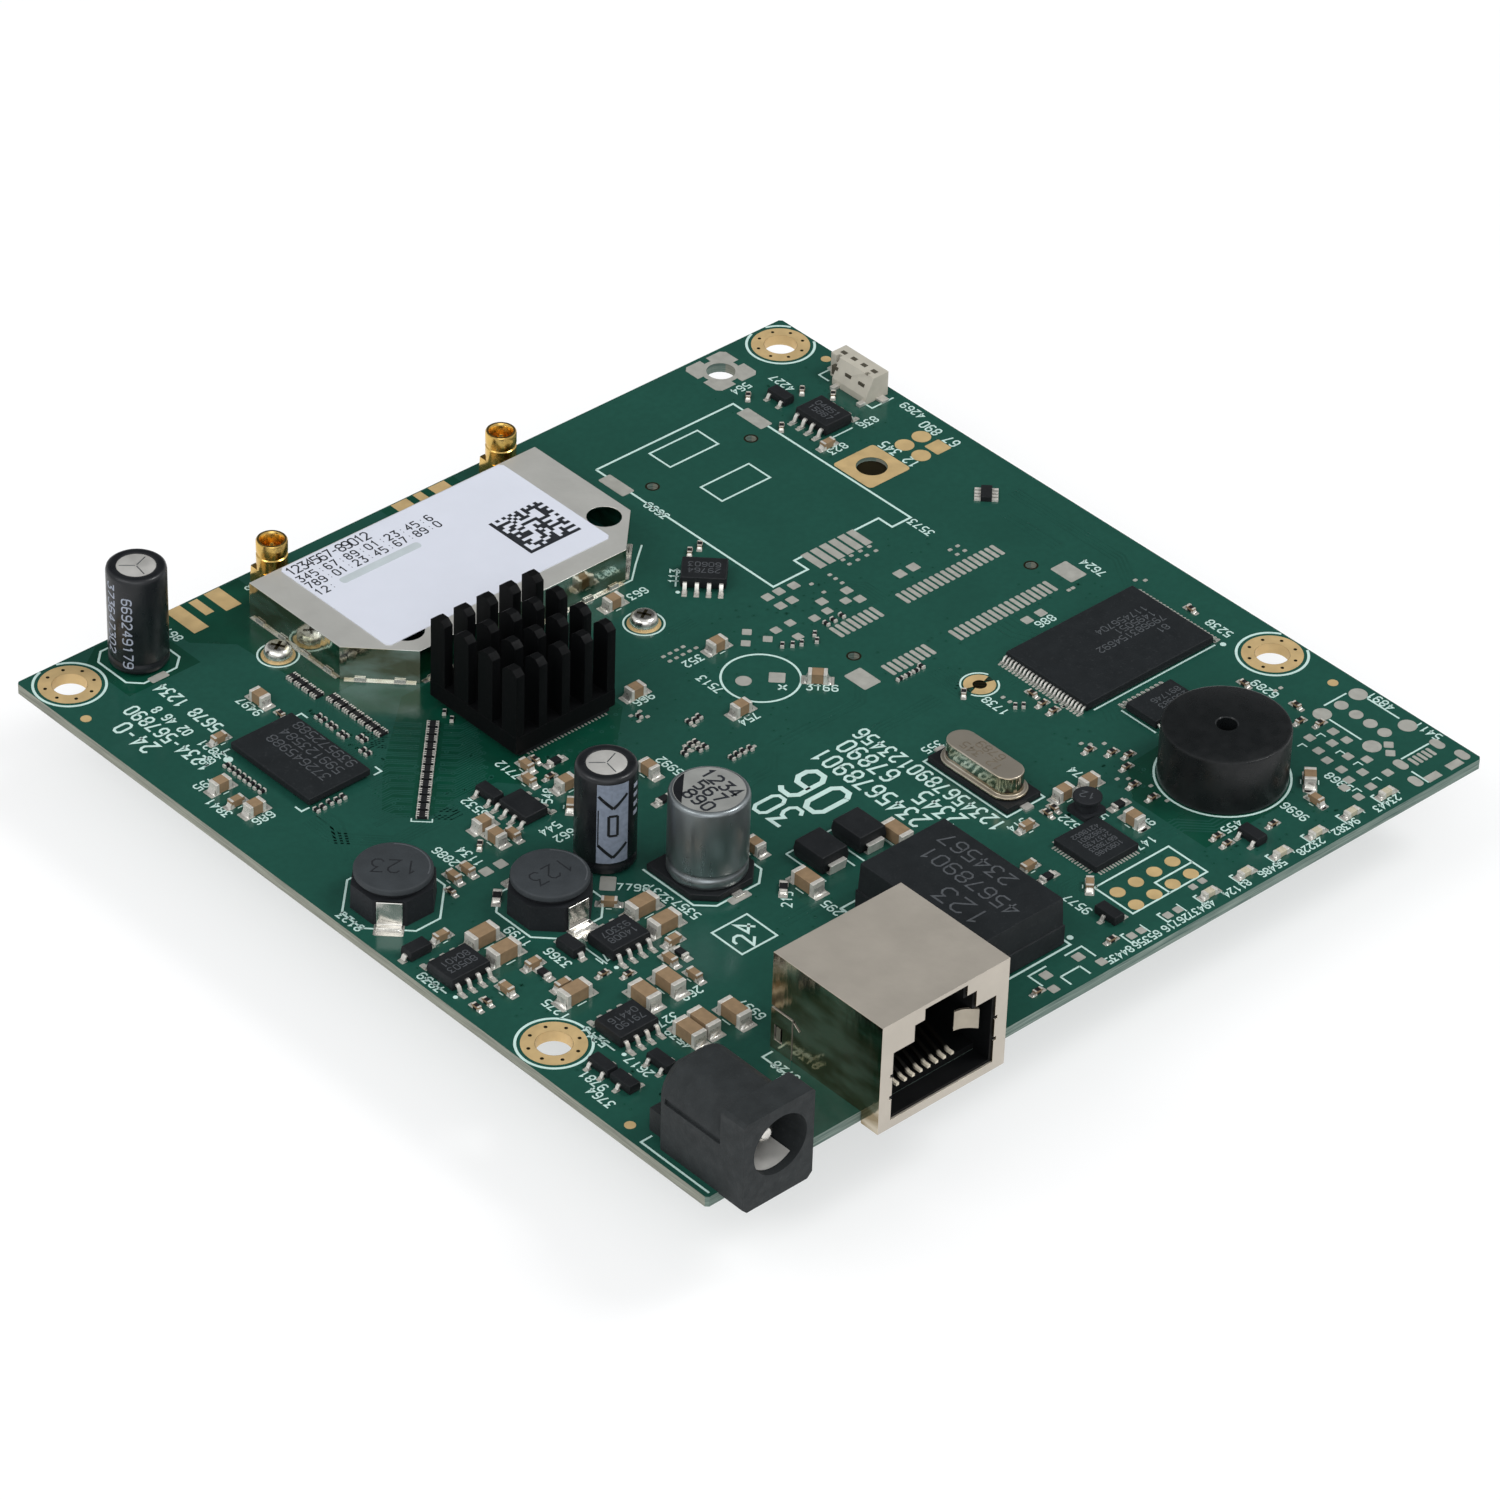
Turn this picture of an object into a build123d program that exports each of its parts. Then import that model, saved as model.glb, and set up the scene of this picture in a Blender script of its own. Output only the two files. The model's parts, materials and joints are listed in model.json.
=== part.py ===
"""Wireless router circuit board with its connectors, heatsink, shield and chips.

Frame: millimetres, +Z up away from the component side, front at -Y (connector edge).
The origin is the middle of the four mounting holes, on the underside of the board.
"""

import os
from math import cos, radians, sin

from build123d import *

os.makedirs("parts", exist_ok=True)

# Board
BOARD_SIDE = 105.4
BOARD_THICK = 1.2
BOARD_MIDDLE = -0.25       # middle of the outline, in X and in Y, from the point all places are given from
BOARD_CORNER = 0.3
BOARD_EDGE = BOARD_MIDDLE - BOARD_SIDE / 2     # front and left edge
BOARD_REAR = BOARD_MIDDLE + BOARD_SIDE / 2     # rear and right edge
HOLE_SPAN_X = 98.0
HOLE_SPAN_Y = 75.4
HOLE_RADIUS = 1.85
PATTERN_SHIFT = 11.0       # middle of the hole pattern, measured from the middle of the board
TAIL = 1.5                 # solder tails below the board

# Network jack
JACK_X = -25.3
JACK_WIDTH = 16.5
JACK_FRONT = BOARD_EDGE - 2.45
JACK_BACK = JACK_FRONT + 15.1
JACK_TOP = 11.5
JACK_LIP = 1.4             # front plate hangs this far below the board top
JACK_SHEET = 0.25
PLUG_HALF = 6.65
PLUG_FLOOR = -0.4
PLUG_TOP = 7.75
STEP_HALF = 4.0
STEP_TOP = 9.7
LATCH_HALF = 2.75
LATCH_TOP = 11.0
PLUG_DEPTH = 12.0
PLUG_RIM = 0.3             # plastic seen inside the opening of the front plate
CONTACT_PITCH = 1.02
CONTACT_WIDTH = 0.36
CONTACT_THICK = 0.3
COMB_HEIGHT = 0.7
POST_RADIUS = 1.55

# Power jack
POWER_X = -47.2
POWER_WIDTH = 8.8
POWER_FRONT = BOARD_EDGE - 3.35
POWER_NECK = BOARD_EDGE - 0.05
POWER_BACK = POWER_NECK + 9.1
POWER_TOP = 10.0
POWER_SLOPE = 1.0          # length of the sloped rear end
POWER_HANG = 0.7           # front block reaches this far below the board top
POWER_AXIS = 5.45
POWER_OFF = 0.2            # bore stands this far to +X of the middle
POWER_BORE = 3.3
POWER_BORE_DEPTH = 9.6
POWER_PIN = 1.0
POWER_PIN_RECESS = 1.75

# Shield can
CAN_LEFT = -27.4
CAN_RIGHT = 11.4
CAN_FRONT = 25.9
CAN_REAR = 46.4
CAN_HEIGHT = 4.1
CAN_SHEET = 0.2
CAN_CUT_LEFT = 5.8
CAN_CUT_RIGHT = 5.1
CAN_HOLE = 1.88

# Processor and heatsink
PROCESSOR_SIDE = 12.0
PROCESSOR_HEIGHT = 0.9
TAPE_THICK = 0.15
SINK_X = -16.35
SINK_Y = 16.0
SINK_WIDTH = 13.2
SINK_DEPTH = 13.4
SINK_BASE = 2.0
SINK_TOP = 11.1
PIN_PITCH_X = 3.02
PIN_PITCH_Y = 3.7
PIN_THICK = 1.07
PIN_LENGTH = 2.2

# Leaded chip packages
LEAD_THICK = 0.2
SO_LENGTH = 4.9
SO_WIDTH = 3.9
SO_HEIGHT = 1.5
SO_STAND = 0.12
SO_SPAN = SO_WIDTH + 2.3
SO_PITCH = 1.27
FLASH_LENGTH = 18.4
FLASH_WIDTH = 12.0
FLASH_HEIGHT = 1.1
FLASH_SPAN = FLASH_LENGTH + 1.8
FLASH_PITCH = 0.5
THIN_LENGTH = 6.5
THIN_WIDTH = 4.4
THIN_HEIGHT = 1.1
THIN_SPAN = THIN_WIDTH + 2.0
THIN_PITCH = 0.65
MAGNETIC_WIDTH = 11.8
MAGNETIC_LENGTH = 17.3
MAGNETIC_HEIGHT = 5.8
MAGNETIC_SEAM = 2.5
MAGNETIC_SPAN = MAGNETIC_WIDTH + 1.2

# Radial and surface capacitors
RADIAL_RADIUS = 3.15
RADIAL_HEIGHT = 11.9
SLEEVE = 0.12
VENT_RADIUS = 2.05
ALU_RADIUS = 4.1
ALU_HEIGHT = 10.3
ALU_BASE = 8.5

# Power inductors
COIL_BASE = 8.2
COIL_HEIGHT = 4.1
COIL_DISC = 3.95
STRAP_WIDTH = 2.6
STRAP_HEIGHT = 2.9
STRAP_THICK = 0.25

# Coaxial sockets
COAX_RADIUS = 1.68
COAX_HEIGHT = 5.4
COAX_BORE = 1.15

# Chip parts: length, width, height
CHIP_1206 = (3.2, 1.6, 1.45)
CHIP_0805 = (2.0, 1.25, 1.2)
CHIP_0603 = (1.6, 0.8, 0.8)
CHIP_0402 = (1.0, 0.5, 0.45)


def spot(x, y, turn=0.0, height=0.0):
    """Location on the board top, given from the middle of the board and turned about Z."""
    return Location((x, y - PATTERN_SHIFT, BOARD_THICK + height), (0, 0, turn))


def level(x, y, turn=0.0, height=0.0):
    """Plane parallel to the board, its origin at the given spot."""
    return Plane(spot(x, y, turn, height))


def facing(x, y, height=0.0):
    """Upright plane that looks toward the front edge: sketch x is +X, sketch y is +Z."""
    origin = (x, y - PATTERN_SHIFT, BOARD_THICK + height)
    return Plane(origin=origin, x_dir=(1, 0, 0), z_dir=(0, -1, 0))


def sideways(x, y, height=0.0):
    """Upright plane that looks toward +X: sketch x is +Y, sketch y is +Z."""
    origin = (x, y - PATTERN_SHIFT, BOARD_THICK + height)
    return Plane(origin=origin, x_dir=(0, 1, 0), z_dir=(1, 0, 0))


def gull_wing(width, root, tip, leave, foot):
    """Lead along +X: slopes from a body at x = root down to a foot that ends at x = tip."""
    with BuildPart() as lead:
        with BuildSketch(Plane.XZ):
            with BuildLine():
                Polyline(
                    (root, leave),
                    (tip - foot, 0),
                    (tip, 0),
                    (tip, LEAD_THICK),
                    (root, leave + LEAD_THICK),
                    close=True,
                )
            make_face()
        extrude(amount=width / 2, both=True)
    return lead.part


def moulded(length, width, stand, seam, height):
    """Chip body: an upright band as thick as a lead, drafted faces above and below it."""
    with BuildPart() as body:
        with BuildSketch(Plane.XY.offset(seam)):
            Rectangle(length, width)
        extrude(amount=LEAD_THICK)
        extrude(body.faces().sort_by(Axis.Z)[-1], amount=height - seam - LEAD_THICK, taper=8)
        extrude(body.faces().sort_by(Axis.Z)[0], amount=seam - stand, taper=8)
    return body.part


def chip_body(size, end):
    """Middle of a two-ended chip part, between its metal ends."""
    length, width, height = size
    with BuildPart() as body:
        with BuildSketch():
            Rectangle(length - 2 * end, width)
        extrude(amount=height)
    return body.part


def chip_ends(size, end):
    """The two metal ends of a chip part, standing against its middle."""
    length, width, height = size
    with BuildPart() as ends:
        with BuildSketch():
            with Locations(((length - end) / 2, 0), ((end - length) / 2, 0)):
                Rectangle(end, width)
        extrude(amount=height)
    return ends.part


# Where the leaded parts stand: x, y, turn (0 = leads toward +Y and -Y)
SO_PLACES = [
    (-49.05, -12.7, 0),
    (-34.25, -19.25, 0),
    (-42.4, -29.65, 0),
    (42.4, 34.6, 90),
    (12.9, 21.0, -45),
]
DIODE_PLACES = [(-10.2, -22.06, 90), (-5.1, -22.06, 90)]
SLIM_PLACE = (-27.6, 2.77, 90)
SOT_PLACES = [
    (-48.0, -32.6, 0),
    (-48.0, -35.8, 180),
    (-43.35, -35.75, 0),
    (5.15, -47.1, 180),
    (24.95, -47.3, 0),
    (41.7, 40.7, 0),
    (-28.6, 6.75, 0),
]
SOD_PLACES = [(-50.2, -7.75, 0), (-38.5, -17.0, 90)]

# Ceramic capacitors and other chip parts: x, y, turn (0 = ends toward +X and -X)
PLACES_1206 = [
    (-43.0, -22.8, 0),
    (-38.05, -27.3, 90),
    (-34.9, -27.3, 90),
    (-38.5, -34.3, 90),
    (-36.5, -34.1, 90),
    (-33.25, -34.9, 90),
    (-29.2, -20.2, 0),
    (-29.1, -16.8, 0),
    (-44.1, -10.35, 0),
    (-44.1, -13.6, 0),
    (-14.1, -24.4, 90),
    (-2.1, -24.4, 90),
]
PLACES_0805 = [
    (-32.3, 3.4, 0),
    (-32.65, 1.0, 90),
    (15.4, -30.2, 0),
    (18.6, -30.6, 0),
    (17.8, -37.8, 90),
    (-36.0, 34.0, 90),
    (-48.2, 25.1, 0),
    (-47.95, 20.0, 0),
    (-21.7, 3.15, 0),
    (-6.1, 10.3, 0),
    (0.2, 1.2, 0),
    (5.66, 10.95, 0),
    (2.45, 23.5, 0),
    (-14.1, -16.7, 90),
    (-13.7, -0.4, 90),
    (36.1, -44.5, 45),
    (9.85, 0.16, -45),
]
PLACES_0603 = [
    (-46.9, -7.5, 0),
    (-47.3, -17.75, 90),
    (-42.85, -16.5, 0),
    (-42.8, -20.8, 0),
    (-31.0, 0.35, 90),
    (-30.1, -22.5, 0),
    (-32.3, -24.5, 90),
    (-32.1, -27.85, 90),
    (8.9, -31.6, 0),
    (4.5, -36.4, 0),
    (7.1, -42.4, 45),
    (34.2, -47.2, 90),
    (-48.6, 22.15, 0),
    (-43.35, 31.45, 0),
    (-39.9, -1.1, 90),
    (-38.1, -1.07, 90),
    (-24.0, 6.1, 90),
    (-22.6, 8.1, 90),
    (-23.5, 0.3, 45),
    (-30.9, -14.0, -45),
    (39.5, 30.8, 0),
]
RESISTOR_PLACES = [
    (-42.9, -18.05, 90),
    (-38.6, -6.1, 45),
    (-30.7, -24.3, 90),
    (-16.2, -23.2, 45),
    (4.9, -38.7, 0),
    (-19.8, 6.9, 0),
    (18.6, -34.9, 0),
    (-15.7, -4.9, 0),
]
TINY_PLACES = [
    (12.1, -31.3, 90),
    (13.2, -31.1, 90),
    (22.4, -44.9, 0),
    (22.3, -46.4, 0),
    (28.1, -47.1, 0),
    (2.7, -49.9, 0),
    (-8.4, -51.0, 0),
    (24.6, -17.7, 0),
    (24.6, -19.3, 0),
    (25.0, -15.8, 90),
    (22.7, -26.4, 0),
    (24.2, -28.2, 0),
    (25.2, -29.6, 0),
    (23.6, -30.9, 0),
    (22.0, -33.5, 0),
    (22.0, -36.2, 0),
    (44.3, -34.7, 90),
    (42.6, -36.8, 0),
    (43.9, -38.4, 0),
    (42.9, -28.6, 90),
    (-41.5, -2.6, 90),
    (-35.9, 30.8, 90),
    (-21.2, 8.4, 90),
    (-21.9, 5.3, 0),
    (-34.5, 1.3, 45),
    (14.9, 25.5, 45),
    (16.5, 25.7, 45),
    (48.0, -15.8, 90),
    (19.7, -11.2, 45),
    (39.3, 43.3, 45),
    (38.1, 36.6, 45),
    (44.6, 40.4, 45),
    (46.6, 37.6, 45),
    (-36.8, -23.5, 0),
    (-38.6, -21.9, 0),
    (-51.2, -17.9, 90),
    (-49.9, -17.9, 90),
]
ARRAY_PITCH = 1.26
ARRAY_ROWS = [(-30.5, 14.1, 46, 13), (-30.95, 33.0, 90, 4), (-30.1, 25.7, 90, 7)]
LED_PLACES = [(15.25 + 5.06 * n, BOARD_EDGE + 2.05) for n in range(6)]


# Pins that pass through the board: x, y, side of the square pin
NETWORK_TAILS = []
for place in range(8):
    tail_x = JACK_X + (place - 3.5) * CONTACT_PITCH
    NETWORK_TAILS.append((tail_x, JACK_BACK - (2.9 if place % 2 else 5.4)))
POST_PLACES = [(JACK_X - 5.72, JACK_FRONT + 7.8), (JACK_X + 5.72, JACK_FRONT + 7.8)]
JACK_WALL = (JACK_WIDTH - JACK_SHEET) / 2
GROUND_TABS = [(JACK_X - JACK_WALL, JACK_FRONT + 7.4), (JACK_X + JACK_WALL, JACK_FRONT + 7.4)]
POWER_TABS = [
    (POWER_X, POWER_FRONT + 11.7),
    (POWER_X, POWER_FRONT + 6.0),
    (POWER_X + 4.0, POWER_FRONT + 8.9),
]
BUZZER_X = 30.2
BUZZER_Y = -38.0
BUZZER_TAILS = [(BUZZER_X - 3.25, BUZZER_Y), (BUZZER_X + 3.25, BUZZER_Y)]
RADIAL_PLACES = [(-40.9, 47.6), (-26.3, -8.1)]
RADIAL_TAILS = [
    (-40.9, 47.6 - 1.25),
    (-40.9, 47.6 + 1.25),
    (-26.3 - 1.25, -8.1),
    (-26.3 + 1.25, -8.1),
]
SCREW_PLACES = [(-29.55, 39.07), (2.85, 19.1)]
SCREW_RADIUS = 1.0
PIN_SIDE = 0.6
TAB_LONG = 1.6
TAB_THIN = 0.4

with BuildPart() as board:
    with BuildSketch(level(0, 0, height=-BOARD_THICK)) as board_outline:
        with Locations((BOARD_MIDDLE, BOARD_MIDDLE)):
            Rectangle(BOARD_SIDE, BOARD_SIDE)
        chamfer(board_outline.vertices(), BOARD_CORNER)
        with Locations((0, PATTERN_SHIFT)):
            with GridLocations(HOLE_SPAN_X, HOLE_SPAN_Y, 2, 2):
                Circle(HOLE_RADIUS, mode=Mode.SUBTRACT)
        with Locations((40.45, 49.0), (40.55, 24.95)):
            RegularPolygon(1.68, 24, mode=Mode.SUBTRACT)
        with Locations((20.05, 37.2), (34.2, 37.2), (40.9, 0.8), (15.6, 0.9), (22.1, -11.05)):
            RegularPolygon(0.67, 8, mode=Mode.SUBTRACT)
        with Locations(*SCREW_PLACES):
            RegularPolygon(SCREW_RADIUS, 8, mode=Mode.SUBTRACT)
        with Locations(*POST_PLACES):
            RegularPolygon(POST_RADIUS, 12, mode=Mode.SUBTRACT)
        with Locations(*NETWORK_TAILS, *BUZZER_TAILS, *RADIAL_TAILS):
            Rectangle(PIN_SIDE, PIN_SIDE, mode=Mode.SUBTRACT)
        with Locations(*GROUND_TABS):
            Rectangle(JACK_SHEET, TAB_LONG, mode=Mode.SUBTRACT)
        with Locations(*POWER_TABS[:2]):
            Rectangle(TAB_LONG, TAB_THIN, mode=Mode.SUBTRACT)
        with Locations(POWER_TABS[2]):
            Rectangle(TAB_THIN, TAB_LONG, mode=Mode.SUBTRACT)
    extrude(amount=BOARD_THICK)
board.part.label = "board"
export_step(board.part, "parts/board.step")


def plug_outline(rim):
    """Closed outline of the network jack opening, drawn inside the plate opening by rim."""
    half = PLUG_HALF - rim
    step = STEP_HALF - rim
    latch = LATCH_HALF - rim
    floor = PLUG_FLOOR + rim
    return [
        (-half, floor),
        (half, floor),
        (half, PLUG_TOP - rim),
        (step, PLUG_TOP - rim),
        (step, STEP_TOP - rim),
        (latch, STEP_TOP - rim),
        (latch, LATCH_TOP - rim / 3),
        (-latch, LATCH_TOP - rim / 3),
        (-latch, STEP_TOP - rim),
        (-step, STEP_TOP - rim),
        (-step, PLUG_TOP - rim),
        (-half, PLUG_TOP - rim),
    ]


JACK_DEPTH = JACK_BACK - JACK_FRONT
OVERHANG = BOARD_EDGE - JACK_FRONT

with BuildPart() as network_shield:
    with BuildSketch(facing(JACK_X, JACK_FRONT)):
        with Locations((0, JACK_TOP / 2)):
            Rectangle(JACK_WIDTH, JACK_TOP)
    extrude(amount=-JACK_DEPTH)
    with BuildSketch(facing(JACK_X, JACK_FRONT)):
        with Locations((0, -JACK_LIP / 2)):
            Rectangle(JACK_WIDTH, JACK_LIP)
    extrude(amount=-(OVERHANG - 0.1))
    with BuildSketch(facing(JACK_X, JACK_FRONT + JACK_SHEET)):
        with Locations((0, (JACK_TOP - JACK_SHEET - JACK_LIP) / 2)):
            Rectangle(JACK_WIDTH - 2 * JACK_SHEET, JACK_TOP - JACK_SHEET + JACK_LIP)
    extrude(amount=-(JACK_DEPTH - 2 * JACK_SHEET), mode=Mode.SUBTRACT)
    with BuildSketch(facing(JACK_X, JACK_FRONT)):
        with BuildLine():
            Polyline(*plug_outline(0), close=True)
        make_face()
        with Locations((0, 5.0), (0, 2.4)):
            Rectangle(2 * PLUG_HALF + 0.6, 0.45)
    extrude(amount=-JACK_SHEET, mode=Mode.SUBTRACT)
    # slot and cut in both side walls near the rear, and the small window
    for wall in (JACK_X - JACK_WIDTH / 2, JACK_X + JACK_WIDTH / 2 - JACK_SHEET):
        with BuildSketch(sideways(wall, JACK_BACK)):
            with BuildLine():
                Polyline((0, 5.15), (-3.0, 5.15), (-4.1, 4.4), (-3.9, 4.1), (-2.9, 4.85), (0, 4.85), close=True)
            make_face()
            with Locations((-3.0, 2.42)):
                Rectangle(0.15, 4.84)
            with Locations((-1.05, 2.1)):
                Rectangle(1.1, 1.8)
        extrude(amount=JACK_SHEET, mode=Mode.SUBTRACT)
    with Locations(*[spot(x, y) for x, y in GROUND_TABS]):
        Box(JACK_SHEET, TAB_LONG, BOARD_THICK + TAIL, align=(Align.CENTER, Align.CENTER, Align.MAX))
network_shield.part.label = "network_jack_shield"
export_step(network_shield.part, "parts/network_jack_shield.step")

PLUG_BACK = JACK_FRONT + JACK_SHEET + PLUG_DEPTH

with BuildPart() as network_housing:
    with BuildSketch(facing(JACK_X, JACK_FRONT + JACK_SHEET)):
        with Locations((0, (JACK_TOP - JACK_SHEET) / 2)):
            Rectangle(JACK_WIDTH - 2 * JACK_SHEET, JACK_TOP - JACK_SHEET)
    extrude(amount=-(JACK_DEPTH - 2 * JACK_SHEET))
    with BuildSketch(facing(JACK_X, JACK_FRONT + JACK_SHEET)):
        with Locations((0, -JACK_LIP / 2)):
            Rectangle(JACK_WIDTH - 2 * JACK_SHEET, JACK_LIP)
    extrude(amount=-(OVERHANG - JACK_SHEET - 0.1))
    with BuildSketch(facing(JACK_X, JACK_FRONT + JACK_SHEET)) as plug_front:
        with BuildLine():
            Polyline(*plug_outline(PLUG_RIM), close=True)
        make_face()
    extrude(amount=-(OVERHANG - JACK_SHEET - 0.1), mode=Mode.SUBTRACT)
    with BuildSketch(facing(JACK_X, JACK_FRONT + JACK_SHEET)):
        with BuildLine():
            Polyline(*plug_outline(PLUG_RIM), close=True)
        make_face()
        with Locations((0, COMB_HEIGHT - 1)):
            Rectangle(JACK_WIDTH, 2, mode=Mode.SUBTRACT)
    extrude(amount=-PLUG_DEPTH, mode=Mode.SUBTRACT)
    for x, y in POST_PLACES:
        with BuildSketch(level(x, y)):
            RegularPolygon(POST_RADIUS, 12)
        extrude(amount=-(BOARD_THICK + TAIL))
network_housing.part.label = "network_jack_housing"
export_step(network_housing.part, "parts/network_jack_housing.step")

with BuildPart() as network_contact:
    with BuildSketch(Plane.YZ):
        with BuildLine():
            Polyline(
                (BOARD_EDGE - 0.1, COMB_HEIGHT),
                (BOARD_EDGE + 0.7, COMB_HEIGHT),
                (PLUG_BACK - 1.2, 4.0),
                (PLUG_BACK - 1.2, 4.0 + CONTACT_THICK),
                (BOARD_EDGE + 0.5, COMB_HEIGHT + CONTACT_THICK),
                (BOARD_EDGE - 0.1, COMB_HEIGHT + CONTACT_THICK),
                close=True,
            )
        make_face()
    extrude(amount=CONTACT_WIDTH / 2, both=True)

with BuildPart() as network_contacts:
    with Locations(*[spot(JACK_X + (n - 3.5) * CONTACT_PITCH, 0) for n in range(8)]):
        add(network_contact.part)
    with Locations(*[spot(x, y) for x, y in NETWORK_TAILS]):
        Box(PIN_SIDE, PIN_SIDE, BOARD_THICK + TAIL, align=(Align.CENTER, Align.CENTER, Align.MAX))
network_contacts.part.label = "network_jack_contacts"
export_step(network_contacts.part, "parts/network_jack_contacts.step")

POWER_RADIUS = POWER_WIDTH / 2
POWER_SIDES = POWER_TOP - 0.1 - POWER_RADIUS

with BuildPart() as power_housing:
    with BuildSketch(facing(POWER_X, POWER_NECK)):
        with Locations((0, POWER_SIDES / 2)):
            Rectangle(POWER_WIDTH, POWER_SIDES)
        with Locations((0, POWER_SIDES)):
            Circle(POWER_RADIUS)
        with Locations((0, POWER_TOP)):
            Rectangle(POWER_WIDTH, 1.0, mode=Mode.SUBTRACT)
        with Locations((0, -2.5)):
            Rectangle(POWER_WIDTH, 5.0, mode=Mode.SUBTRACT)
    extrude(amount=-(POWER_BACK - POWER_NECK - POWER_SLOPE))
    extrude(power_housing.faces().sort_by(Axis.Y)[-1], amount=POWER_SLOPE, taper=40)
    with BuildSketch(facing(POWER_X, POWER_NECK)) as front_block:
        with Locations((0, (POWER_TOP - POWER_HANG) / 2)):
            Rectangle(POWER_WIDTH, POWER_TOP + POWER_HANG)
        chamfer(front_block.vertices().group_by(Axis.Y)[0], 0.6)
        chamfer(front_block.vertices().group_by(Axis.Y)[-1], 0.35)
    extrude(amount=POWER_NECK - POWER_FRONT)
    # low block at the rear
    with BuildSketch(facing(POWER_X + 0.3, POWER_BACK - 2.0)):
        with Locations((0, 1.35)):
            Rectangle(POWER_WIDTH - 1.6, 2.7)
    extrude(amount=-3.8)
    # bore for the plug
    with BuildSketch(facing(POWER_X, POWER_FRONT)):
        with Locations((POWER_OFF, POWER_AXIS)):
            Circle(POWER_BORE)
    extrude(amount=-POWER_BORE_DEPTH, mode=Mode.SUBTRACT)
    # grooves along the sides
    with BuildSketch(facing(POWER_X, POWER_NECK)):
        with Locations((POWER_RADIUS, 6.05), (-POWER_RADIUS, 6.05)):
            Rectangle(0.6, 0.6)
    extrude(amount=-(POWER_BACK - 1.4 - POWER_NECK), mode=Mode.SUBTRACT)
power_housing.part.label = "power_jack_housing"
export_step(power_housing.part, "parts/power_jack_housing.step")

PIN_FRONT = POWER_FRONT + POWER_PIN_RECESS
BORE_BACK = POWER_FRONT + POWER_BORE_DEPTH

with BuildPart() as power_pin:
    with BuildSketch(facing(POWER_X + POWER_OFF, BORE_BACK, POWER_AXIS)):
        Circle(POWER_PIN)
    extrude(amount=BORE_BACK - PIN_FRONT)
    chamfer(power_pin.faces().sort_by(Axis.Y)[0].edges(), POWER_PIN * 0.45)
power_pin.part.label = "power_jack_pin"
export_step(power_pin.part, "parts/power_jack_pin.step")

with BuildPart() as power_spring:
    with BuildSketch(facing(POWER_X + POWER_OFF, BORE_BACK, POWER_AXIS)):
        with BuildLine():
            CenterArc((0, 0), POWER_BORE, 190, 70)
            CenterArc((0, 0), POWER_BORE - 0.25, 190, 70)
            Line((POWER_BORE * cos(radians(190)), POWER_BORE * sin(radians(190))),
                 ((POWER_BORE - 0.25) * cos(radians(190)), (POWER_BORE - 0.25) * sin(radians(190))))
            Line((POWER_BORE * cos(radians(260)), POWER_BORE * sin(radians(260))),
                 ((POWER_BORE - 0.25) * cos(radians(260)), (POWER_BORE - 0.25) * sin(radians(260))))
        make_face()
    extrude(amount=POWER_BORE_DEPTH - 2.4)
power_spring.part.label = "power_jack_spring"
export_step(power_spring.part, "parts/power_jack_spring.step")

with BuildPart() as power_tabs:
    with Locations(*[spot(x, y) for x, y in POWER_TABS[:2]]):
        Box(TAB_LONG, TAB_THIN, BOARD_THICK + TAIL, align=(Align.CENTER, Align.CENTER, Align.MAX))
    with Locations(spot(*POWER_TABS[2])):
        Box(TAB_THIN, TAB_LONG, BOARD_THICK + TAIL, align=(Align.CENTER, Align.CENTER, Align.MAX))
power_tabs.part.label = "power_jack_tabs"
export_step(power_tabs.part, "parts/power_jack_tabs.step")

with BuildPart() as shield_can:
    with BuildSketch(level(0, 0)):
        with BuildLine():
            Polyline(
                (CAN_LEFT + CAN_CUT_LEFT, CAN_FRONT),
                (CAN_RIGHT - CAN_CUT_RIGHT, CAN_FRONT),
                (CAN_RIGHT, CAN_FRONT + CAN_CUT_RIGHT),
                (CAN_RIGHT, CAN_REAR),
                (CAN_LEFT, CAN_REAR),
                (CAN_LEFT, CAN_FRONT + CAN_CUT_LEFT),
                close=True,
            )
        make_face()
    extrude(amount=CAN_HEIGHT)
    offset(amount=-CAN_SHEET, openings=shield_can.faces().sort_by(Axis.Z)[0])
    with BuildSketch(level(0, 0, height=CAN_HEIGHT)):
        with Locations((8.5, 31.9), (-20.3, 29.6)):
            RegularPolygon(CAN_HOLE, 20)
    extrude(amount=-CAN_SHEET, mode=Mode.SUBTRACT)
shield_can.part.label = "shield_can"
export_step(shield_can.part, "parts/shield_can.step")

with BuildPart() as can_label:
    with BuildSketch(level(-8.53, 37.38, height=CAN_HEIGHT)) as label_outline:
        Rectangle(30.15, 17.65)
        chamfer(label_outline.vertices(), 0.4)
    extrude(amount=0.08)
can_label.part.label = "can_label"
export_step(can_label.part, "parts/can_label.step")

with BuildPart() as radio_chip:
    with Locations(spot(-6.0, 36.5)):
        Box(9.0, 9.0, 0.9, align=(Align.CENTER, Align.CENTER, Align.MIN))
radio_chip.part.label = "radio_chip"
export_step(radio_chip.part, "parts/radio_chip.step")

with BuildPart() as processor:
    with Locations(spot(-15.9, 15.9)):
        Box(PROCESSOR_SIDE, PROCESSOR_SIDE, PROCESSOR_HEIGHT, align=(Align.CENTER, Align.CENTER, Align.MIN))
processor.part.label = "processor"
export_step(processor.part, "parts/processor.step")

with BuildPart() as thermal_tape:
    with Locations(spot(-15.9, 15.9, height=PROCESSOR_HEIGHT)):
        Box(PROCESSOR_SIDE - 0.4, PROCESSOR_SIDE - 0.4, TAPE_THICK, align=(Align.CENTER, Align.CENTER, Align.MIN))
thermal_tape.part.label = "thermal_tape"
export_step(thermal_tape.part, "parts/thermal_tape.step")

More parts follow.
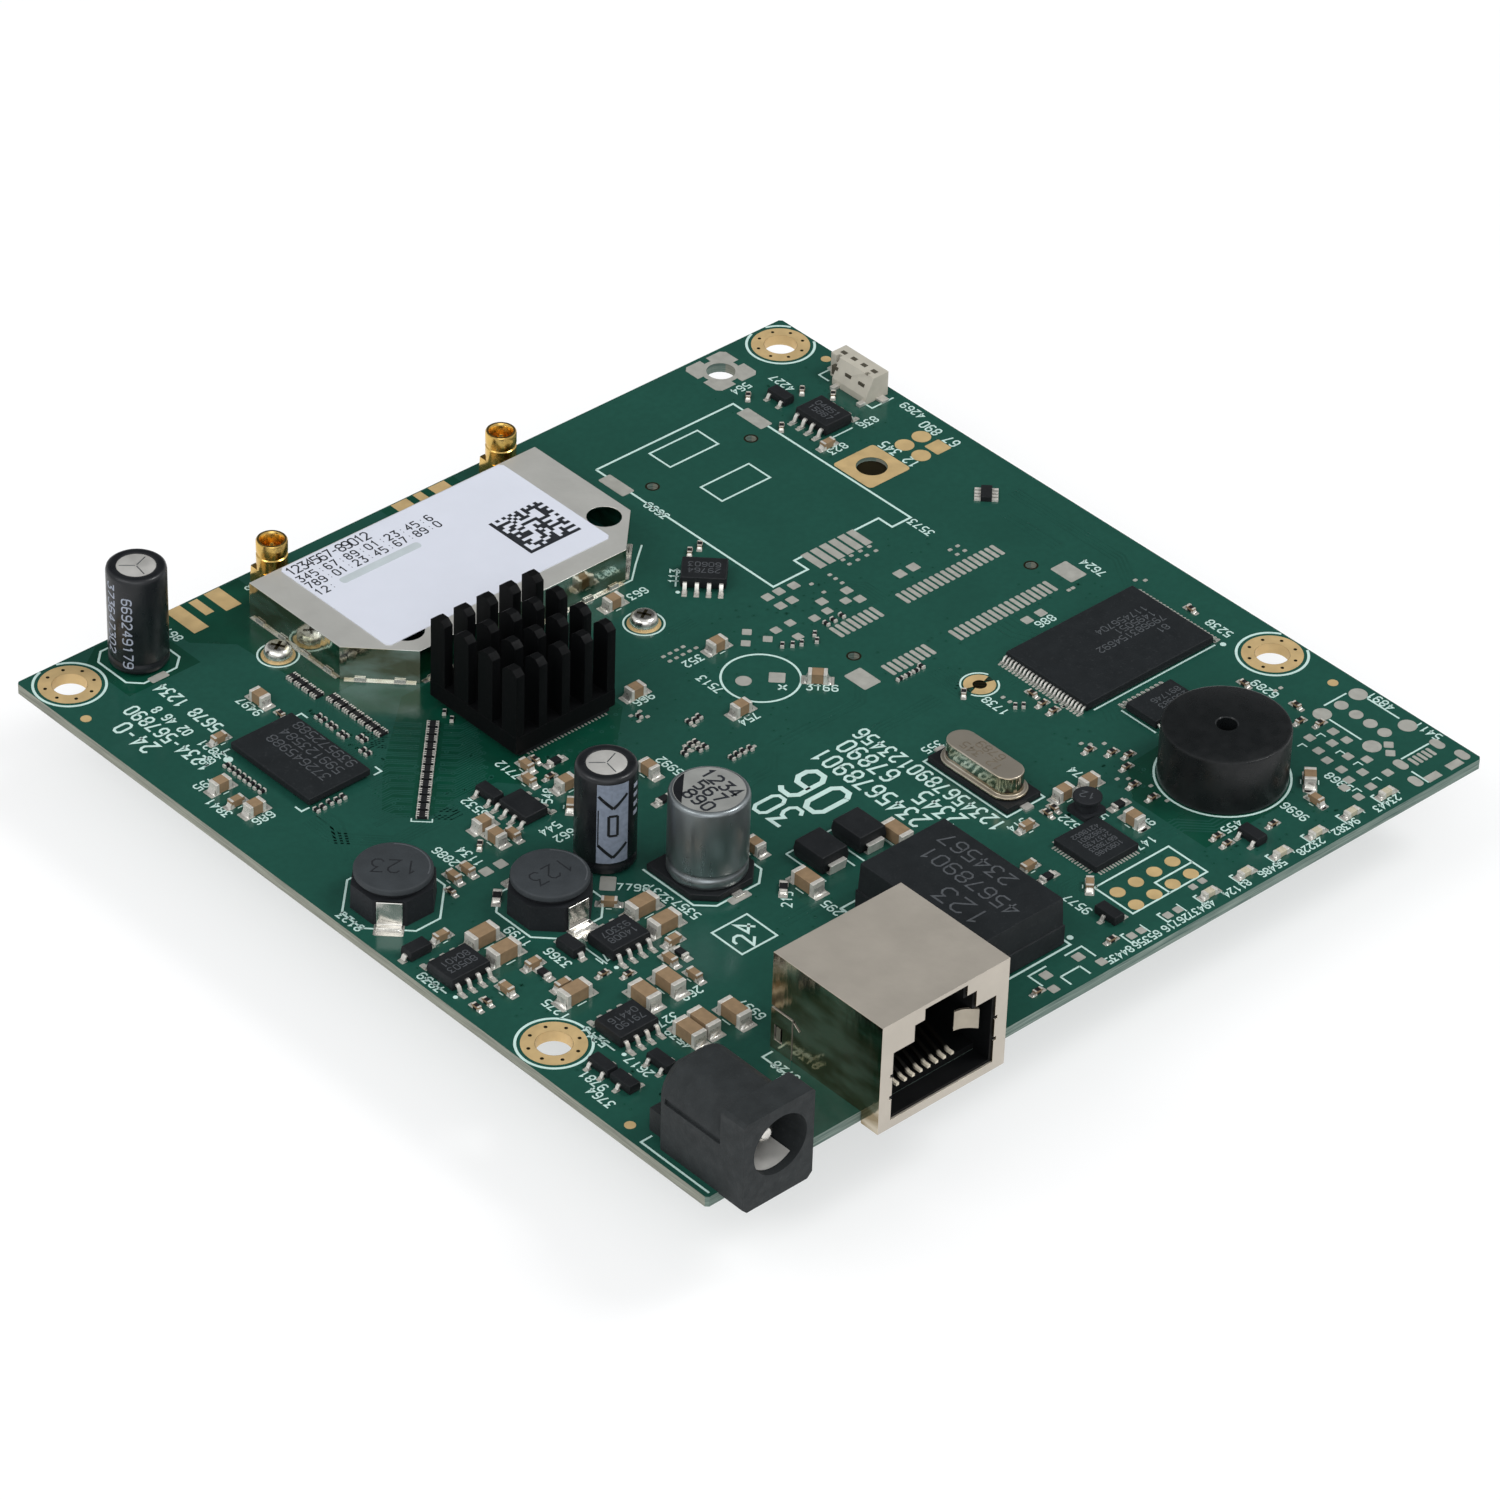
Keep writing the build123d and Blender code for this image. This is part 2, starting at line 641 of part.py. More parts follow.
SINK_FLOOR = PROCESSOR_HEIGHT + TAPE_THICK
PIN_TALL = SINK_TOP - SINK_FLOOR - SINK_BASE

with BuildPart() as sink_pin:
    with BuildSketch(Plane.YZ):
        with BuildLine():
            Polyline(
                (PIN_LENGTH / 2, PIN_TALL - 0.55),
                (PIN_LENGTH / 2, 0),
                (-PIN_LENGTH / 2, 0),
                (-PIN_LENGTH / 2, PIN_TALL - 0.55),
                (-PIN_LENGTH / 5, PIN_TALL),
                (PIN_LENGTH / 5, PIN_TALL),
                close=True,
            )
        make_face()
    extrude(amount=PIN_THICK / 2, both=True)

with BuildPart() as heatsink:
    with Locations(spot(SINK_X, SINK_Y, height=SINK_FLOOR)):
        Box(SINK_WIDTH, SINK_DEPTH, SINK_BASE, align=(Align.CENTER, Align.CENTER, Align.MIN))
    with Locations(spot(SINK_X, SINK_Y, height=SINK_FLOOR + SINK_BASE)):
        with GridLocations(PIN_PITCH_X, PIN_PITCH_Y, 5, 4):
            add(sink_pin.part)
heatsink.part.label = "heatsink"
export_step(heatsink.part, "parts/heatsink.step")

with BuildPart() as memory_chip:
    with BuildSketch(level(-39.55, 23.15)):
        Rectangle(7.3, 11.9)
    extrude(amount=0.3)
    with BuildSketch(level(-39.55, 23.15, height=0.3)):
        Rectangle(7.9, 12.5)
    extrude(amount=0.8)
memory_chip.part.label = "memory_chip"
export_step(memory_chip.part, "parts/memory_chip.step")

FLASH_SEAM = 0.5
flash_shape = moulded(FLASH_LENGTH, FLASH_WIDTH, 0.1, FLASH_SEAM, FLASH_HEIGHT)
flash_lead = gull_wing(0.22, FLASH_LENGTH / 2, FLASH_SPAN / 2, FLASH_SEAM, 0.45)

with BuildPart() as flash_body:
    with Locations(spot(36.3, -15.6)):
        add(flash_shape)
flash_body.part.label = "flash_chip_body"
export_step(flash_body.part, "parts/flash_chip_body.step")

with BuildPart() as flash_leads:
    for turn in (0, 180):
        with Locations(spot(36.3, -15.6, turn)):
            with GridLocations(0, FLASH_PITCH, 1, 24):
                add(flash_lead)
flash_leads.part.label = "flash_chip_leads"
export_step(flash_leads.part, "parts/flash_chip_leads.step")

THIN_SEAM = 0.5
thin_shape = moulded(THIN_LENGTH, THIN_WIDTH, 0.1, THIN_SEAM, THIN_HEIGHT)
serial_lead = gull_wing(0.25, THIN_WIDTH / 2, THIN_SPAN / 2, THIN_SEAM, 0.5)

with BuildPart() as thin_body:
    with Locations(spot(33.6, -26.1)):
        add(thin_shape)
thin_body.part.label = "serial_chip_body"
export_step(thin_body.part, "parts/serial_chip_body.step")

with BuildPart() as thin_leads:
    for turn in (90, 270):
        with Locations(spot(33.6, -26.1, turn)):
            with GridLocations(0, THIN_PITCH, 1, 10):
                add(serial_lead)
thin_leads.part.label = "serial_chip_leads"
export_step(thin_leads.part, "parts/serial_chip_leads.step")

SLIM_SEAM = 0.5
slim_shape = moulded(4.2, 3.0, 0.1, SLIM_SEAM, 1.15)
slim_lead = gull_wing(0.4, 1.5, 2.35, SLIM_SEAM, 0.45)
SO_SEAM = 0.75
so_shape = moulded(SO_LENGTH, SO_WIDTH, SO_STAND, SO_SEAM, SO_HEIGHT)
so_lead = gull_wing(0.42, SO_WIDTH / 2, SO_SPAN / 2, SO_SEAM, 0.65)

with BuildPart() as small_outline_bodies:
    with Locations(*[spot(x, y, turn) for x, y, turn in SO_PLACES]):
        add(so_shape)
    with Locations(spot(*SLIM_PLACE)):
        add(slim_shape)
small_outline_bodies.part.label = "small_outline_bodies"
export_step(small_outline_bodies.part, "parts/small_outline_bodies.step")

with BuildPart() as small_outline_leads:
    for x, y, turn in SO_PLACES:
        with Locations(spot(x, y, turn + 90), spot(x, y, turn + 270)):
            with GridLocations(0, SO_PITCH, 1, 4):
                add(so_lead)
    for turn in (90, 270):
        with Locations(spot(SLIM_PLACE[0], SLIM_PLACE[1], SLIM_PLACE[2] + turn)):
            with GridLocations(0, SO_PITCH, 1, 4):
                add(slim_lead)
small_outline_leads.part.label = "small_outline_leads"
export_step(small_outline_leads.part, "parts/small_outline_leads.step")

with BuildPart() as ethernet_chip:
    with Locations(spot(12.0, -38.3)):
        Box(6.0, 6.0, 0.85, align=(Align.CENTER, Align.CENTER, Align.MIN))
ethernet_chip.part.label = "ethernet_chip"
export_step(ethernet_chip.part, "parts/ethernet_chip.step")

MAGNETIC_X = -7.2
MAGNETIC_Y = -38.75

with BuildPart() as magnetics_body:
    with BuildSketch(level(MAGNETIC_X, MAGNETIC_Y, height=0.2)):
        Rectangle(MAGNETIC_WIDTH, MAGNETIC_LENGTH)
    extrude(amount=MAGNETIC_SEAM - 0.2)
    with BuildSketch(level(MAGNETIC_X, MAGNETIC_Y, height=MAGNETIC_SEAM)):
        Rectangle(MAGNETIC_WIDTH - 0.3, MAGNETIC_LENGTH - 0.3)
    extrude(amount=MAGNETIC_HEIGHT - MAGNETIC_SEAM, taper=2)
magnetics_body.part.label = "magnetics_body"
export_step(magnetics_body.part, "parts/magnetics_body.step")

magnetic_lead = gull_wing(0.45, MAGNETIC_WIDTH / 2, MAGNETIC_SPAN / 2, 1.6, 0.35)

with BuildPart() as magnetics_leads:
    for turn in (0, 180):
        with Locations(spot(MAGNETIC_X, MAGNETIC_Y, turn)):
            with GridLocations(0, SO_PITCH, 1, 12):
                add(magnetic_lead)
magnetics_leads.part.label = "magnetics_leads"
export_step(magnetics_leads.part, "parts/magnetics_leads.step")

with BuildPart() as buzzer:
    with BuildSketch(level(BUZZER_X, BUZZER_Y)):
        Circle(6.7)
    extrude(amount=6.5)
    with BuildSketch(level(BUZZER_X, BUZZER_Y, height=6.5)):
        RegularPolygon(1.1, 16)
    extrude(amount=-2.5, mode=Mode.SUBTRACT)
buzzer.part.label = "buzzer"
export_step(buzzer.part, "parts/buzzer.step")

with BuildPart() as buzzer_pins:
    with Locations(*[spot(x, y) for x, y in BUZZER_TAILS]):
        Box(PIN_SIDE, PIN_SIDE, BOARD_THICK + TAIL, align=(Align.CENTER, Align.CENTER, Align.MAX))
buzzer_pins.part.label = "buzzer_pins"
export_step(buzzer_pins.part, "parts/buzzer_pins.step")

CRYSTAL_X = 11.3
CRYSTAL_Y = -22.95
CRYSTAL_BASE = 0.7

with BuildPart() as crystal_base:
    with Locations(spot(CRYSTAL_X, CRYSTAL_Y)):
        Box(4.65, 11.6, CRYSTAL_BASE, align=(Align.CENTER, Align.CENTER, Align.MIN))
crystal_base.part.label = "crystal_base"
export_step(crystal_base.part, "parts/crystal_base.step")

with BuildPart() as crystal_can:
    with BuildSketch(level(CRYSTAL_X, CRYSTAL_Y, 90, CRYSTAL_BASE)):
        SlotOverall(10.9, 4.4)
    extrude(amount=0.4)
    with BuildSketch(level(CRYSTAL_X, CRYSTAL_Y, 90, CRYSTAL_BASE + 0.4)):
        SlotOverall(9.9, 3.4)
    extrude(amount=2.1)
crystal_can.part.label = "crystal_can"
export_step(crystal_can.part, "parts/crystal_can.step")

with BuildPart() as crystal_tabs:
    with Locations(spot(CRYSTAL_X, CRYSTAL_Y + 5.8), spot(CRYSTAL_X, CRYSTAL_Y - 5.8, 180)):
        Box(1.1, 0.9, 0.25, align=(Align.CENTER, Align.MIN, Align.MIN))
crystal_tabs.part.label = "crystal_tabs"
export_step(crystal_tabs.part, "parts/crystal_tabs.step")

DIODE_SEAM = 1.0
diode_shape = moulded(4.3, 3.6, 0.15, DIODE_SEAM, 2.15)

with BuildPart() as diode_bodies:
    with Locations(*[spot(*place) for place in DIODE_PLACES]):
        add(diode_shape)
diode_bodies.part.label = "diode_bodies"
export_step(diode_bodies.part, "parts/diode_bodies.step")

with BuildPart() as diode_lead:
    with BuildSketch(Plane.XZ):
        with BuildLine():
            Polyline(
                (2.15, DIODE_SEAM + LEAD_THICK),
                (2.15, DIODE_SEAM),
                (2.45, DIODE_SEAM),
                (2.3, LEAD_THICK),
                (1.9, 0.1),
                (1.9, 0),
                (2.5, 0),
                (2.7, DIODE_SEAM + LEAD_THICK),
                close=True,
            )
        make_face()
    extrude(amount=1.05, both=True)

with BuildPart() as diode_leads:
    for x, y, turn in DIODE_PLACES:
        with Locations(spot(x, y, turn), spot(x, y, turn + 180)):
            add(diode_lead.part)
diode_leads.part.label = "diode_leads"
export_step(diode_leads.part, "parts/diode_leads.step")

SOT_SEAM = 0.45
sot_shape = moulded(1.4, 2.9, 0.05, SOT_SEAM, 1.05)
sot_lead = gull_wing(0.4, 0.7, 1.25, SOT_SEAM, 0.3)
sod_shape = moulded(2.7, 1.6, 0.05, SOT_SEAM, 1.15)
sod_lead = gull_wing(0.6, 1.35, 1.85, SOT_SEAM, 0.25)

with BuildPart() as transistor_bodies:
    with Locations(*[spot(*place) for place in SOT_PLACES]):
        add(sot_shape)
    with Locations(*[spot(*place) for place in SOD_PLACES]):
        add(sod_shape)
transistor_bodies.part.label = "small_signal_bodies"
export_step(transistor_bodies.part, "parts/small_signal_bodies.step")

with BuildPart() as transistor_leads:
    for x, y, turn in SOT_PLACES:
        with Locations(spot(x, y, turn)):
            add(sot_lead)
        with Locations(spot(x, y, turn + 180)):
            with GridLocations(0, 1.9, 1, 2):
                add(sot_lead)
    for x, y, turn in SOD_PLACES:
        with Locations(spot(x, y, turn), spot(x, y, turn + 180)):
            add(sod_lead)
transistor_leads.part.label = "small_signal_leads"
export_step(transistor_leads.part, "parts/small_signal_leads.step")

COIL_PLACES = [(-46.45, 0.25, 45), (-35.4, -10.35, 90)]
COIL_NECK = 3.0
COIL_BRIM = 3.35

with BuildPart() as coil_shape:
    with BuildSketch():
        RegularPolygon(COIL_BASE / 2, 8, major_radius=False, rotation=22.5)
    extrude(amount=COIL_NECK)
    with BuildSketch(Plane.XY.offset(COIL_NECK)):
        RegularPolygon(COIL_DISC - 0.45, 8, rotation=22.5)
    extrude(amount=COIL_BRIM - COIL_NECK)
    with BuildSketch(Plane.XY.offset(COIL_BRIM)):
        Circle(COIL_DISC)
    extrude(amount=COIL_HEIGHT - COIL_BRIM)

with BuildPart() as coils:
    with Locations(*[spot(*place) for place in COIL_PLACES]):
        add(coil_shape.part)
coils.part.label = "power_inductor_cores"
export_step(coils.part, "parts/power_inductor_cores.step")

with BuildPart() as coil_strap:
    with BuildSketch(Plane.XZ):
        with BuildLine():
            Polyline(
                (COIL_BASE / 2, 0),
                (COIL_BASE / 2 + 0.85, 0),
                (COIL_BASE / 2 + 0.85, STRAP_THICK),
                (COIL_BASE / 2 + STRAP_THICK, STRAP_THICK),
                (COIL_BASE / 2 + STRAP_THICK, STRAP_HEIGHT),
                (COIL_BASE / 2, STRAP_HEIGHT),
                close=True,
            )
        make_face()
    extrude(amount=STRAP_WIDTH / 2, both=True)

with BuildPart() as coil_straps:
    for x, y, turn in COIL_PLACES:
        with Locations(spot(x, y, turn), spot(x, y, turn + 180)):
            add(coil_strap.part)
coil_straps.part.label = "power_inductor_straps"
export_step(coil_straps.part, "parts/power_inductor_straps.step")

with BuildPart() as small_coil:
    with BuildSketch(level(15.5, -33.4)):
        Rectangle(3.0, 3.0)
    extrude(amount=0.5)
    with BuildSketch(level(15.5, -33.4, height=0.5)):
        RegularPolygon(1.1, 8)
    extrude(amount=1.1)
    with BuildSketch(level(15.5, -33.4, height=1.6)):
        RegularPolygon(1.5, 24)
    extrude(amount=0.45)
small_coil.part.label = "small_inductor"
export_step(small_coil.part, "parts/small_inductor.step")

RADIAL_FOOT = 0.3
CAN_INSIDE = RADIAL_RADIUS - SLEEVE

with BuildPart() as radial_can:
    with BuildSketch(Plane.XY.offset(RADIAL_FOOT)):
        RegularPolygon(CAN_INSIDE, 16)
    extrude(amount=RADIAL_HEIGHT - SLEEVE - RADIAL_FOOT)

# film over the wall and over the rim of the top, open over the vent
with BuildPart() as radial_sleeve:
    with BuildSketch(Plane.XY.offset(RADIAL_FOOT)):
        Circle(RADIAL_RADIUS)
    extrude(amount=RADIAL_HEIGHT - RADIAL_FOOT)
    with BuildSketch(Plane.XY.offset(RADIAL_HEIGHT)):
        Circle(VENT_RADIUS)
    extrude(amount=-SLEEVE, mode=Mode.SUBTRACT)
    with BuildSketch(Plane.XY.offset(RADIAL_FOOT)):
        RegularPolygon(CAN_INSIDE, 16)
    extrude(amount=RADIAL_HEIGHT - SLEEVE - RADIAL_FOOT, mode=Mode.SUBTRACT)

with BuildPart() as radial_cans:
    with Locations(*[spot(x, y) for x, y in RADIAL_PLACES]):
        add(radial_can.part)
radial_cans.part.label = "radial_capacitor_cans"
export_step(radial_cans.part, "parts/radial_capacitor_cans.step")

with BuildPart() as radial_sleeves:
    with Locations(*[spot(x, y) for x, y in RADIAL_PLACES]):
        add(radial_sleeve.part)
radial_sleeves.part.label = "radial_capacitor_sleeves"
export_step(radial_sleeves.part, "parts/radial_capacitor_sleeves.step")

with BuildPart() as radial_leads:
    with Locations(*[spot(x, y, height=RADIAL_FOOT) for x, y in RADIAL_TAILS]):
        Box(PIN_SIDE, PIN_SIDE, RADIAL_FOOT + BOARD_THICK + TAIL, align=(Align.CENTER, Align.CENTER, Align.MAX))
radial_leads.part.label = "radial_capacitor_leads"
export_step(radial_leads.part, "parts/radial_capacitor_leads.step")

ALU_X = -20.2
ALU_Y = -16.4
ALU_PLATE = 0.8

with BuildPart() as surface_can_base:
    with BuildSketch(level(ALU_X, ALU_Y)) as base_outline:
        Rectangle(ALU_BASE, ALU_BASE)
        chamfer(base_outline.vertices().group_by(Axis.Y)[0], 2.0)
    extrude(amount=ALU_PLATE)
surface_can_base.part.label = "surface_capacitor_base"
export_step(surface_can_base.part, "parts/surface_capacitor_base.step")

with BuildPart() as surface_can:
    with BuildSketch(Plane.XZ):
        with BuildLine():
            Polyline(
                (0, ALU_PLATE),
                (ALU_RADIUS, ALU_PLATE),
                (ALU_RADIUS, 1.9),
                (ALU_RADIUS - 0.3, 2.2),
                (ALU_RADIUS, 2.5),
                (ALU_RADIUS, ALU_HEIGHT - 0.35),
                (ALU_RADIUS - 0.35, ALU_HEIGHT),
                (0, ALU_HEIGHT),
                close=True,
            )
        make_face()
    revolve(axis=Axis.Z)

with BuildPart() as surface_cans:
    with Locations(spot(ALU_X, ALU_Y)):
        add(surface_can.part)
surface_cans.part.label = "surface_capacitor_can"
export_step(surface_cans.part, "parts/surface_capacitor_can.step")

with BuildPart() as surface_feet:
    with Locations(spot(ALU_X, ALU_Y + ALU_BASE / 2), spot(ALU_X, ALU_Y - ALU_BASE / 2, 180)):
        Box(1.2, 0.8, 0.25, align=(Align.CENTER, Align.MIN, Align.MIN))
surface_feet.part.label = "surface_capacitor_feet"
export_step(surface_feet.part, "parts/surface_capacitor_feet.step")

COAX_PLACES = [(-21.8, BOARD_REAR - 2.85), (9.4, BOARD_REAR - 2.85)]
COAX_BLOCK = 3.4
COAX_FLOOR = 2.2
COAX_BLOCK_HEIGHT = 1.9

with BuildPart() as coax_shell:
    with BuildSketch():
        Rectangle(COAX_BLOCK, COAX_BLOCK)
    extrude(amount=COAX_BLOCK_HEIGHT)
    with BuildSketch():
        RegularPolygon(COAX_RADIUS, 24)
    extrude(amount=COAX_HEIGHT)
    with BuildSketch(Plane.XY.offset(COAX_HEIGHT)):
        RegularPolygon(COAX_BORE, 24)
    extrude(amount=COAX_FLOOR - COAX_HEIGHT, mode=Mode.SUBTRACT)

with BuildPart() as coax_shells:
    with Locations(*[spot(x, y) for x, y in COAX_PLACES]):
        add(coax_shell.part)
coax_shells.part.label = "coax_socket_shells"
export_step(coax_shells.part, "parts/coax_socket_shells.step")

with BuildPart() as coax_insulators:
    for x, y in COAX_PLACES:
        with BuildSketch(level(x, y, height=COAX_FLOOR)):
            RegularPolygon(COAX_BORE, 12)
        extrude(amount=0.8)
coax_insulators.part.label = "coax_socket_insulators"
export_step(coax_insulators.part, "parts/coax_socket_insulators.step")

with BuildPart() as coax_pins:
    for x, y in COAX_PLACES:
        with BuildSketch(level(x, y, height=COAX_FLOOR + 0.8)):
            RegularPolygon(0.33, 10)
        extrude(amount=COAX_HEIGHT - COAX_FLOOR - 1.4)
coax_pins.part.label = "coax_socket_pins"
export_step(coax_pins.part, "parts/coax_socket_pins.step")

SCREW_HEAD = 1.5
HEAD_HEIGHT = 1.25

with BuildPart() as screw:
    with BuildSketch():
        RegularPolygon(SCREW_HEAD, 24)
    extrude(amount=HEAD_HEIGHT)
    chamfer(screw.faces().sort_by(Axis.Z)[-1].edges(), 0.35)
    with BuildSketch(Plane.XY.offset(HEAD_HEIGHT)):
        Rectangle(1.8, 0.45)
        Rectangle(0.45, 1.8)
    extrude(amount=-0.6, mode=Mode.SUBTRACT)
    with BuildSketch():
        RegularPolygon(SCREW_RADIUS, 8, rotation=-30)
    extrude(amount=-(BOARD_THICK + TAIL))

with BuildPart() as screws:
    with Locations(*[spot(x, y, 30) for x, y in SCREW_PLACES]):
        add(screw.part)
screws.part.label = "screws"
export_step(screws.part, "parts/screws.step")

with BuildPart() as nuts:
    for x, y in SCREW_PLACES:
        with BuildSketch(level(x, y, height=-BOARD_THICK)):
            RegularPolygon(2.0, 6, major_radius=False)
            RegularPolygon(SCREW_RADIUS, 8, mode=Mode.SUBTRACT)
        extrude(amount=-1.3)
nuts.part.label = "nuts"
export_step(nuts.part, "parts/nuts.step")

PLUG_X = BOARD_REAR - 2.75
PLUG_Y = 37.4
PLUG_LENGTH = 6.8
PLUG_HEIGHT = 3.0
PLUG_RIGHT = 1.65          # mouth side of the connector, from PLUG_X
MOUTH_DEPTH = 2.2

with BuildPart() as plug_housing:
    with BuildSketch(facing(PLUG_X, PLUG_Y - PLUG_LENGTH / 2)):
        with BuildLine():
            Polyline((-1.6, 0), (PLUG_RIGHT, 0), (PLUG_RIGHT, PLUG_HEIGHT), (-0.55, PLUG_HEIGHT), (-1.6, 0.8), close=True)
        make_face()
    extrude(amount=-PLUG_LENGTH)
    # the +Y end stands without the sloped lip
    with Locations(spot(PLUG_X - 1.6, PLUG_Y + PLUG_LENGTH / 2)):
        Box(1.05, 1.4, PLUG_HEIGHT, align=(Align.MIN, Align.MAX, Align.MIN), mode=Mode.SUBTRACT)
    with Locations(*[spot(PLUG_X - 0.35, PLUG_Y + shift, height=PLUG_HEIGHT) for shift in (-2.2, 2.3)]):
        Box(0.5, 0.5, 0.9, align=(Align.CENTER, Align.CENTER, Align.MAX), mode=Mode.SUBTRACT)
    # mouth for the plug, open toward +X
    with BuildSketch(sideways(PLUG_X + PLUG_RIGHT, PLUG_Y, 1.45)):
        Rectangle(4.6, 2.0)
    extrude(amount=-MOUTH_DEPTH, mode=Mode.SUBTRACT)
plug_housing.part.label = "side_connector_housing"
export_step(plug_housing.part, "parts/side_connector_housing.step")

with BuildPart() as plug_contacts:
    with Locations(spot(PLUG_X - 1.6, PLUG_Y - 3.1, 180), spot(PLUG_X - 1.6, PLUG_Y + 1.1, 180)):
        Box(0.9, 0.6, 0.4, align=(Align.MIN, Align.CENTER, Align.MIN))
    with Locations(spot(PLUG_X + 0.4, PLUG_Y - PLUG_LENGTH / 2, 270), spot(PLUG_X + 0.4, PLUG_Y + PLUG_LENGTH / 2, 90)):
        Box(1.0, 1.0, 0.3, align=(Align.MIN, Align.CENTER, Align.MIN))
    with Locations(*[spot(PLUG_X + PLUG_RIGHT - MOUTH_DEPTH, PLUG_Y + shift, height=1.45) for shift in (-0.6, 0.6)]):
        Box(MOUTH_DEPTH - 0.4, 0.35, 0.35, align=(Align.MIN, Align.CENTER, Align.CENTER))
plug_contacts.part.label = "side_connector_feet"
export_step(plug_contacts.part, "parts/side_connector_feet.step")

END_WIDTH = {CHIP_1206: 0.5, CHIP_0805: 0.4}
CAPACITOR_GROUPS = [(CHIP_1206, PLACES_1206), (CHIP_0805, PLACES_0805)]
RESISTOR = (1.6, 0.8, 0.45)
RESISTOR_END = 0.3
LED = (1.6, 0.8, 0.6)
LED_END = 0.35

with BuildPart() as capacitor_bodies:
    for size, places in CAPACITOR_GROUPS:
        shape = chip_body(size, END_WIDTH[size])
        with Locations(*[spot(*place) for place in places]):
            add(shape)
capacitor_bodies.part.label = "chip_capacitor_bodies"
export_step(capacitor_bodies.part, "parts/chip_capacitor_bodies.step")

with BuildPart() as capacitor_ends:
    for size, places in CAPACITOR_GROUPS:
        shape = chip_ends(size, END_WIDTH[size])
        with Locations(*[spot(*place) for place in places]):
            add(shape)
capacitor_ends.part.label = "chip_capacitor_ends"
export_step(capacitor_ends.part, "parts/chip_capacitor_ends.step")

with BuildPart() as resistor_bodies:
    with Locations(*[spot(*place) for place in RESISTOR_PLACES]):
        add(chip_body(RESISTOR, RESISTOR_END))
resistor_bodies.part.label = "chip_resistor_bodies"
export_step(resistor_bodies.part, "parts/chip_resistor_bodies.step")

with BuildPart() as resistor_ends:
    with Locations(*[spot(*place) for place in RESISTOR_PLACES]):
        add(chip_ends(RESISTOR, RESISTOR_END))
resistor_ends.part.label = "chip_resistor_ends"
export_step(resistor_ends.part, "parts/chip_resistor_ends.step")

with BuildPart() as small_chips:
    with Locations(*[spot(*place) for place in TINY_PLACES]):
        Box(*CHIP_0402, align=(Align.CENTER, Align.CENTER, Align.MIN))
    with Locations(*[spot(*place) for place in PLACES_0603]):
        Box(*CHIP_0603, align=(Align.CENTER, Align.CENTER, Align.MIN))
small_chips.part.label = "small_chip_parts"
export_step(small_chips.part, "parts/small_chip_parts.step")

with BuildPart() as resistor_arrays:
    for x, y, turn, count in ARRAY_ROWS:
        with Locations(spot(x, y, turn)):
            with GridLocations(ARRAY_PITCH, 0, count, 1):
                Box(1.0, 1.0, 0.35, align=(Align.CENTER, Align.CENTER, Align.MIN))
    with Locations(spot(46.2, 13.1, 45)):
        Box(2.3, 1.2, 0.6, align=(Align.CENTER, Align.CENTER, Align.MIN))
resistor_arrays.part.label = "resistor_arrays"
export_step(resistor_arrays.part, "parts/resistor_arrays.step")

with BuildPart() as led_bodies:
    with Locations(*[spot(*place) for place in LED_PLACES]):
        add(chip_body(LED, LED_END))
led_bodies.part.label = "led_bodies"
export_step(led_bodies.part, "parts/led_bodies.step")

with BuildPart() as led_ends:
    with Locations(*[spot(*place) for place in LED_PLACES]):
        add(chip_ends(LED, LED_END))
led_ends.part.label = "led_ends"
export_step(led_ends.part, "parts/led_ends.step")
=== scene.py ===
"""Looks of a wireless router circuit board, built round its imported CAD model.

Places are in millimetres on the board's top face, as the part's source gives them: +X to the
right, +Y to the rear, from a point SHIFT_Y in front of the middle of the mounting holes, where
the model's frame has its origin. Turns are in degrees. Meshes are in metres in that frame.
"""

import json
from math import atan2, cos, degrees, pi, radians, sin

import bmesh
import bpy
import numpy as np
from bpy.props import FloatProperty, FloatVectorProperty, PointerProperty
from mathutils import Matrix, Vector


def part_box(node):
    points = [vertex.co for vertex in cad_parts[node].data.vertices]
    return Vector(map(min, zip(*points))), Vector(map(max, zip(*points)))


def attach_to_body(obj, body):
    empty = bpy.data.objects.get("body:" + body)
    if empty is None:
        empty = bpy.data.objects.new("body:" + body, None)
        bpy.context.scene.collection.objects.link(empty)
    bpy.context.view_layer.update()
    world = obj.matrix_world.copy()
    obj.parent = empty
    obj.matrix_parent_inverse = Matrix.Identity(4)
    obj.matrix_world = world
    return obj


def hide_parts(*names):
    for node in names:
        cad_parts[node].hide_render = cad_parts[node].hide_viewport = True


bl_info = {
    "name": "Router board looks",
    "version": (1, 0, 0),
    "blender": (4, 5, 0),
    "location": "3D View > Sidebar > Router board",
    "description": "Finishes, print, pads, solder and small detail of a router circuit board",
    "category": "Object",
}

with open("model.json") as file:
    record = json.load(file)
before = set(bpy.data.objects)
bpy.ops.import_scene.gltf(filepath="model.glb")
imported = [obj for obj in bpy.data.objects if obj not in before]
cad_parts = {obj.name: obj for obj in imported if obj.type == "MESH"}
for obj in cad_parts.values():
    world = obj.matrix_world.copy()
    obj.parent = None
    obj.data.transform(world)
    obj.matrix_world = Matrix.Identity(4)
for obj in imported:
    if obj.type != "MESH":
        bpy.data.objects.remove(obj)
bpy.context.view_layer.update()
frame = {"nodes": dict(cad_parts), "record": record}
SLOT_OF = {row["node"]: row["material_slot"] for row in frame["record"]["subparts"]}

MM = 0.001
SHIFT_Y = 11.0
BOARD_TOP = 1.2
TAIL = 1.5
HOLES = [(-49.0, 48.7), (49.0, 48.7), (-49.0, -26.7), (49.0, -26.7)]
WHITE = (1.0, 1.0, 1.0, 1.0)


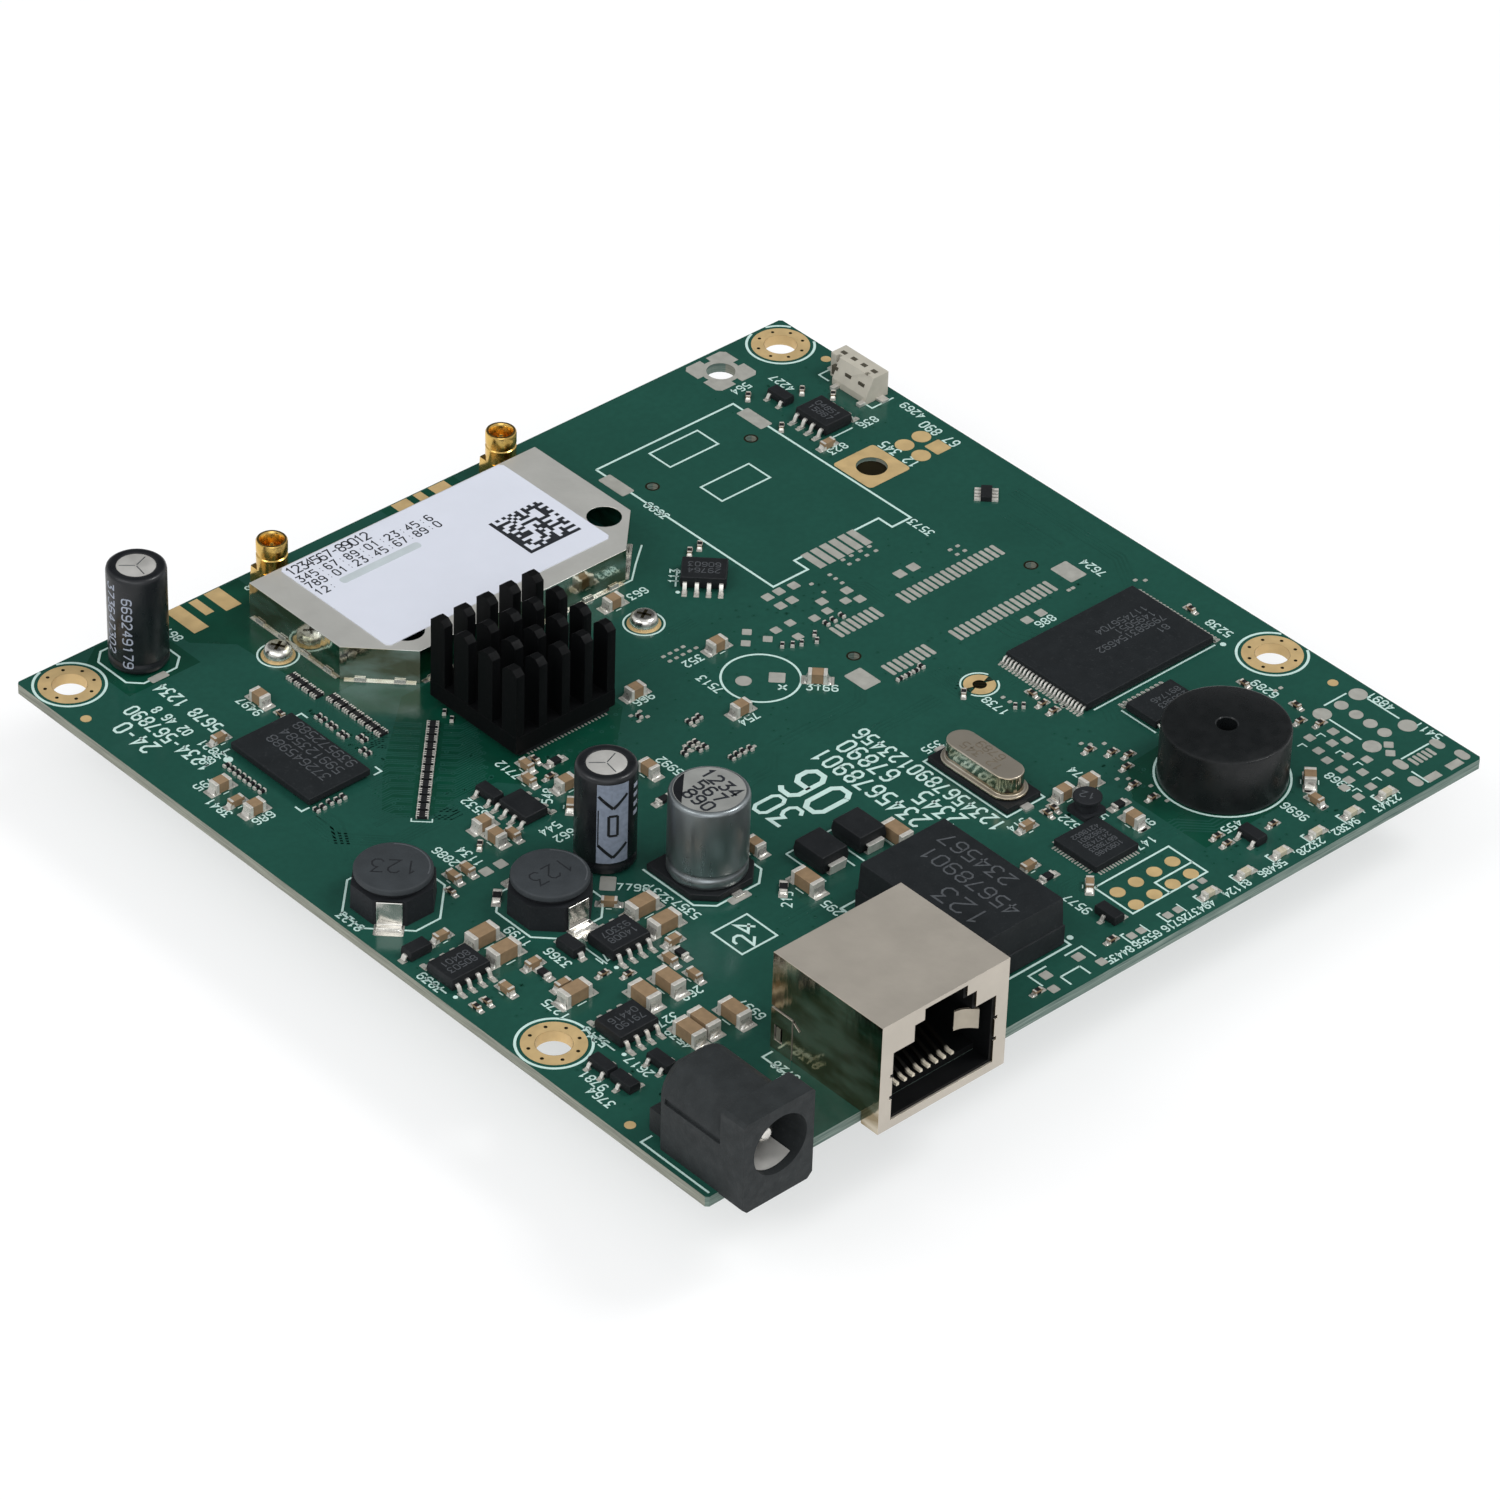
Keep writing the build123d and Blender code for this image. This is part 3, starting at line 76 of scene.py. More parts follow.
def middle_of(node):
    """Middle of a CAD node's box, as a place on the board."""
    low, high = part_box(node)
    return round((low[0] + high[0]) / 2 / MM, 2), round((low[1] + high[1]) / 2 / MM + SHIFT_Y, 2)


def top_of(node):
    """Height of a CAD node's top above the board's top face, in millimetres."""
    return round(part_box(node)[1][2] / MM - BOARD_TOP, 2)


def linear(code):
    """Linear colour from a screen colour code, by the usual curve with its straight foot."""
    parts = [int(code[i:i + 2], 16) / 255 for i in (1, 3, 5)]
    return [c / 12.92 if c <= 0.04045 else ((c + 0.055) / 1.055) ** 2.4 for c in parts]


class BoardColours(bpy.types.PropertyGroup):
    mask: FloatVectorProperty(
        name="Solder mask", description="Green of the mask over copper", subtype="COLOR",
        default=linear("#1d4b40"), min=0, max=1)
    # Also the colour of the painted shadow of tall parts on the mask.
    mask_bare: FloatVectorProperty(
        name="Bare mask", description="Green of the mask where no copper lies under it",
        subtype="COLOR", default=linear("#0c3f30"), min=0, max=1)
    laminate: FloatVectorProperty(
        name="Laminate", description="Glass laminate seen at the board's edges", subtype="COLOR",
        default=linear("#86887c"), min=0, max=1)
    ink: FloatVectorProperty(
        name="Print", description="Ink of the printed lines and numbers", subtype="COLOR",
        default=linear("#bcd6cf"), min=0, max=1)
    gold: FloatVectorProperty(
        name="Gold", description="Gold finish of bare pads", subtype="COLOR",
        default=linear("#d0b380"), min=0, max=1)
    tin: FloatVectorProperty(
        name="Tin", description="Solder and tinned pads", subtype="COLOR",
        default=linear("#adaca4"), min=0, max=1)
    moulding: FloatVectorProperty(
        name="Chip moulding", description="Black of the chip packages", subtype="COLOR",
        default=linear("#1e2123"), min=0, max=1)
    ceramic: FloatVectorProperty(
        name="Ceramic", description="Tan of the ceramic capacitors", subtype="COLOR",
        default=linear("#8a7358"), min=0, max=1)


class BoardSizes(bpy.types.PropertyGroup):
    ink_height: FloatProperty(
        name="Print height", description="How far the print stands off the mask, in mm",
        default=0.02, min=0.002, max=0.1)
    pad_height: FloatProperty(
        name="Pad height", description="How far a pad stands off the mask, in mm",
        default=0.03, min=0.002, max=0.1)
    edge_round: FloatProperty(
        name="Edge round", description="Width of the round on moulded edges, in mm",
        default=0.12, min=0.01, max=0.5)
    fillet_reach: FloatProperty(
        name="Solder reach", description="How far solder runs out from a chip part's end, in mm",
        default=0.45, min=0.05, max=1.0)


class BoardStage(bpy.types.PropertyGroup):
    fill: FloatProperty(
        name="Fill", description="Level of the even light from all round", default=0.6, min=0, max=2)
    key: FloatProperty(
        name="Key", description="Power of the main lamp, above the right front corner",
        default=1.9, min=0, max=20, unit="POWER")
    dark_patch: FloatProperty(
        name="Dark patch", description="Share of the even light left where flat gloss mirrors it",
        default=0.15, min=0, max=1)
    panel: FloatProperty(
        name="Panel", description="Strength of the soft panel of light over the front left corner",
        default=1.6, min=0, max=5)
    key_size: FloatProperty(
        name="Key size", description="Side of that lamp", default=0.24, min=0.01, max=2, unit="LENGTH")


# Meshes
def circle(radius, count=32, start=0.0, sweep=360.0):
    """Points (r cos a, r sin a) at even angles a; an arc when sweep is under 360."""
    whole = abs(sweep - 360) < 1e-9
    angles = np.radians(start + sweep * np.arange(count) / (count if whole else count - 1))
    return np.c_[radius * np.cos(angles), radius * np.sin(angles)]


def rounded(width, depth, radius, steps=4):
    """Outline of a rectangle with a quarter circle at each corner, counter-clockwise."""
    corners = []
    for cx, cy, start in ((1, 1, 0), (-1, 1, 90), (-1, -1, 180), (1, -1, 270)):
        arc = circle(radius, steps, start, 90)
        corners.append(arc + (cx * (width / 2 - radius), cy * (depth / 2 - radius)))
    return np.concatenate(corners)


def box_outline(width, depth):
    """Outline of a rectangle about the middle, counter-clockwise."""
    return np.array([(1, 1), (-1, 1), (-1, -1), (1, -1)]) * (width / 2, depth / 2)


class Batch:
    """Gathers plates, ribbons and grids into one mesh, in millimetres on the board."""

    def __init__(self):
        self.points, self.faces, self.count = [], [], 0
        self.matrix = np.eye(4)

    def place(self, x, y, z=0.0, turn=0.0):
        """What is added from here on is turned about Z and moved to this place."""
        turned = Matrix.Translation((x, y, z)) @ Matrix.Rotation(radians(turn), 4, "Z")
        self.matrix = np.array(turned)
        return self

    def add(self, points, faces):
        """Takes in points at the batch's place, and faces as lists of their numbers."""
        points = np.asarray(points, float)
        self.points.append(points @ self.matrix[:3, :3].T + self.matrix[:3, 3])
        self.faces += [[i + self.count for i in face] for face in faces]
        self.count += len(points)
        return self

    def plate(self, outline, low, high, inset=0.0):
        """Closed prism over a counter-clockwise outline, its top drawn in by inset."""
        ring = np.asarray(outline, float)
        n = len(ring)
        middle = ring.mean(0)
        reach = np.abs(ring - middle).max(0)
        top = middle + (ring - middle) * (1 - inset / np.maximum(reach, 1e-6))
        points = np.concatenate([np.c_[ring, np.full(n, low)], np.c_[top, np.full(n, high)]])
        i = np.arange(n)
        j = (i + 1) % n
        walls = np.stack([i, j, j + n, i + n], 1)
        return self.add(points, [i[::-1].tolist(), (i + n).tolist()] + walls.tolist())

    def ribbon(self, line, width, low, high, closed=False):
        """Flat band along a line: each point moves half the width to both sides, along the mean
        of the normals before and after it, and further at a corner so that the band keeps its
        width."""
        line = np.asarray(line, float)
        n = len(line)
        ahead = np.roll(line, -1, 0) - line
        unit = ahead / np.maximum(np.linalg.norm(ahead, axis=1), 1e-9)[:, None]
        if not closed:
            unit[-1] = unit[-2]
        before = np.roll(unit, 1, 0)
        if not closed:
            before[0] = unit[0]
        normal = np.c_[-unit[:, 1], unit[:, 0]]
        side = np.c_[-(unit + before)[:, 1], (unit + before)[:, 0]]
        side /= np.maximum(np.linalg.norm(side, axis=1), 1e-9)[:, None]
        side *= (width / 2 / np.maximum((side * normal).sum(1), 0.4))[:, None]
        left, right = line + side, line - side
        points = np.concatenate([
            np.c_[right, np.full(n, low)], np.c_[left, np.full(n, low)],
            np.c_[left, np.full(n, high)], np.c_[right, np.full(n, high)]])
        i = np.arange(n if closed else n - 1)
        j = (i + 1) % n
        walls = np.array([[a * n + i, a * n + j, b * n + j, b * n + i]
                          for a, b in ((3, 2), (1, 0), (2, 1), (0, 3))])
        faces = walls.transpose(2, 0, 1).reshape(-1, 4).tolist()
        if not closed:
            faces += [[0, 3 * n, 2 * n, n], [2 * n - 1, 3 * n - 1, 4 * n - 1, n - 1]]
        return self.add(points, faces)

    def grid(self, rows, closed_across=False):
        """Surface through rows of points, each joined to the next, and each row's ends to each
        other with closed_across."""
        rows = np.asarray(rows, float)
        m, n = rows.shape[:2]
        i = n * np.arange(m - 1)[:, None]
        j = np.arange(n if closed_across else n - 1)
        k = (j + 1) % n
        faces = np.stack([i + j, i + k, i + n + k, i + n + j], 2).reshape(-1, 4).tolist()
        return self.add(rows.reshape(-1, 3), faces)

    def tube(self, rows, bottom=True, top=True):
        """Surface through closed rows, with bottom and top filling the first and the last."""
        m, n = np.shape(rows)[:2]
        first, last = self.count, self.count + (m - 1) * n
        self.grid(rows, closed_across=True)
        if bottom:
            self.faces.append(list(range(first, first + n))[::-1])
        if top:
            self.faces.append(list(range(last, last + n)))
        return self

    def lathe(self, profile, count=32, bottom=True, top=True):
        """Profile of (radius r, height z), bottom first, turned about Z: (r cos a, r sin a, z)."""
        radius, height = np.asarray(profile, float).T[:, :, None]
        ring = circle(1.0, count)
        rows = np.stack([radius * ring[:, 0], radius * ring[:, 1], height + 0 * ring[:, 0]], 2)
        return self.tube(rows, bottom, top)

    def build(self, name, finish, slot, smooth=None, hides=()):
        """Makes the object, in metres in the model's frame, riding on the board."""
        points = np.concatenate(self.points) + (0, -SHIFT_Y, BOARD_TOP)
        mesh = bpy.data.meshes.new(name)
        mesh.from_pydata((points * MM).tolist(), [], self.faces)
        mesh.materials.append(finish)
        if smooth is not None:
            mesh.polygons.foreach_set("use_smooth", [True] * len(mesh.polygons))
            mesh.set_sharp_from_angle(angle=radians(smooth))
        mesh.update()
        attach(name, mesh, hides)


def attach(name, mesh, hides=()):
    """Makes a mesh an object that rides on the board and stands in for the nodes in hides."""
    obj = bpy.data.objects.new(name, mesh)
    bpy.context.scene.collection.objects.link(obj)
    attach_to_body(obj, "root")
    for node in hides:
        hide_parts(node)
    return obj


def coat(node, finish):
    """Gives a CAD node its finish and leaves its shape."""
    obj = frame["nodes"][node]
    obj.data.materials.clear()
    obj.data.materials.append(finish)


def dress(node, finish, bevel, segments=2, sharp=30):
    """Stands a merged copy with rounded edges, bevel millimetres wide, in for a CAD node."""
    mesh = frame["nodes"][node].data.copy()
    mesh.name = node + "_finished"
    work = bmesh.new()
    work.from_mesh(mesh)
    bmesh.ops.remove_doubles(work, verts=work.verts, dist=2e-6)
    bmesh.ops.dissolve_limit(work, angle_limit=radians(1.0), verts=work.verts, edges=work.edges)
    work.to_mesh(mesh)
    work.free()
    mesh.materials.clear()
    mesh.materials.append(finish)
    mesh.polygons.foreach_set("use_smooth", [True] * len(mesh.polygons))
    mesh.set_sharp_from_angle(angle=radians(sharp))
    obj = attach(node + "_finished", mesh, (node,))
    edge = obj.modifiers.new("edges", "BEVEL")
    edge.width = bevel * MM
    edge.segments = segments
    edge.limit_method = "ANGLE"
    edge.angle_limit = radians(sharp)
    edge.harden_normals = True


# Strokes of each mark, on a grid four wide and six tall
GLYPHS = {
    "0": [[(0, 1), (0, 5), (1, 6), (3, 6), (4, 5), (4, 1), (3, 0), (1, 0), (0, 1)]],
    "1": [[(0.8, 4.8), (2.2, 6), (2.2, 0)]],
    "2": [[(0, 5), (1, 6), (3, 6), (4, 5), (4, 3.8), (0, 0), (4, 0)]],
    "3": [[(0, 6), (4, 6), (2, 3.6), (3.2, 3.4), (4, 2.4), (4, 1), (3, 0), (1, 0), (0, 1)]],
    "4": [[(3, 0), (3, 6), (0, 2), (4.2, 2)]],
    "5": [[(4, 6), (0, 6), (0, 3.5), (3, 3.5), (4, 2.5), (4, 1), (3, 0), (0, 0)]],
    "6": [[(4, 5.4), (3, 6), (1, 6), (0, 5), (0, 1), (1, 0), (3, 0), (4, 1), (4, 2.4), (3, 3.3),
           (0, 3.3)]],
    "7": [[(0, 6), (4, 6), (1.5, 0)]],
    "8": [[(1, 3.2), (0, 4.2), (0, 5), (1, 6), (3, 6), (4, 5), (4, 4.2), (3, 3.2), (1, 3.2),
           (0, 2.2), (0, 1), (1, 0), (3, 0), (4, 1), (4, 2.2), (3, 3.2)]],
    "9": [[(0, 0.6), (1, 0), (3, 0), (4, 1), (4, 5), (3, 6), (1, 6), (0, 5), (0, 3.7), (1, 2.8),
           (4, 2.8)]],
    "-": [[(0.6, 3), (3.4, 3)]],
    "+": [[(0.4, 3), (3.6, 3)], [(2, 1.4), (2, 4.6)]],
    ":": [[(1.8, 1.2), (2.3, 1.2)], [(1.8, 4.2), (2.3, 4.2)]],
}


def ring_plate(batch, inner, outer, low, high, count=48, start=0.0, sweep=360.0):
    """Flat ring or part of one about the batch's place, as a band along its middle circle."""
    closed = abs(sweep - 360) < 1e-9
    batch.ribbon(circle((inner + outer) / 2, count, start, sweep), outer - inner, low, high, closed)


def stamp(batch, places, outline, high, low=0.0):
    """The same plate at each place (x, y) or (x, y, turn)."""
    for x, y, *turn in places:
        batch.place(x, y, 0.0, *turn).plate(outline, low, high)


def row_of(x, y, step_x, step_y, count):
    """Places in a straight row from (x, y), one step apart."""
    return [(x + step_x * k, y + step_y * k) for k in range(count)]


def write(batch, words, height, weight, low, high, advance=0.95, middle=True, narrow=1.0):
    """Plain numbers drawn as bands of one weight, about or from the batch's place.

    Marks stand height times advance apart, and narrow squeezes each mark.
    """
    scale = height / 6
    step = height * advance
    width = step * (len(words) - 1) + 4 * scale
    for k, mark in enumerate(words):
        for line in GLYPHS.get(mark, ()):
            points = np.array(line, float) * scale
            points[:, 0] = narrow * points[:, 0] + k * step
            points[:, 0] -= width / 2 if middle else 0
            points[:, 1] -= height / 2
            batch.ribbon(points, weight, low, high)


# Finishes
RANGE_SOCKETS = ("From Min", "From Max", "To Min", "To Max")


class Finish:
    """One material's node tree, with short calls for the nodes that it repeats."""

    def __init__(self, name, colour, rough=0.5, metal=0.0, specular=0.5, coated=0.0):
        self.material = bpy.data.materials.new(name)
        self.material.use_nodes = True
        self.tree = self.material.node_tree
        self.tree.nodes.clear()
        self.shader = self.node("ShaderNodeBsdfPrincipled")
        output = self.node("ShaderNodeOutputMaterial")
        self.join(self.shader.outputs[0], output.inputs[0])
        self.coords = self.node("ShaderNodeTexCoord").outputs["Object"]
        self.set("Base Color", (*colour[:3], 1))
        self.set("Roughness", rough)
        self.set("Metallic", metal)
        self.set("Specular IOR Level", specular)
        self.set("Coat Weight", coated)

    def node(self, kind, **settings):
        made = self.tree.nodes.new(kind)
        for key, value in settings.items():
            setattr(made, key, value)
        return made

    def join(self, source, target):
        self.tree.links.new(source, target)

    def set(self, socket, value):
        self.shader.inputs[socket].default_value = value

    def drive(self, socket, source):
        self.join(source, self.shader.inputs[socket])

    def place(self, size, stretch=(1, 1, 1), turn=0.0):
        """Object coordinates scaled so that one unit is size millimetres."""
        mapping = self.node("ShaderNodeMapping")
        mapping.inputs["Scale"].default_value = [s / (size * MM) for s in stretch]
        mapping.inputs["Rotation"].default_value = (0, 0, radians(turn))
        self.join(self.coords, mapping.inputs["Vector"])
        return mapping.outputs[0]

    def noise(self, size, stretch=(1, 1, 1), detail=2.0, turn=0.0):
        texture = self.node("ShaderNodeTexNoise")
        texture.inputs["Scale"].default_value = 1.0
        texture.inputs["Detail"].default_value = detail
        self.join(self.place(size, stretch, turn), texture.inputs["Vector"])
        return texture.outputs["Fac"]

    def spread(self, source, low, high, to_low, to_high):
        made = self.node("ShaderNodeMapRange")
        for key, value in zip(RANGE_SOCKETS, (low, high, to_low, to_high)):
            made.inputs[key].default_value = value
        self.join(source, made.inputs["Value"])
        return made.outputs[0]

    def maths(self, operation, *sources):
        made = self.node("ShaderNodeMath", operation=operation)
        for slot, source in enumerate(sources):
            if isinstance(source, (int, float)):
                made.inputs[slot].default_value = source
            else:
                self.join(source, made.inputs[slot])
        return made.outputs[0]

    def mix(self, factor, first, second):
        made = self.node("ShaderNodeMix", data_type="RGBA")
        self.join(factor, made.inputs[0])
        for slot, colour in ((6, first), (7, second)):
            if hasattr(colour, "is_output"):
                self.join(colour, made.inputs[slot])
            else:
                made.inputs[slot].default_value = (*colour[:3], 1)
        return made.outputs[2]

    def bump(self, source, depth, before=None, strength=1.0):
        """Height of depth millimetres under the source, over any bump before it."""
        made = self.node("ShaderNodeBump")
        made.inputs["Distance"].default_value = depth * MM
        made.inputs["Strength"].default_value = strength
        self.join(source, made.inputs["Height"])
        if before is not None:
            self.join(before, made.inputs["Normal"])
        return made.outputs[0]

    def normal_part(self, axis):
        """Size of one part of the face's own direction, the same from any camera."""
        geometry = self.node("ShaderNodeNewGeometry")
        parts = self.node("ShaderNodeSeparateXYZ")
        self.join(geometry.outputs["True Normal"], parts.inputs[0])
        return parts.outputs[axis]


def worn(name, colour, rough=0.5, metal=0.0, specular=0.5, mottle=0.12, mottle_size=2.5, grain=0.12,
         depth=0.004, swing=0.1, stretch=(1, 1, 1), turn=0.0, coated=0.0, dust=0.0):
    """Finish with slow colour change, fine grain in its relief and uneven gloss."""
    made = Finish(name, colour, rough, metal, specular, coated)
    base = np.array(colour[:3])
    slow = made.noise(mottle_size, stretch, 3.0, turn)
    tone = made.mix(made.spread(slow, 0.3, 0.7, 0, 1), base * (1 - mottle),
                    np.minimum(base * (1 + mottle), 1))
    if dust:
        specks = made.noise(0.35, detail=1.0)
        tone = made.mix(made.spread(specks, 0.62, 0.8, 0, dust), tone, np.minimum(base * 2 + 0.06, 1))
    made.drive("Base Color", tone)
    made.drive("Roughness", made.spread(made.noise(mottle_size * 0.6, stretch, 2.0, turn), 0.3, 0.7,
                                        max(rough - swing, 0.02), min(rough + swing, 1)))
    made.drive("Normal", made.bump(made.noise(grain, stretch, 2.0, turn), depth))
    return made.material


def board_finish(colours):
    """Mask on the flat faces, layered glass laminate on the cut edges, darker and greener on the edges that
    face front and rear, a painted shade.
    """
    made = Finish("board_mask_and_laminate", colours.mask, 0.3, specular=0.4)
    cloud = made.noise(9.0, detail=4.0)
    mask = made.mix(made.spread(cloud, 0.3, 0.7, 0, 1), np.array(colours.mask) * 0.93,
                    np.array(colours.mask) * 1.07)
    weave = made.noise(0.7, detail=2.0)
    mask = made.mix(made.spread(weave, 0.35, 0.65, 0, 0.35), mask, np.array(colours.mask) * 0.8)
    layers = made.noise(0.5, (0.12, 0.12, 4.0), 3.0)
    glass = np.array(colours.laminate)
    side = made.mix(made.spread(layers, 0.3, 0.7, 0, 1), glass * 0.62, glass * 1.15)
    # Painted shade: edges facing front and rear get a darker, greener tone than the side edges, by facing
    # alone.
    front = made.mix(made.spread(layers, 0.3, 0.7, 0, 1), linear("#3e5750"), linear("#7f8d84"))
    toward = made.maths("ABSOLUTE", made.normal_part(1))
    side = made.mix(made.spread(toward, 0.4, 0.6, 0, 1), side, front)
    up = made.maths("ABSOLUTE", made.normal_part(2))
    flat = made.spread(up, 0.4, 0.6, 0, 1)
    made.drive("Base Color", made.mix(flat, side, mask))
    made.drive("Roughness", made.spread(flat, 0, 1, 0.75, 0.17))
    relief = made.bump(made.noise(0.45, detail=3.0), 0.004)
    made.drive("Normal", made.bump(made.noise(3.0, detail=2.0), 0.01, relief))
    return made.material


def shield_finish(name, top, wall, top_rough=0.42, wall_rough=0.16, plain_front=False):
    """Sheet metal: dull and even on its flat top, streaked and bright on its walls. The colour is picked by
    the face's direction, so the walls' dark and bright streaks are a painted reflection over real drawing
    streaks, and the top's own tone is painted light as well.

    With plain_front, the walls that face the front and the rear are as dull as the top.
    """
    made = Finish(name, top, top_rough, 1.0)

    def facing(axis):
        return made.spread(made.maths("ABSOLUTE", made.normal_part(axis)), 0.5, 0.9, 0, 1)

    dull = facing(2)
    cloud = made.noise(4.0, detail=4.0)
    base, metal = np.array(top[:3]), np.array(wall[:3])
    flat = made.mix(made.spread(cloud, 0.3, 0.7, 0, 1), base * 0.94, np.minimum(base * 1.05, 1))
    streaks_and_painted_reflection = made.spread(made.noise(2.2, (0.35, 0.35, 1.0), 3.0, 20), 0.42, 0.62, 0, 1)
    # Painted reflection over real drawing streaks: wall colour runs from a darkened brown copy to a
    # brightened copy of the wall tone.
    drawn = made.mix(streaks_and_painted_reflection, metal * (0.62, 0.55, 0.42), np.minimum(metal * 1.25, 1))
    if plain_front:
        dull = made.maths("MAXIMUM", dull, facing(1))
    # Colour by facing, painted light: top tone on faces pointing up (with plain_front also on front and rear
    # walls), streaked wall tone on the rest.
    made.drive("Base Color", made.mix(dull, drawn, flat))
    made.drive("Roughness", made.spread(dull, 0, 1, wall_rough, top_rough))
    made.drive("Metallic", made.spread(dull, 0, 1, 1.0, 0.6))
    ripple = made.bump(made.noise(3.2, (1.0, 1.0, 0.3), 3.0), 0.12)
    made.drive("Normal", made.bump(made.noise(0.15, detail=2.0), 0.0025, ripple))
    return made.material


def contact_finish():
    """Pale tips on the contacts, a painted highlight, falling to black a little way into the jack, painted
    shade of its inside.
    """
    made = Finish("jack_contacts", linear("#d9b574"), 0.5, 0.2, specular=0.2)
    parts = made.node("ShaderNodeSeparateXYZ")
    made.join(made.coords, parts.inputs[0])
    # Painted shade: the colour falls to black with depth into the jack; the pale tip colour is a painted
    # highlight.
    deep = made.spread(parts.outputs[1], -0.0636, -0.0630, 0, 1)
    made.drive("Base Color", made.mix(deep, linear("#fff4dd"), linear("#0a0805")))
    made.drive("Normal", made.bump(made.noise(0.2), 0.003))
    return made.material


FINISHES = {}


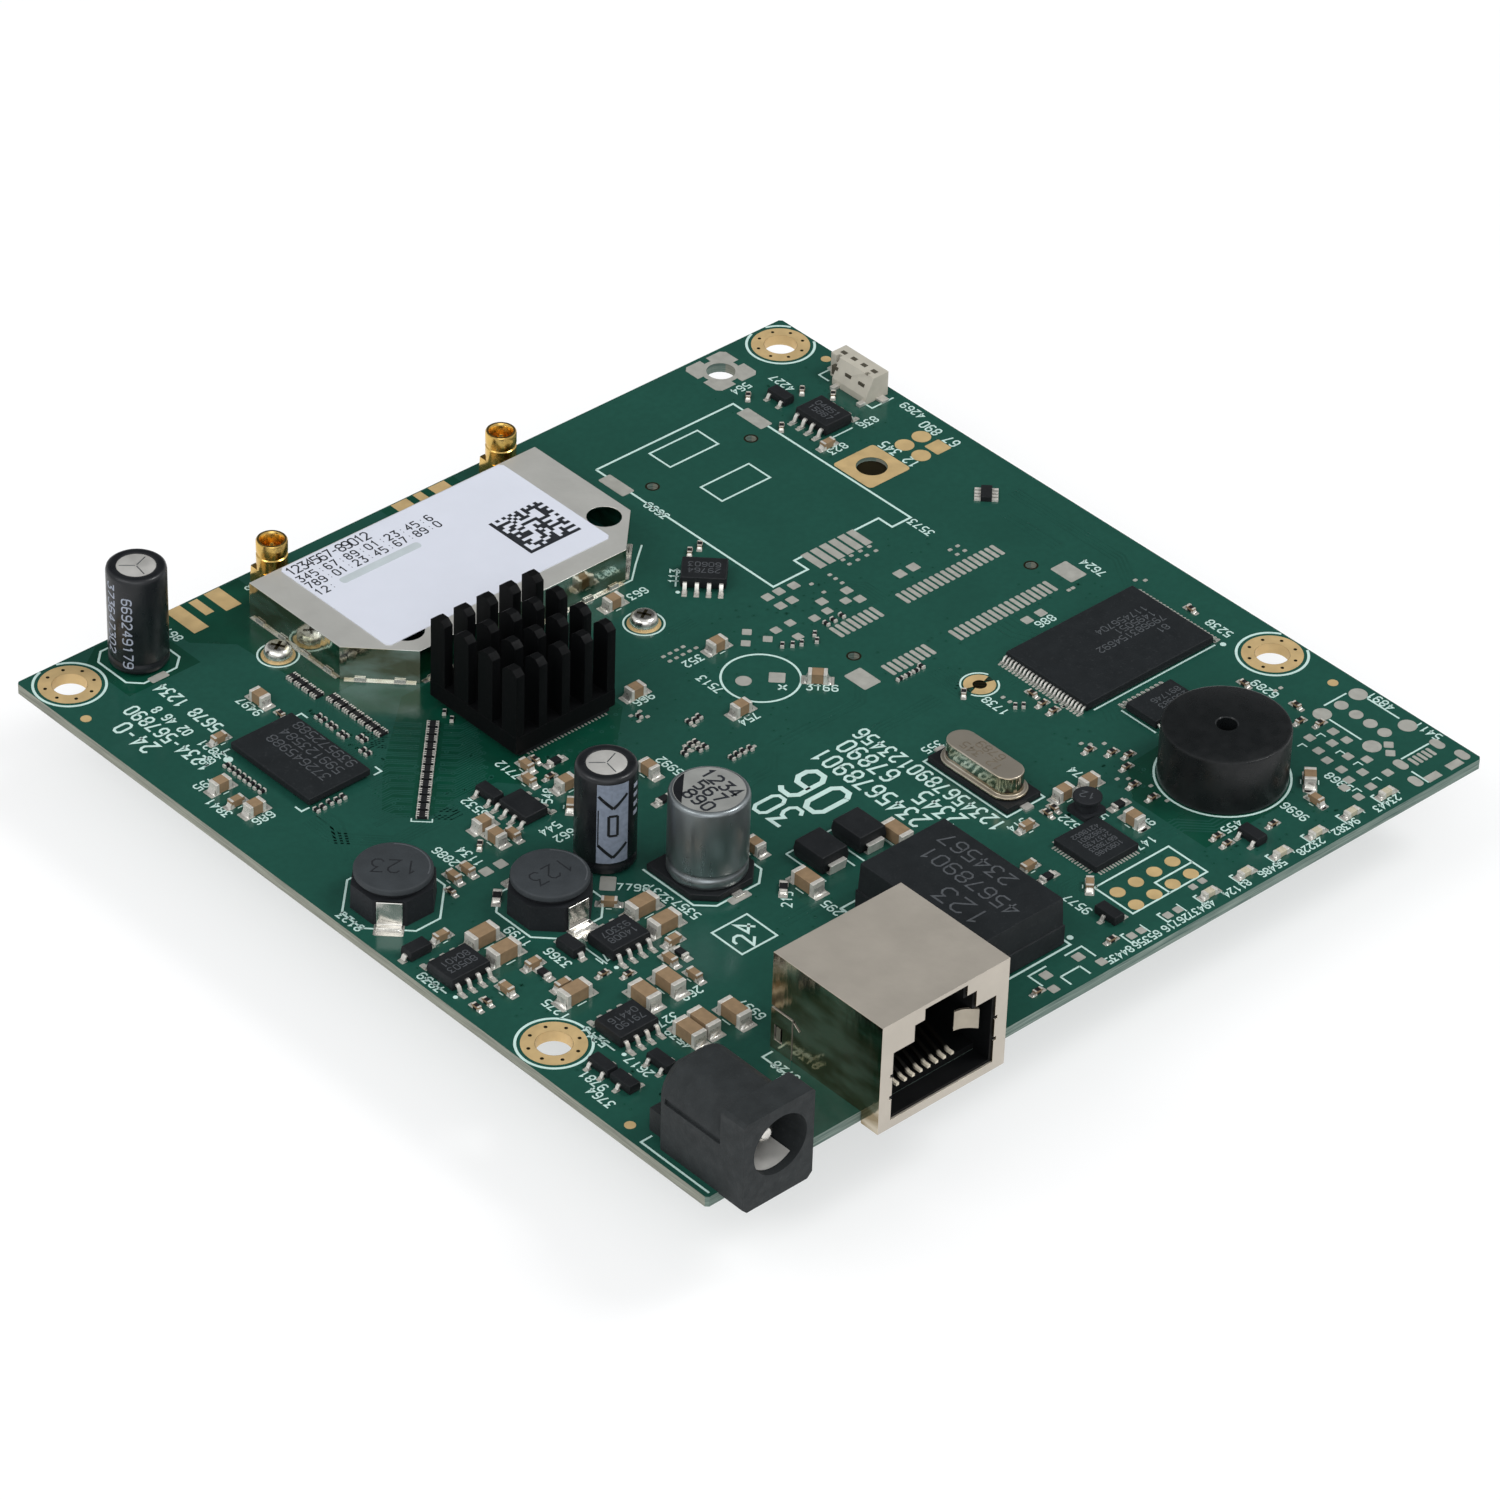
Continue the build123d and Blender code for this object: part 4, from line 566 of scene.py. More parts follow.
def make_finishes():
    """Fills FINISHES with one material for each kind of surface."""
    colours = bpy.context.scene.board_colours
    ink, gold, tin = (list(c) for c in (colours.ink, colours.gold, colours.tin))
    chip = list(colours.moulding)
    FINISHES["board"] = board_finish(colours)
    # Darker mask where no copper lies, also used as painted shadow of tall parts and for the via holes.
    FINISHES["bare_mask"] = worn("mask_without_copper_and_painted_shadow", list(colours.mask_bare), 0.18, specular=0.4,
        mottle=0.12, mottle_size=3.0, grain=0.45, depth=0.005)
    FINISHES["trace"] = worn("mask_over_trace", np.array(colours.mask) * 0.93, 0.18, specular=0.4,
        mottle=0.1, grain=0.4, depth=0.004)
    FINISHES["ink"] = worn("board_print", ink, 0.7, specular=0.3, mottle=0.06, mottle_size=1.0,
        grain=0.2, depth=0.01)
    FINISHES["gold_pad"] = worn("gold_pads", gold, 0.5, 0.35, mottle=0.07, mottle_size=1.5,
        grain=0.12, depth=0.004)
    # Painted shade standing for open holes and recesses.
    FINISHES["dark_hole"] = worn("drilled_holes_painted_shade", linear("#1a1608"), 0.9, specular=0.1)
    FINISHES["tinned_pad"] = worn("tinned_pads", tin, 0.5, 0.3, mottle=0.07, mottle_size=0.9,
        grain=0.2, depth=0.012, swing=0.15)
    FINISHES["solder"] = worn("solder_joints", linear("#cfccc4"), 0.28, 0.7, mottle=0.1,
        mottle_size=0.7, grain=0.3, depth=0.02, swing=0.12)
    FINISHES["lead"] = worn("tinned_leads", linear("#d2cfc8"), 0.4, 0.6, mottle=0.12,
        mottle_size=0.8, grain=0.1, depth=0.004)
    FINISHES["chip"] = worn("chip_moulding", chip, 0.55, specular=0.14, mottle=0.1, mottle_size=2.0,
        grain=0.09, depth=0.008, dust=0.12)
    FINISHES["chip_gloss"] = worn("dark_moulding", linear("#1b1d1f"), 0.5, specular=0.2,
        mottle=0.12, grain=0.12, depth=0.006, dust=0.1)
    FINISHES["mark"] = worn("chip_marks", linear("#4c4f52"), 0.8, specular=0.1, mottle=0.2,
        mottle_size=0.5)
    FINISHES["dust_mark"] = worn("crystal_print", linear("#6d6455"), 0.7, 0.2, mottle=0.2,
        mottle_size=0.5)
    FINISHES["leaf"] = worn("jack_spring_leaf", linear("#a49b8c"), 0.35, 0.7, mottle=0.15,
        grain=0.2)
    FINISHES["jack_black"] = worn("power_jack_moulding", linear("#2a2d2e"), 0.62, specular=0.16,
        mottle=0.14, mottle_size=1.6, grain=0.22, depth=0.02, dust=0.08)
    FINISHES["deep_black"] = worn("network_jack_moulding", linear("#0c0d0e"), 0.6, specular=0.12,
        grain=0.15, depth=0.006)
    FINISHES["network_shield"] = shield_finish("network_shield_sheet", linear("#beb6aa"),
        linear("#c4b9a6"), 0.5, 0.13, True)
    FINISHES["can"] = shield_finish("shield_can_sheet", linear("#cfcec8"), linear("#cdd2cb"), 0.5,
        0.1)
    FINISHES["contact"] = contact_finish()
    FINISHES["nickel"] = worn("nickel_plate", linear("#d8d5cf"), 0.22, 1.0, mottle=0.08, grain=0.2,
        depth=0.003, swing=0.08)
    FINISHES["crystal"] = shield_finish("crystal_case", linear("#938c80"), linear("#cfc8bd"), 0.5,
        0.12)
    FINISHES["label"] = worn("label_paper", linear("#ced1db"), 0.75, specular=0.3, mottle=0.015,
        mottle_size=4.0, grain=0.5, depth=0.012)
    FINISHES["label_ink"] = worn("label_print", linear("#23262b"), 0.8, specular=0.2, mottle=0.2,
        mottle_size=0.5)
    FINISHES["label_smear"] = worn("label_grey", linear("#b4bcbf"), 0.75, specular=0.2, mottle=0.06)
    FINISHES["tape"] = worn("thermal_tape", linear("#9b9b94"), 0.8, specular=0.2)
    FINISHES["anodised"] = worn("black_anodised", linear("#08090a"), 0.55, specular=0.1, mottle=0.2,
        mottle_size=5.0, grain=0.2, depth=0.006, stretch=(1, 1, 0.2), dust=0.05)
    FINISHES["ferrite"] = worn("inductor_resin", linear("#33373a"), 0.62, specular=0.25, mottle=0.1,
        mottle_size=1.6, grain=0.2, depth=0.012)
    FINISHES["ferrite_dark"] = worn("inductor_core", linear("#202225"), 0.6, specular=0.2,
        mottle=0.12, grain=0.2, depth=0.015, dust=0.1)
    FINISHES["aluminium"] = worn("drawn_aluminium", linear("#878d8f"), 0.32, 0.85, mottle=0.05,
        mottle_size=3.0, grain=0.25, depth=0.003, stretch=(1, 1, 0.15))
    FINISHES["can_top"] = worn("surface_can_lid", linear("#a5a6a2"), 0.5, 0.5, mottle=0.05,
        grain=0.3, depth=0.006)
    FINISHES["vent"] = worn("vent_aluminium", linear("#d2d0cb"), 0.5, 0.6, mottle=0.1, grain=0.3,
        depth=0.01)
    FINISHES["sleeve"] = worn("black_sleeve", linear("#15171a"), 0.34, specular=0.4, mottle=0.15,
        mottle_size=2.0, grain=0.8, depth=0.01)
    FINISHES["stripe"] = worn("sleeve_stripe", linear("#7f8897"), 0.55, specular=0.3, mottle=0.12,
        mottle_size=0.4, grain=0.1, depth=0.004)
    FINISHES["sleeve_mark"] = worn("sleeve_marks", linear("#9aa0ad"), 0.6, specular=0.2,
        mottle=0.15, mottle_size=0.4)
    FINISHES["buzzer"] = worn("buzzer_case", linear("#141617"), 0.3, specular=0.3, mottle=0.08,
        grain=0.16, depth=0.008)
    FINISHES["brass"] = worn("socket_gold", linear("#d8b366"), 0.22, 1.0, mottle=0.12,
        mottle_size=1.2, grain=0.15, depth=0.002, swing=0.08)
    FINISHES["insulator"] = worn("white_insulator", linear("#d8d4c8"), 0.6, specular=0.3)
    FINISHES["screw"] = worn("screw_steel", linear("#dedbd4"), 0.25, 1.0, mottle=0.15,
        mottle_size=0.8, grain=0.12, depth=0.004)
    FINISHES["beige"] = worn("connector_moulding", linear("#b0ab9e"), 0.6, specular=0.3,
        mottle=0.06, mottle_size=1.5, grain=0.2, depth=0.008)
    # Painted shade inside the side connector's openings.
    FINISHES["slot"] = worn("connector_recess_painted_shade", linear("#4b473d"), 0.8, specular=0.1)
    FINISHES["ceramic"] = worn("capacitor_ceramic", list(colours.ceramic), 0.6, specular=0.25,
        mottle=0.1, mottle_size=0.7, grain=0.08, depth=0.006)
    FINISHES["chip_end"] = worn("chip_part_ends", linear("#d6d2ca"), 0.45, 0.4, mottle=0.1,
        mottle_size=0.5, grain=0.1, depth=0.01, swing=0.15)
    FINISHES["resistor"] = worn("resistor_coat", linear("#1b1c1e"), 0.5, specular=0.25, mottle=0.12,
        mottle_size=0.5)
    FINISHES["resin"] = worn("led_resin", linear("#b8b09a"), 0.3, specular=0.5, mottle=0.08,
        mottle_size=0.4)


# Where the parts stand: x, y and turn, 0 with the long side along +X
FLASH = middle_of("flash_chip_body")
SERIAL = middle_of("serial_chip_body")
MAGNETICS = middle_of("magnetics_body")
CRYSTAL = middle_of("crystal_can")
BUZZER = middle_of("buzzer")
SMALL_COIL = middle_of("small_inductor")
SURFACE_CAN = middle_of("surface_capacitor_can")
NETWORK_JACK = middle_of("network_jack_shield")
POWER_PIN = middle_of("power_jack_pin")
INSERT = (40.55, 24.95)
PROBE_PAD = (22.1, -11.05)
CORNER_PAD = (40.45, 49.0)
SO_PLACES = [
    (-49.05, -12.7, 0), (-34.25, -19.25, 0), (-42.4, -29.65, 0), (42.4, 34.6, 90),
    (12.9, 21.0, -45),
]
SLIM_PLACE = (-27.6, 2.77, 90)
SOT_PLACES = [
    (-48.0, -32.6, 0), (-48.0, -35.8, 180), (-43.35, -35.75, 0), (5.15, -47.1, 180),
    (24.95, -47.3, 0), (41.7, 40.7, 0), (-28.6, 6.75, 0),
]
SOD_PLACES = [(-50.2, -7.75, 0), (-38.5, -17.0, 90)]
PLACES_1206 = [
    (-43.0, -22.8, 0), (-38.05, -27.3, 90), (-34.9, -27.3, 90), (-38.5, -34.3, 90),
    (-36.5, -34.1, 90), (-33.25, -34.9, 90), (-29.2, -20.2, 0), (-29.1, -16.8, 0),
    (-44.1, -10.35, 0), (-44.1, -13.6, 0), (-14.1, -24.4, 90), (-2.1, -24.4, 90),
]
PLACES_0805 = [
    (-32.3, 3.4, 0), (-32.65, 1.0, 90), (15.4, -30.2, 0), (18.6, -30.6, 0), (17.8, -37.8, 90),
    (-36.0, 34.0, 90), (-48.2, 25.1, 0), (-47.95, 20.0, 0), (-21.7, 3.15, 0), (-6.1, 10.3, 0),
    (0.2, 1.2, 0), (5.66, 10.95, 0), (2.45, 23.5, 0), (-14.1, -16.7, 90), (-13.7, -0.4, 90),
    (36.1, -44.5, 45), (9.85, 0.16, -45),
]
PLACES_0603 = [
    (-46.9, -7.5, 0), (-47.3, -17.75, 90), (-42.85, -16.5, 0), (-42.8, -20.8, 0),
    (-31.0, 0.35, 90), (-30.1, -22.5, 0), (-32.3, -24.5, 90), (-32.1, -27.85, 90),
    (8.9, -31.6, 0), (4.5, -36.4, 0), (7.1, -42.4, 45), (34.2, -47.2, 90), (-48.6, 22.15, 0),
    (-43.35, 31.45, 0), (-39.9, -1.1, 90), (-38.1, -1.07, 90), (-24.0, 6.1, 90), (-22.6, 8.1, 90),
    (-23.5, 0.3, 45), (-30.9, -14.0, -45), (39.5, 30.8, 0),
]
RESISTOR_PLACES = [
    (-42.9, -18.05, 90), (-38.6, -6.1, 45), (-30.7, -24.3, 90), (-16.2, -23.2, 45),
    (4.9, -38.7, 0), (-19.8, 6.9, 0), (18.6, -34.9, 0), (-15.7, -4.9, 0),
]
TINY_PLACES = [
    (12.1, -31.3, 90), (13.2, -31.1, 90), (22.4, -44.9, 0), (22.3, -46.4, 0), (28.1, -47.1, 0),
    (2.7, -49.9, 0), (-8.4, -51.0, 0), (24.6, -17.7, 0), (24.6, -19.3, 0), (25.0, -15.8, 90),
    (22.7, -26.4, 0), (24.2, -28.2, 0), (25.2, -29.6, 0), (23.6, -30.9, 0), (22.0, -33.5, 0),
    (22.0, -36.2, 0), (44.3, -34.7, 90), (42.6, -36.8, 0), (43.9, -38.4, 0), (42.9, -28.6, 90),
    (-41.5, -2.6, 90), (-35.9, 30.8, 90), (-21.2, 8.4, 90), (-21.9, 5.3, 0), (-34.5, 1.3, 45),
    (14.9, 25.5, 45), (16.5, 25.7, 45), (48.0, -15.8, 90), (19.7, -11.2, 45), (39.3, 43.3, 45),
    (38.1, 36.6, 45), (44.6, 40.4, 45), (46.6, 37.6, 45), (-36.8, -23.5, 0), (-38.6, -21.9, 0),
    (-51.2, -17.9, 90), (-49.9, -17.9, 90),
]
SPECK_PLACES = [(-45.4, 22.0 + 0.8 * n, 0) for n in range(8)] + [
    (-33.2, 28.1, 0), (-33.2, 27.3, 0), (-33.2, 26.3, 0), (-33.2, 25.6, 0), (-33.3, 24.4, 0),
    (-33.3, 23.7, 0), (-32.2, 22.7, 0), (-32.2, 22.0, 0), (-33.4, 20.8, 0), (-33.4, 20.0, 0),
    (-43.2, 16.1, 90), (-42.4, 16.1, 90), (-41.4, 16.2, 90), (-40.6, 16.0, 90), (-39.8, 16.1, 90),
    (-23.2, 19.0, 45), (-23.0, 20.4, 45), (-5.1, 3.2, 90), (-4.4, 3.0, 90), (-3.7, 3.2, 90),
    (-9.0, -0.5, 90), (-8.3, -0.1, 90), (-7.5, 0.2, 90), (-6.8, 0.2, 90), (-7.4, -0.9, 90),
    (-6.6, -0.9, 90), (-5.8, -4.1, 90), (-5.0, -4.0, 90), (-4.2, -4.0, 90), (-3.3, -4.1, 90),
    (16.4, -5.2, 0), (17.5, -5.2, 0), (18.6, -5.2, 0), (19.6, -5.0, 90), (22.2, -16.2, 45),
    (22.9, -16.7, 45), (11.1, 6.9, 45), (12.0, 6.3, 45), (12.9, 5.9, 45), (14.4, 5.2, 45),
    (15.0, 6.2, 45), (17.2, 6.8, 90), (18.2, 6.8, 90), (19.4, 6.8, 90), (-8.3, 7.2, 90),
]
ARRAY_PITCH = 1.26
SO_PITCH = 1.27
# Chip parts: length, width and height
CHIP_1206 = (3.2, 1.6, 1.45)
CHIP_0805 = (2.0, 1.25, 1.2)
CHIP_0603 = (1.6, 0.8, 0.8)
RESISTOR = (1.6, 0.8, 0.45)
LED = (1.6, 0.8, 0.6)
TINY = (1.0, 0.5, 0.45)
# Bent leads: width, reach where they leave the body and end, height they leave at, foot's length
FLASH_LEAD = (0.22, 9.2, 10.1, 0.5, 0.45)
MAGNETICS_LEAD = (0.45, 5.9, 6.5, 1.6, 0.35)
SERIAL_LEAD = (0.25, 2.2, 3.2, 0.5, 0.5)
SLIM_LEAD = (0.4, 1.5, 2.35, 0.5, 0.45)
SO_LEAD = (0.42, 1.95, 3.1, 0.75, 0.65)
SOD_LEAD = (0.6, 1.35, 1.85, 0.45, 0.25)
SOT_LEAD = (0.4, 0.7, 1.25, 0.45, 0.3)
ARRAY_ROWS = [(-30.5, 14.1, 46, 13), (-30.95, 33.0, 90, 4), (-30.1, 25.7, 90, 7)]
LED_PLACES = [(15.25 + 5.06 * n, -50.9) for n in range(6)]
COIL_PLACES = [(-46.45, 0.25, 45), (-35.4, -10.35, 90)]
COAX_PLACES = [(-21.8, 49.6), (9.4, 49.6)]
SCREW_PLACES = [(-29.55, 39.07), (2.85, 19.1)]
RADIAL_PLACES = [(-40.9, 47.6), (-26.3, -8.1)]


# Stage
FLOOR_REACH = 1.6
FLOOR_LEVEL = -0.0102
FLOOR_GLOW = 0.6
SKY_TINT = (0.96, 0.98, 1.0, 1.0)
DARK_PATCH_TOWARD = (0.549, 0.582, 0.599)
PANEL_TOWARD = (-0.50, -0.62, 0.605)
LAMP_RIGHT_PLACE = (0.34, -0.30, 0.60)
LAMP_LEFT_PLACE = (-0.50, 0.10, 0.50)
CAMERA_PLACE = (-0.37439, -0.40846, 0.40589)
CAMERA_BEARING = -43.328
CAMERA_RISE = 36.816
CAMERA_ROLL = 1.943
CAMERA_LENS = 160.588


def lay_floor(scene):
    """White paper that glows a little, so that only a soft shadow shows on it."""
    r = FLOOR_REACH
    mesh = bpy.data.meshes.new("floor")
    mesh.from_pydata([(-r, -r, 0), (r, -r, 0), (r, r, 0), (-r, r, 0)], [], [(0, 1, 2, 3)])
    floor = bpy.data.objects.new("floor", mesh)
    scene.collection.objects.link(floor)
    floor.location.z = FLOOR_LEVEL
    paper = Finish("floor_paper", WHITE, 0.95, specular=0.0)
    glow = paper.node("ShaderNodeEmission")
    glow.inputs["Color"].default_value = WHITE
    both = paper.node("ShaderNodeMixShader")
    both.inputs[0].default_value = FLOOR_GLOW
    output = next(n for n in paper.tree.nodes if n.type == "OUTPUT_MATERIAL")
    paper.join(paper.shader.outputs[0], both.inputs[1])
    paper.join(glow.outputs[0], both.inputs[2])
    paper.join(both.outputs[0], output.inputs[0])
    mesh.materials.append(paper.material)


def light_room(scene, stage):
    """Even light from all round, less of it from one patch and more from one soft panel.

    The strength in a direction is a smooth step of its dot product with the patch's direction,
    plus one with the panel's. The camera itself sees plain white.
    """
    world = bpy.data.worlds.new("even_light")
    scene.world = world
    world.use_nodes = True
    tree = world.node_tree
    tree.nodes.clear()
    join = tree.links.new
    output, seen, room, either, path, coords, total = (tree.nodes.new("ShaderNode" + kind) for kind in (
        "OutputWorld", "Background", "Background", "MixShader", "LightPath", "TexCoord", "Math"))
    seen.inputs["Color"].default_value = WHITE
    room.inputs["Color"].default_value = SKY_TINT
    patches = ((DARK_PATCH_TOWARD, (0.7, 0.96, stage.fill * 1.1, stage.fill * stage.dark_patch)),
               (PANEL_TOWARD, (0.88, 0.96, 0, stage.panel)))
    for slot, (toward, values) in enumerate(patches):
        dot = tree.nodes.new("ShaderNodeVectorMath")
        dot.operation = "DOT_PRODUCT"
        dot.inputs[1].default_value = toward
        join(coords.outputs["Generated"], dot.inputs[0])
        level = tree.nodes.new("ShaderNodeMapRange")
        level.interpolation_type = "SMOOTHSTEP"
        for key, value in zip(RANGE_SOCKETS, values):
            level.inputs[key].default_value = value
        join(dot.outputs["Value"], level.inputs["Value"])
        join(level.outputs[0], total.inputs[slot])
    join(total.outputs[0], room.inputs["Strength"])
    join(path.outputs["Is Camera Ray"], either.inputs[0])
    join(room.outputs[0], either.inputs[1])
    join(seen.outputs[0], either.inputs[2])
    join(either.outputs[0], output.inputs[0])


def hang_lamp(scene, name, place, power, size):
    """Square soft lamp that points at the model's origin."""
    data = bpy.data.lights.new(name, "AREA")
    data.energy = power
    data.size = size
    lamp = bpy.data.objects.new(name, data)
    lamp.location = place
    lamp.rotation_euler = (-Vector(place)).to_track_quat("-Z", "Y").to_euler()
    scene.collection.objects.link(lamp)


def set_camera(scene):
    """Camera of the photograph: its bearing and rise give its back, its roll turns it."""
    data = bpy.data.cameras.new("camera")
    data.lens = CAMERA_LENS
    data.sensor_width = 36
    data.clip_start = 0.05
    camera = bpy.data.objects.new("camera", data)
    scene.collection.objects.link(camera)
    around, rise, roll = radians(CAMERA_BEARING), radians(CAMERA_RISE), radians(CAMERA_ROLL)
    back = Vector((sin(around) * cos(rise), -cos(around) * cos(rise), sin(rise)))
    right = (-back).cross(Vector((0, 0, 1))).normalized()
    up = right.cross(-back)
    right, up = right * cos(roll) + up * sin(roll), up * cos(roll) - right * sin(roll)
    turned = Matrix((right, up, back)).transposed().to_4x4()
    camera.matrix_world = Matrix.Translation(CAMERA_PLACE) @ turned
    scene.camera = camera


class STAGE_OT_room(bpy.types.Operator):
    """Pale floor, light from all round, two soft lamps and the photograph's camera"""
    bl_idname = "board.stage"
    bl_label = "Stage and camera"

    def execute(self, context):
        scene = context.scene
        stage = scene.board_stage
        lay_floor(scene)
        light_room(scene, stage)
        hang_lamp(scene, "lamp_right", LAMP_RIGHT_PLACE, stage.key, stage.key_size)
        hang_lamp(scene, "lamp_left", LAMP_LEFT_PLACE, stage.key * 0.7, stage.key_size * 1.4)
        set_camera(scene)
        scene.view_settings.view_transform = "Standard"
        return {"FINISHED"}


# Mask, pads and print
# Darker mask zones: partly mask with no copper under it, partly painted shadow cast by tall parts such as the
# heatsink and the shield can.
BARE_MASK_AND_PAINTED_SHADOW_ZONES = [
    [(-23.6, 5.0), (-13.2, 5.0), (-8.4, 9.6), (-8.4, 25.4), (-24.5, 25.4), (-33.6, 17.4),
     (-38.2, 12.0), (-37.0, 9.4), (-34.6, 8.0), (-31.2, 8.8), (-26.5, 8.2)],
    [(-30.6, 30.2), (-24.3, 30.2), (-24.3, 52.2), (-35.2, 52.2), (-35.2, 46.6), (-31.6, 43.2)],
    [(-45.6, 43.2), (-36.4, 43.2), (-36.4, 52.2), (-43.0, 52.2), (-45.6, 50.4)],
    [(-5.0, 46.5), (5.0, 46.5), (5.0, 52.2), (-5.0, 52.2)],
    [(20.4, -45.4), (32.0, -45.4), (38.0, -36.0), (33.0, -30.0), (24.0, -30.6), (20.4, -35.0)],
]
ANTENNA_PADS = [
    (-32.85, 49.95, 1.9, 4.9), (-30.35, 50.7, 1.1, 2.9), (-27.8, 50.4, 2.0, 3.8),
    (-2.55, 49.6, 2.1, 5.4), (-0.05, 49.6, 1.1, 5.4), (2.6, 49.6, 2.2, 5.4),
]
SQUARE_PADS = [
    (-36.7, -2.24, 1.2, 0), (-34.8, -2.24, 1.2, 0), (29.26, 8.5, 1.2, 0), (31.17, 8.5, 1.2, 0),
    (15.8, 14.3, 1.1, 0), (17.4, 14.3, 1.1, 0), (15.8, 12.3, 1.1, 0), (17.4, 12.3, 1.1, 0),
    (19.3, 14.1, 1.1, 0), (19.6, 10.1, 1.1, 0), (22.95, 9.9, 1.1, 0), (22.95, 7.9, 1.1, 0),
    (18.9, 8.5, 1.0, 0), (21.6, 8.6, 1.0, 0), (17.0, 8.4, 1.0, 0), (12.5, 9.4, 1.0, 0),
    (14.5, 9.4, 1.0, 0), (13.5, 7.1, 1.0, 0), (9.98, 11.1, 1.0, 45), (8.55, 9.7, 1.0, 45),
    (10.8, 8.8, 1.0, 45), (33.7, -6.05, 1.1, 0), (35.7, -6.05, 1.1, 0), (41.5, -39.3, 1.0, 0),
    (40.6, -41.4, 1.0, 0), (42.6, -41.4, 1.0, 0), (40.1, -43.1, 1.0, 0), (42.2, -44.0, 1.0, 0),
    (40.1, -45.1, 1.0, 0), (43.3, -45.6, 1.0, 0), (44.1, -40.1, 1.0, 0), (44.1, -42.0, 1.0, 0),
    (38.1, -47.4, 1.0, 0), (39.4, -46.8, 1.0, 0), (41.4, -46.8, 1.0, 0), (40.3, -49.0, 1.0, 0),
    (38.1, -49.4, 1.0, 0), (43.3, -48.5, 1.0, 0), (46.8, -45.3, 1.0, 45), (45.9, -46.4, 1.0, 45),
    (4.8, -50.6, 0.9, 0), (6.1, -50.6, 0.9, 0), (9.8, -50.6, 0.9, 0), (11.2, -50.6, 0.9, 0),
    (14.9, -49.0, 0.8, 0), (16.3, -48.9, 0.8, 0), (-5.9, -49.6, 1.1, 0), (-1.5, -49.6, 1.1, 0),
    (-6.8, -51.6, 1.0, 0), (-0.3, -51.6, 1.0, 0), (17.7, -39.1, 0.8, 0), (34.0, -48.3, 0.7, 0),
    (34.9, -45.5, 0.7, 0), (7.0, 3.2, 1.7, 45),
]
FINE_PADS = [
    (20.9, 13.1), (23.5, 13.1), (23.5, 12.2), (23.5, 11.2), (20.9, 11.2), (0.5, 12.4), (1.4, 12.4),
    (2.3, 12.4), (3.2, 12.4), (4.1, 12.4), (0.5, 13.4), (1.4, 13.4), (2.3, 13.4), (3.2, 13.4),
    (26.4, 13.2), (27.6, 13.2), (28.9, 13.2), (30.2, 13.2), (26.4, 14.2), (27.6, 14.2),
    (28.9, 14.2), (30.2, 14.2), (36.3, 7.2), (37.4, 7.2), (36.3, 8.3), (37.4, 8.3), (40.8, -5.0),
    (41.4, -5.0), (-8.8, 6.7), (-7.6, 6.7), (-8.8, 7.9), (-7.6, 7.9), (-5.0, 3.3), (-4.2, 3.3),
    (-5.0, 2.5), (-8.0, 0.6), (-7.0, 0.6), (-8.0, -0.5), (-7.0, -0.5), (-5.6, -4.0), (-4.6, -4.0),
    (-3.6, -4.0), (-2.7, -4.0), (16.8, -5.2), (17.8, -5.2), (18.8, -5.2), (22.4, -14.2),
    (22.4, -15.2), (23.0, -25.0), (23.6, -25.7), (24.8, -26.5), (26.0, -18.3), (26.0, -19.3),
    (47.4, -8.2), (48.2, -8.9), (48.6, -15.0), (44.6, -31.4), (45.4, -31.4), (21.6, -31.6),
    (22.5, -32.3), (23.4, -34.6), (22.9, -37.4),
]


# Bundles of copper lines: start, legs of (direction, length), count, spacing and width
TRACE_BUNDLES = [
    ((-35.0, 28.0), [(0, 2.4), (45, 3.0)], 6, 0.36, 0.16),
    ((-35.0, 22.0), [(0, 3.2), (-45, 2.0)], 8, 0.36, 0.16),
    ((-44.6, 15.5), [(-90, 4.0), (-45, 6.0), (0, 8.0)], 5, 0.42, 0.2),
    ((20.0, -8.0), [(-90, 5.5), (-45, 3.0)], 6, 0.45, 0.16),
    ((46.5, -8.5), [(60, 5.0), (90, 16.0)], 4, 0.5, 0.2),
    ((-2.0, 14.0), [(0, 4.0), (45, 3.0), (0, 3.0)], 5, 0.4, 0.16),
    ((24.5, 6.2), [(90, 3.0), (135, 3.0), (90, 2.0)], 6, 0.45, 0.16),
    ((33.0, -4.6), [(-90, 1.6), (-60, 1.8)], 8, 0.8, 0.16),
    ((9.0, -41.5), [(180, 3.5), (-135, 3.0)], 8, 0.4, 0.16),
    ((12.0, -41.8), [(-90, 0.8), (-100, 1.2)], 8, 0.55, 0.16),
    ((16.0, -41.0), [(0, 5.0), (-45, 3.5), (0, 9.0)], 5, 0.5, 0.2),
    ((26.0, -12.0), [(180, 2.5), (135, 4.0), (90, 3.0)], 6, 0.5, 0.16),
    ((30.0, -21.8), [(-90, 1.2), (-120, 2.0)], 6, 0.6, 0.16),
    ((3.5, -12.0), [(20, 6.0), (0, 8.0)], 4, 0.5, 0.2),
    ((-12.0, -8.0), [(0, 8.0), (45, 4.0), (0, 12.0), (45, 5.0)], 3, 0.6, 0.25),
    ((45.5, 9.5), [(-90, 8.0)], 3, 0.6, 0.25),
    ((-46.0, 8.0), [(60, 6.0), (90, 4.0)], 3, 0.6, 0.3),
    ((-20.0, -27.0), [(0, 5.0), (45, 2.0)], 3, 0.6, 0.25),
]
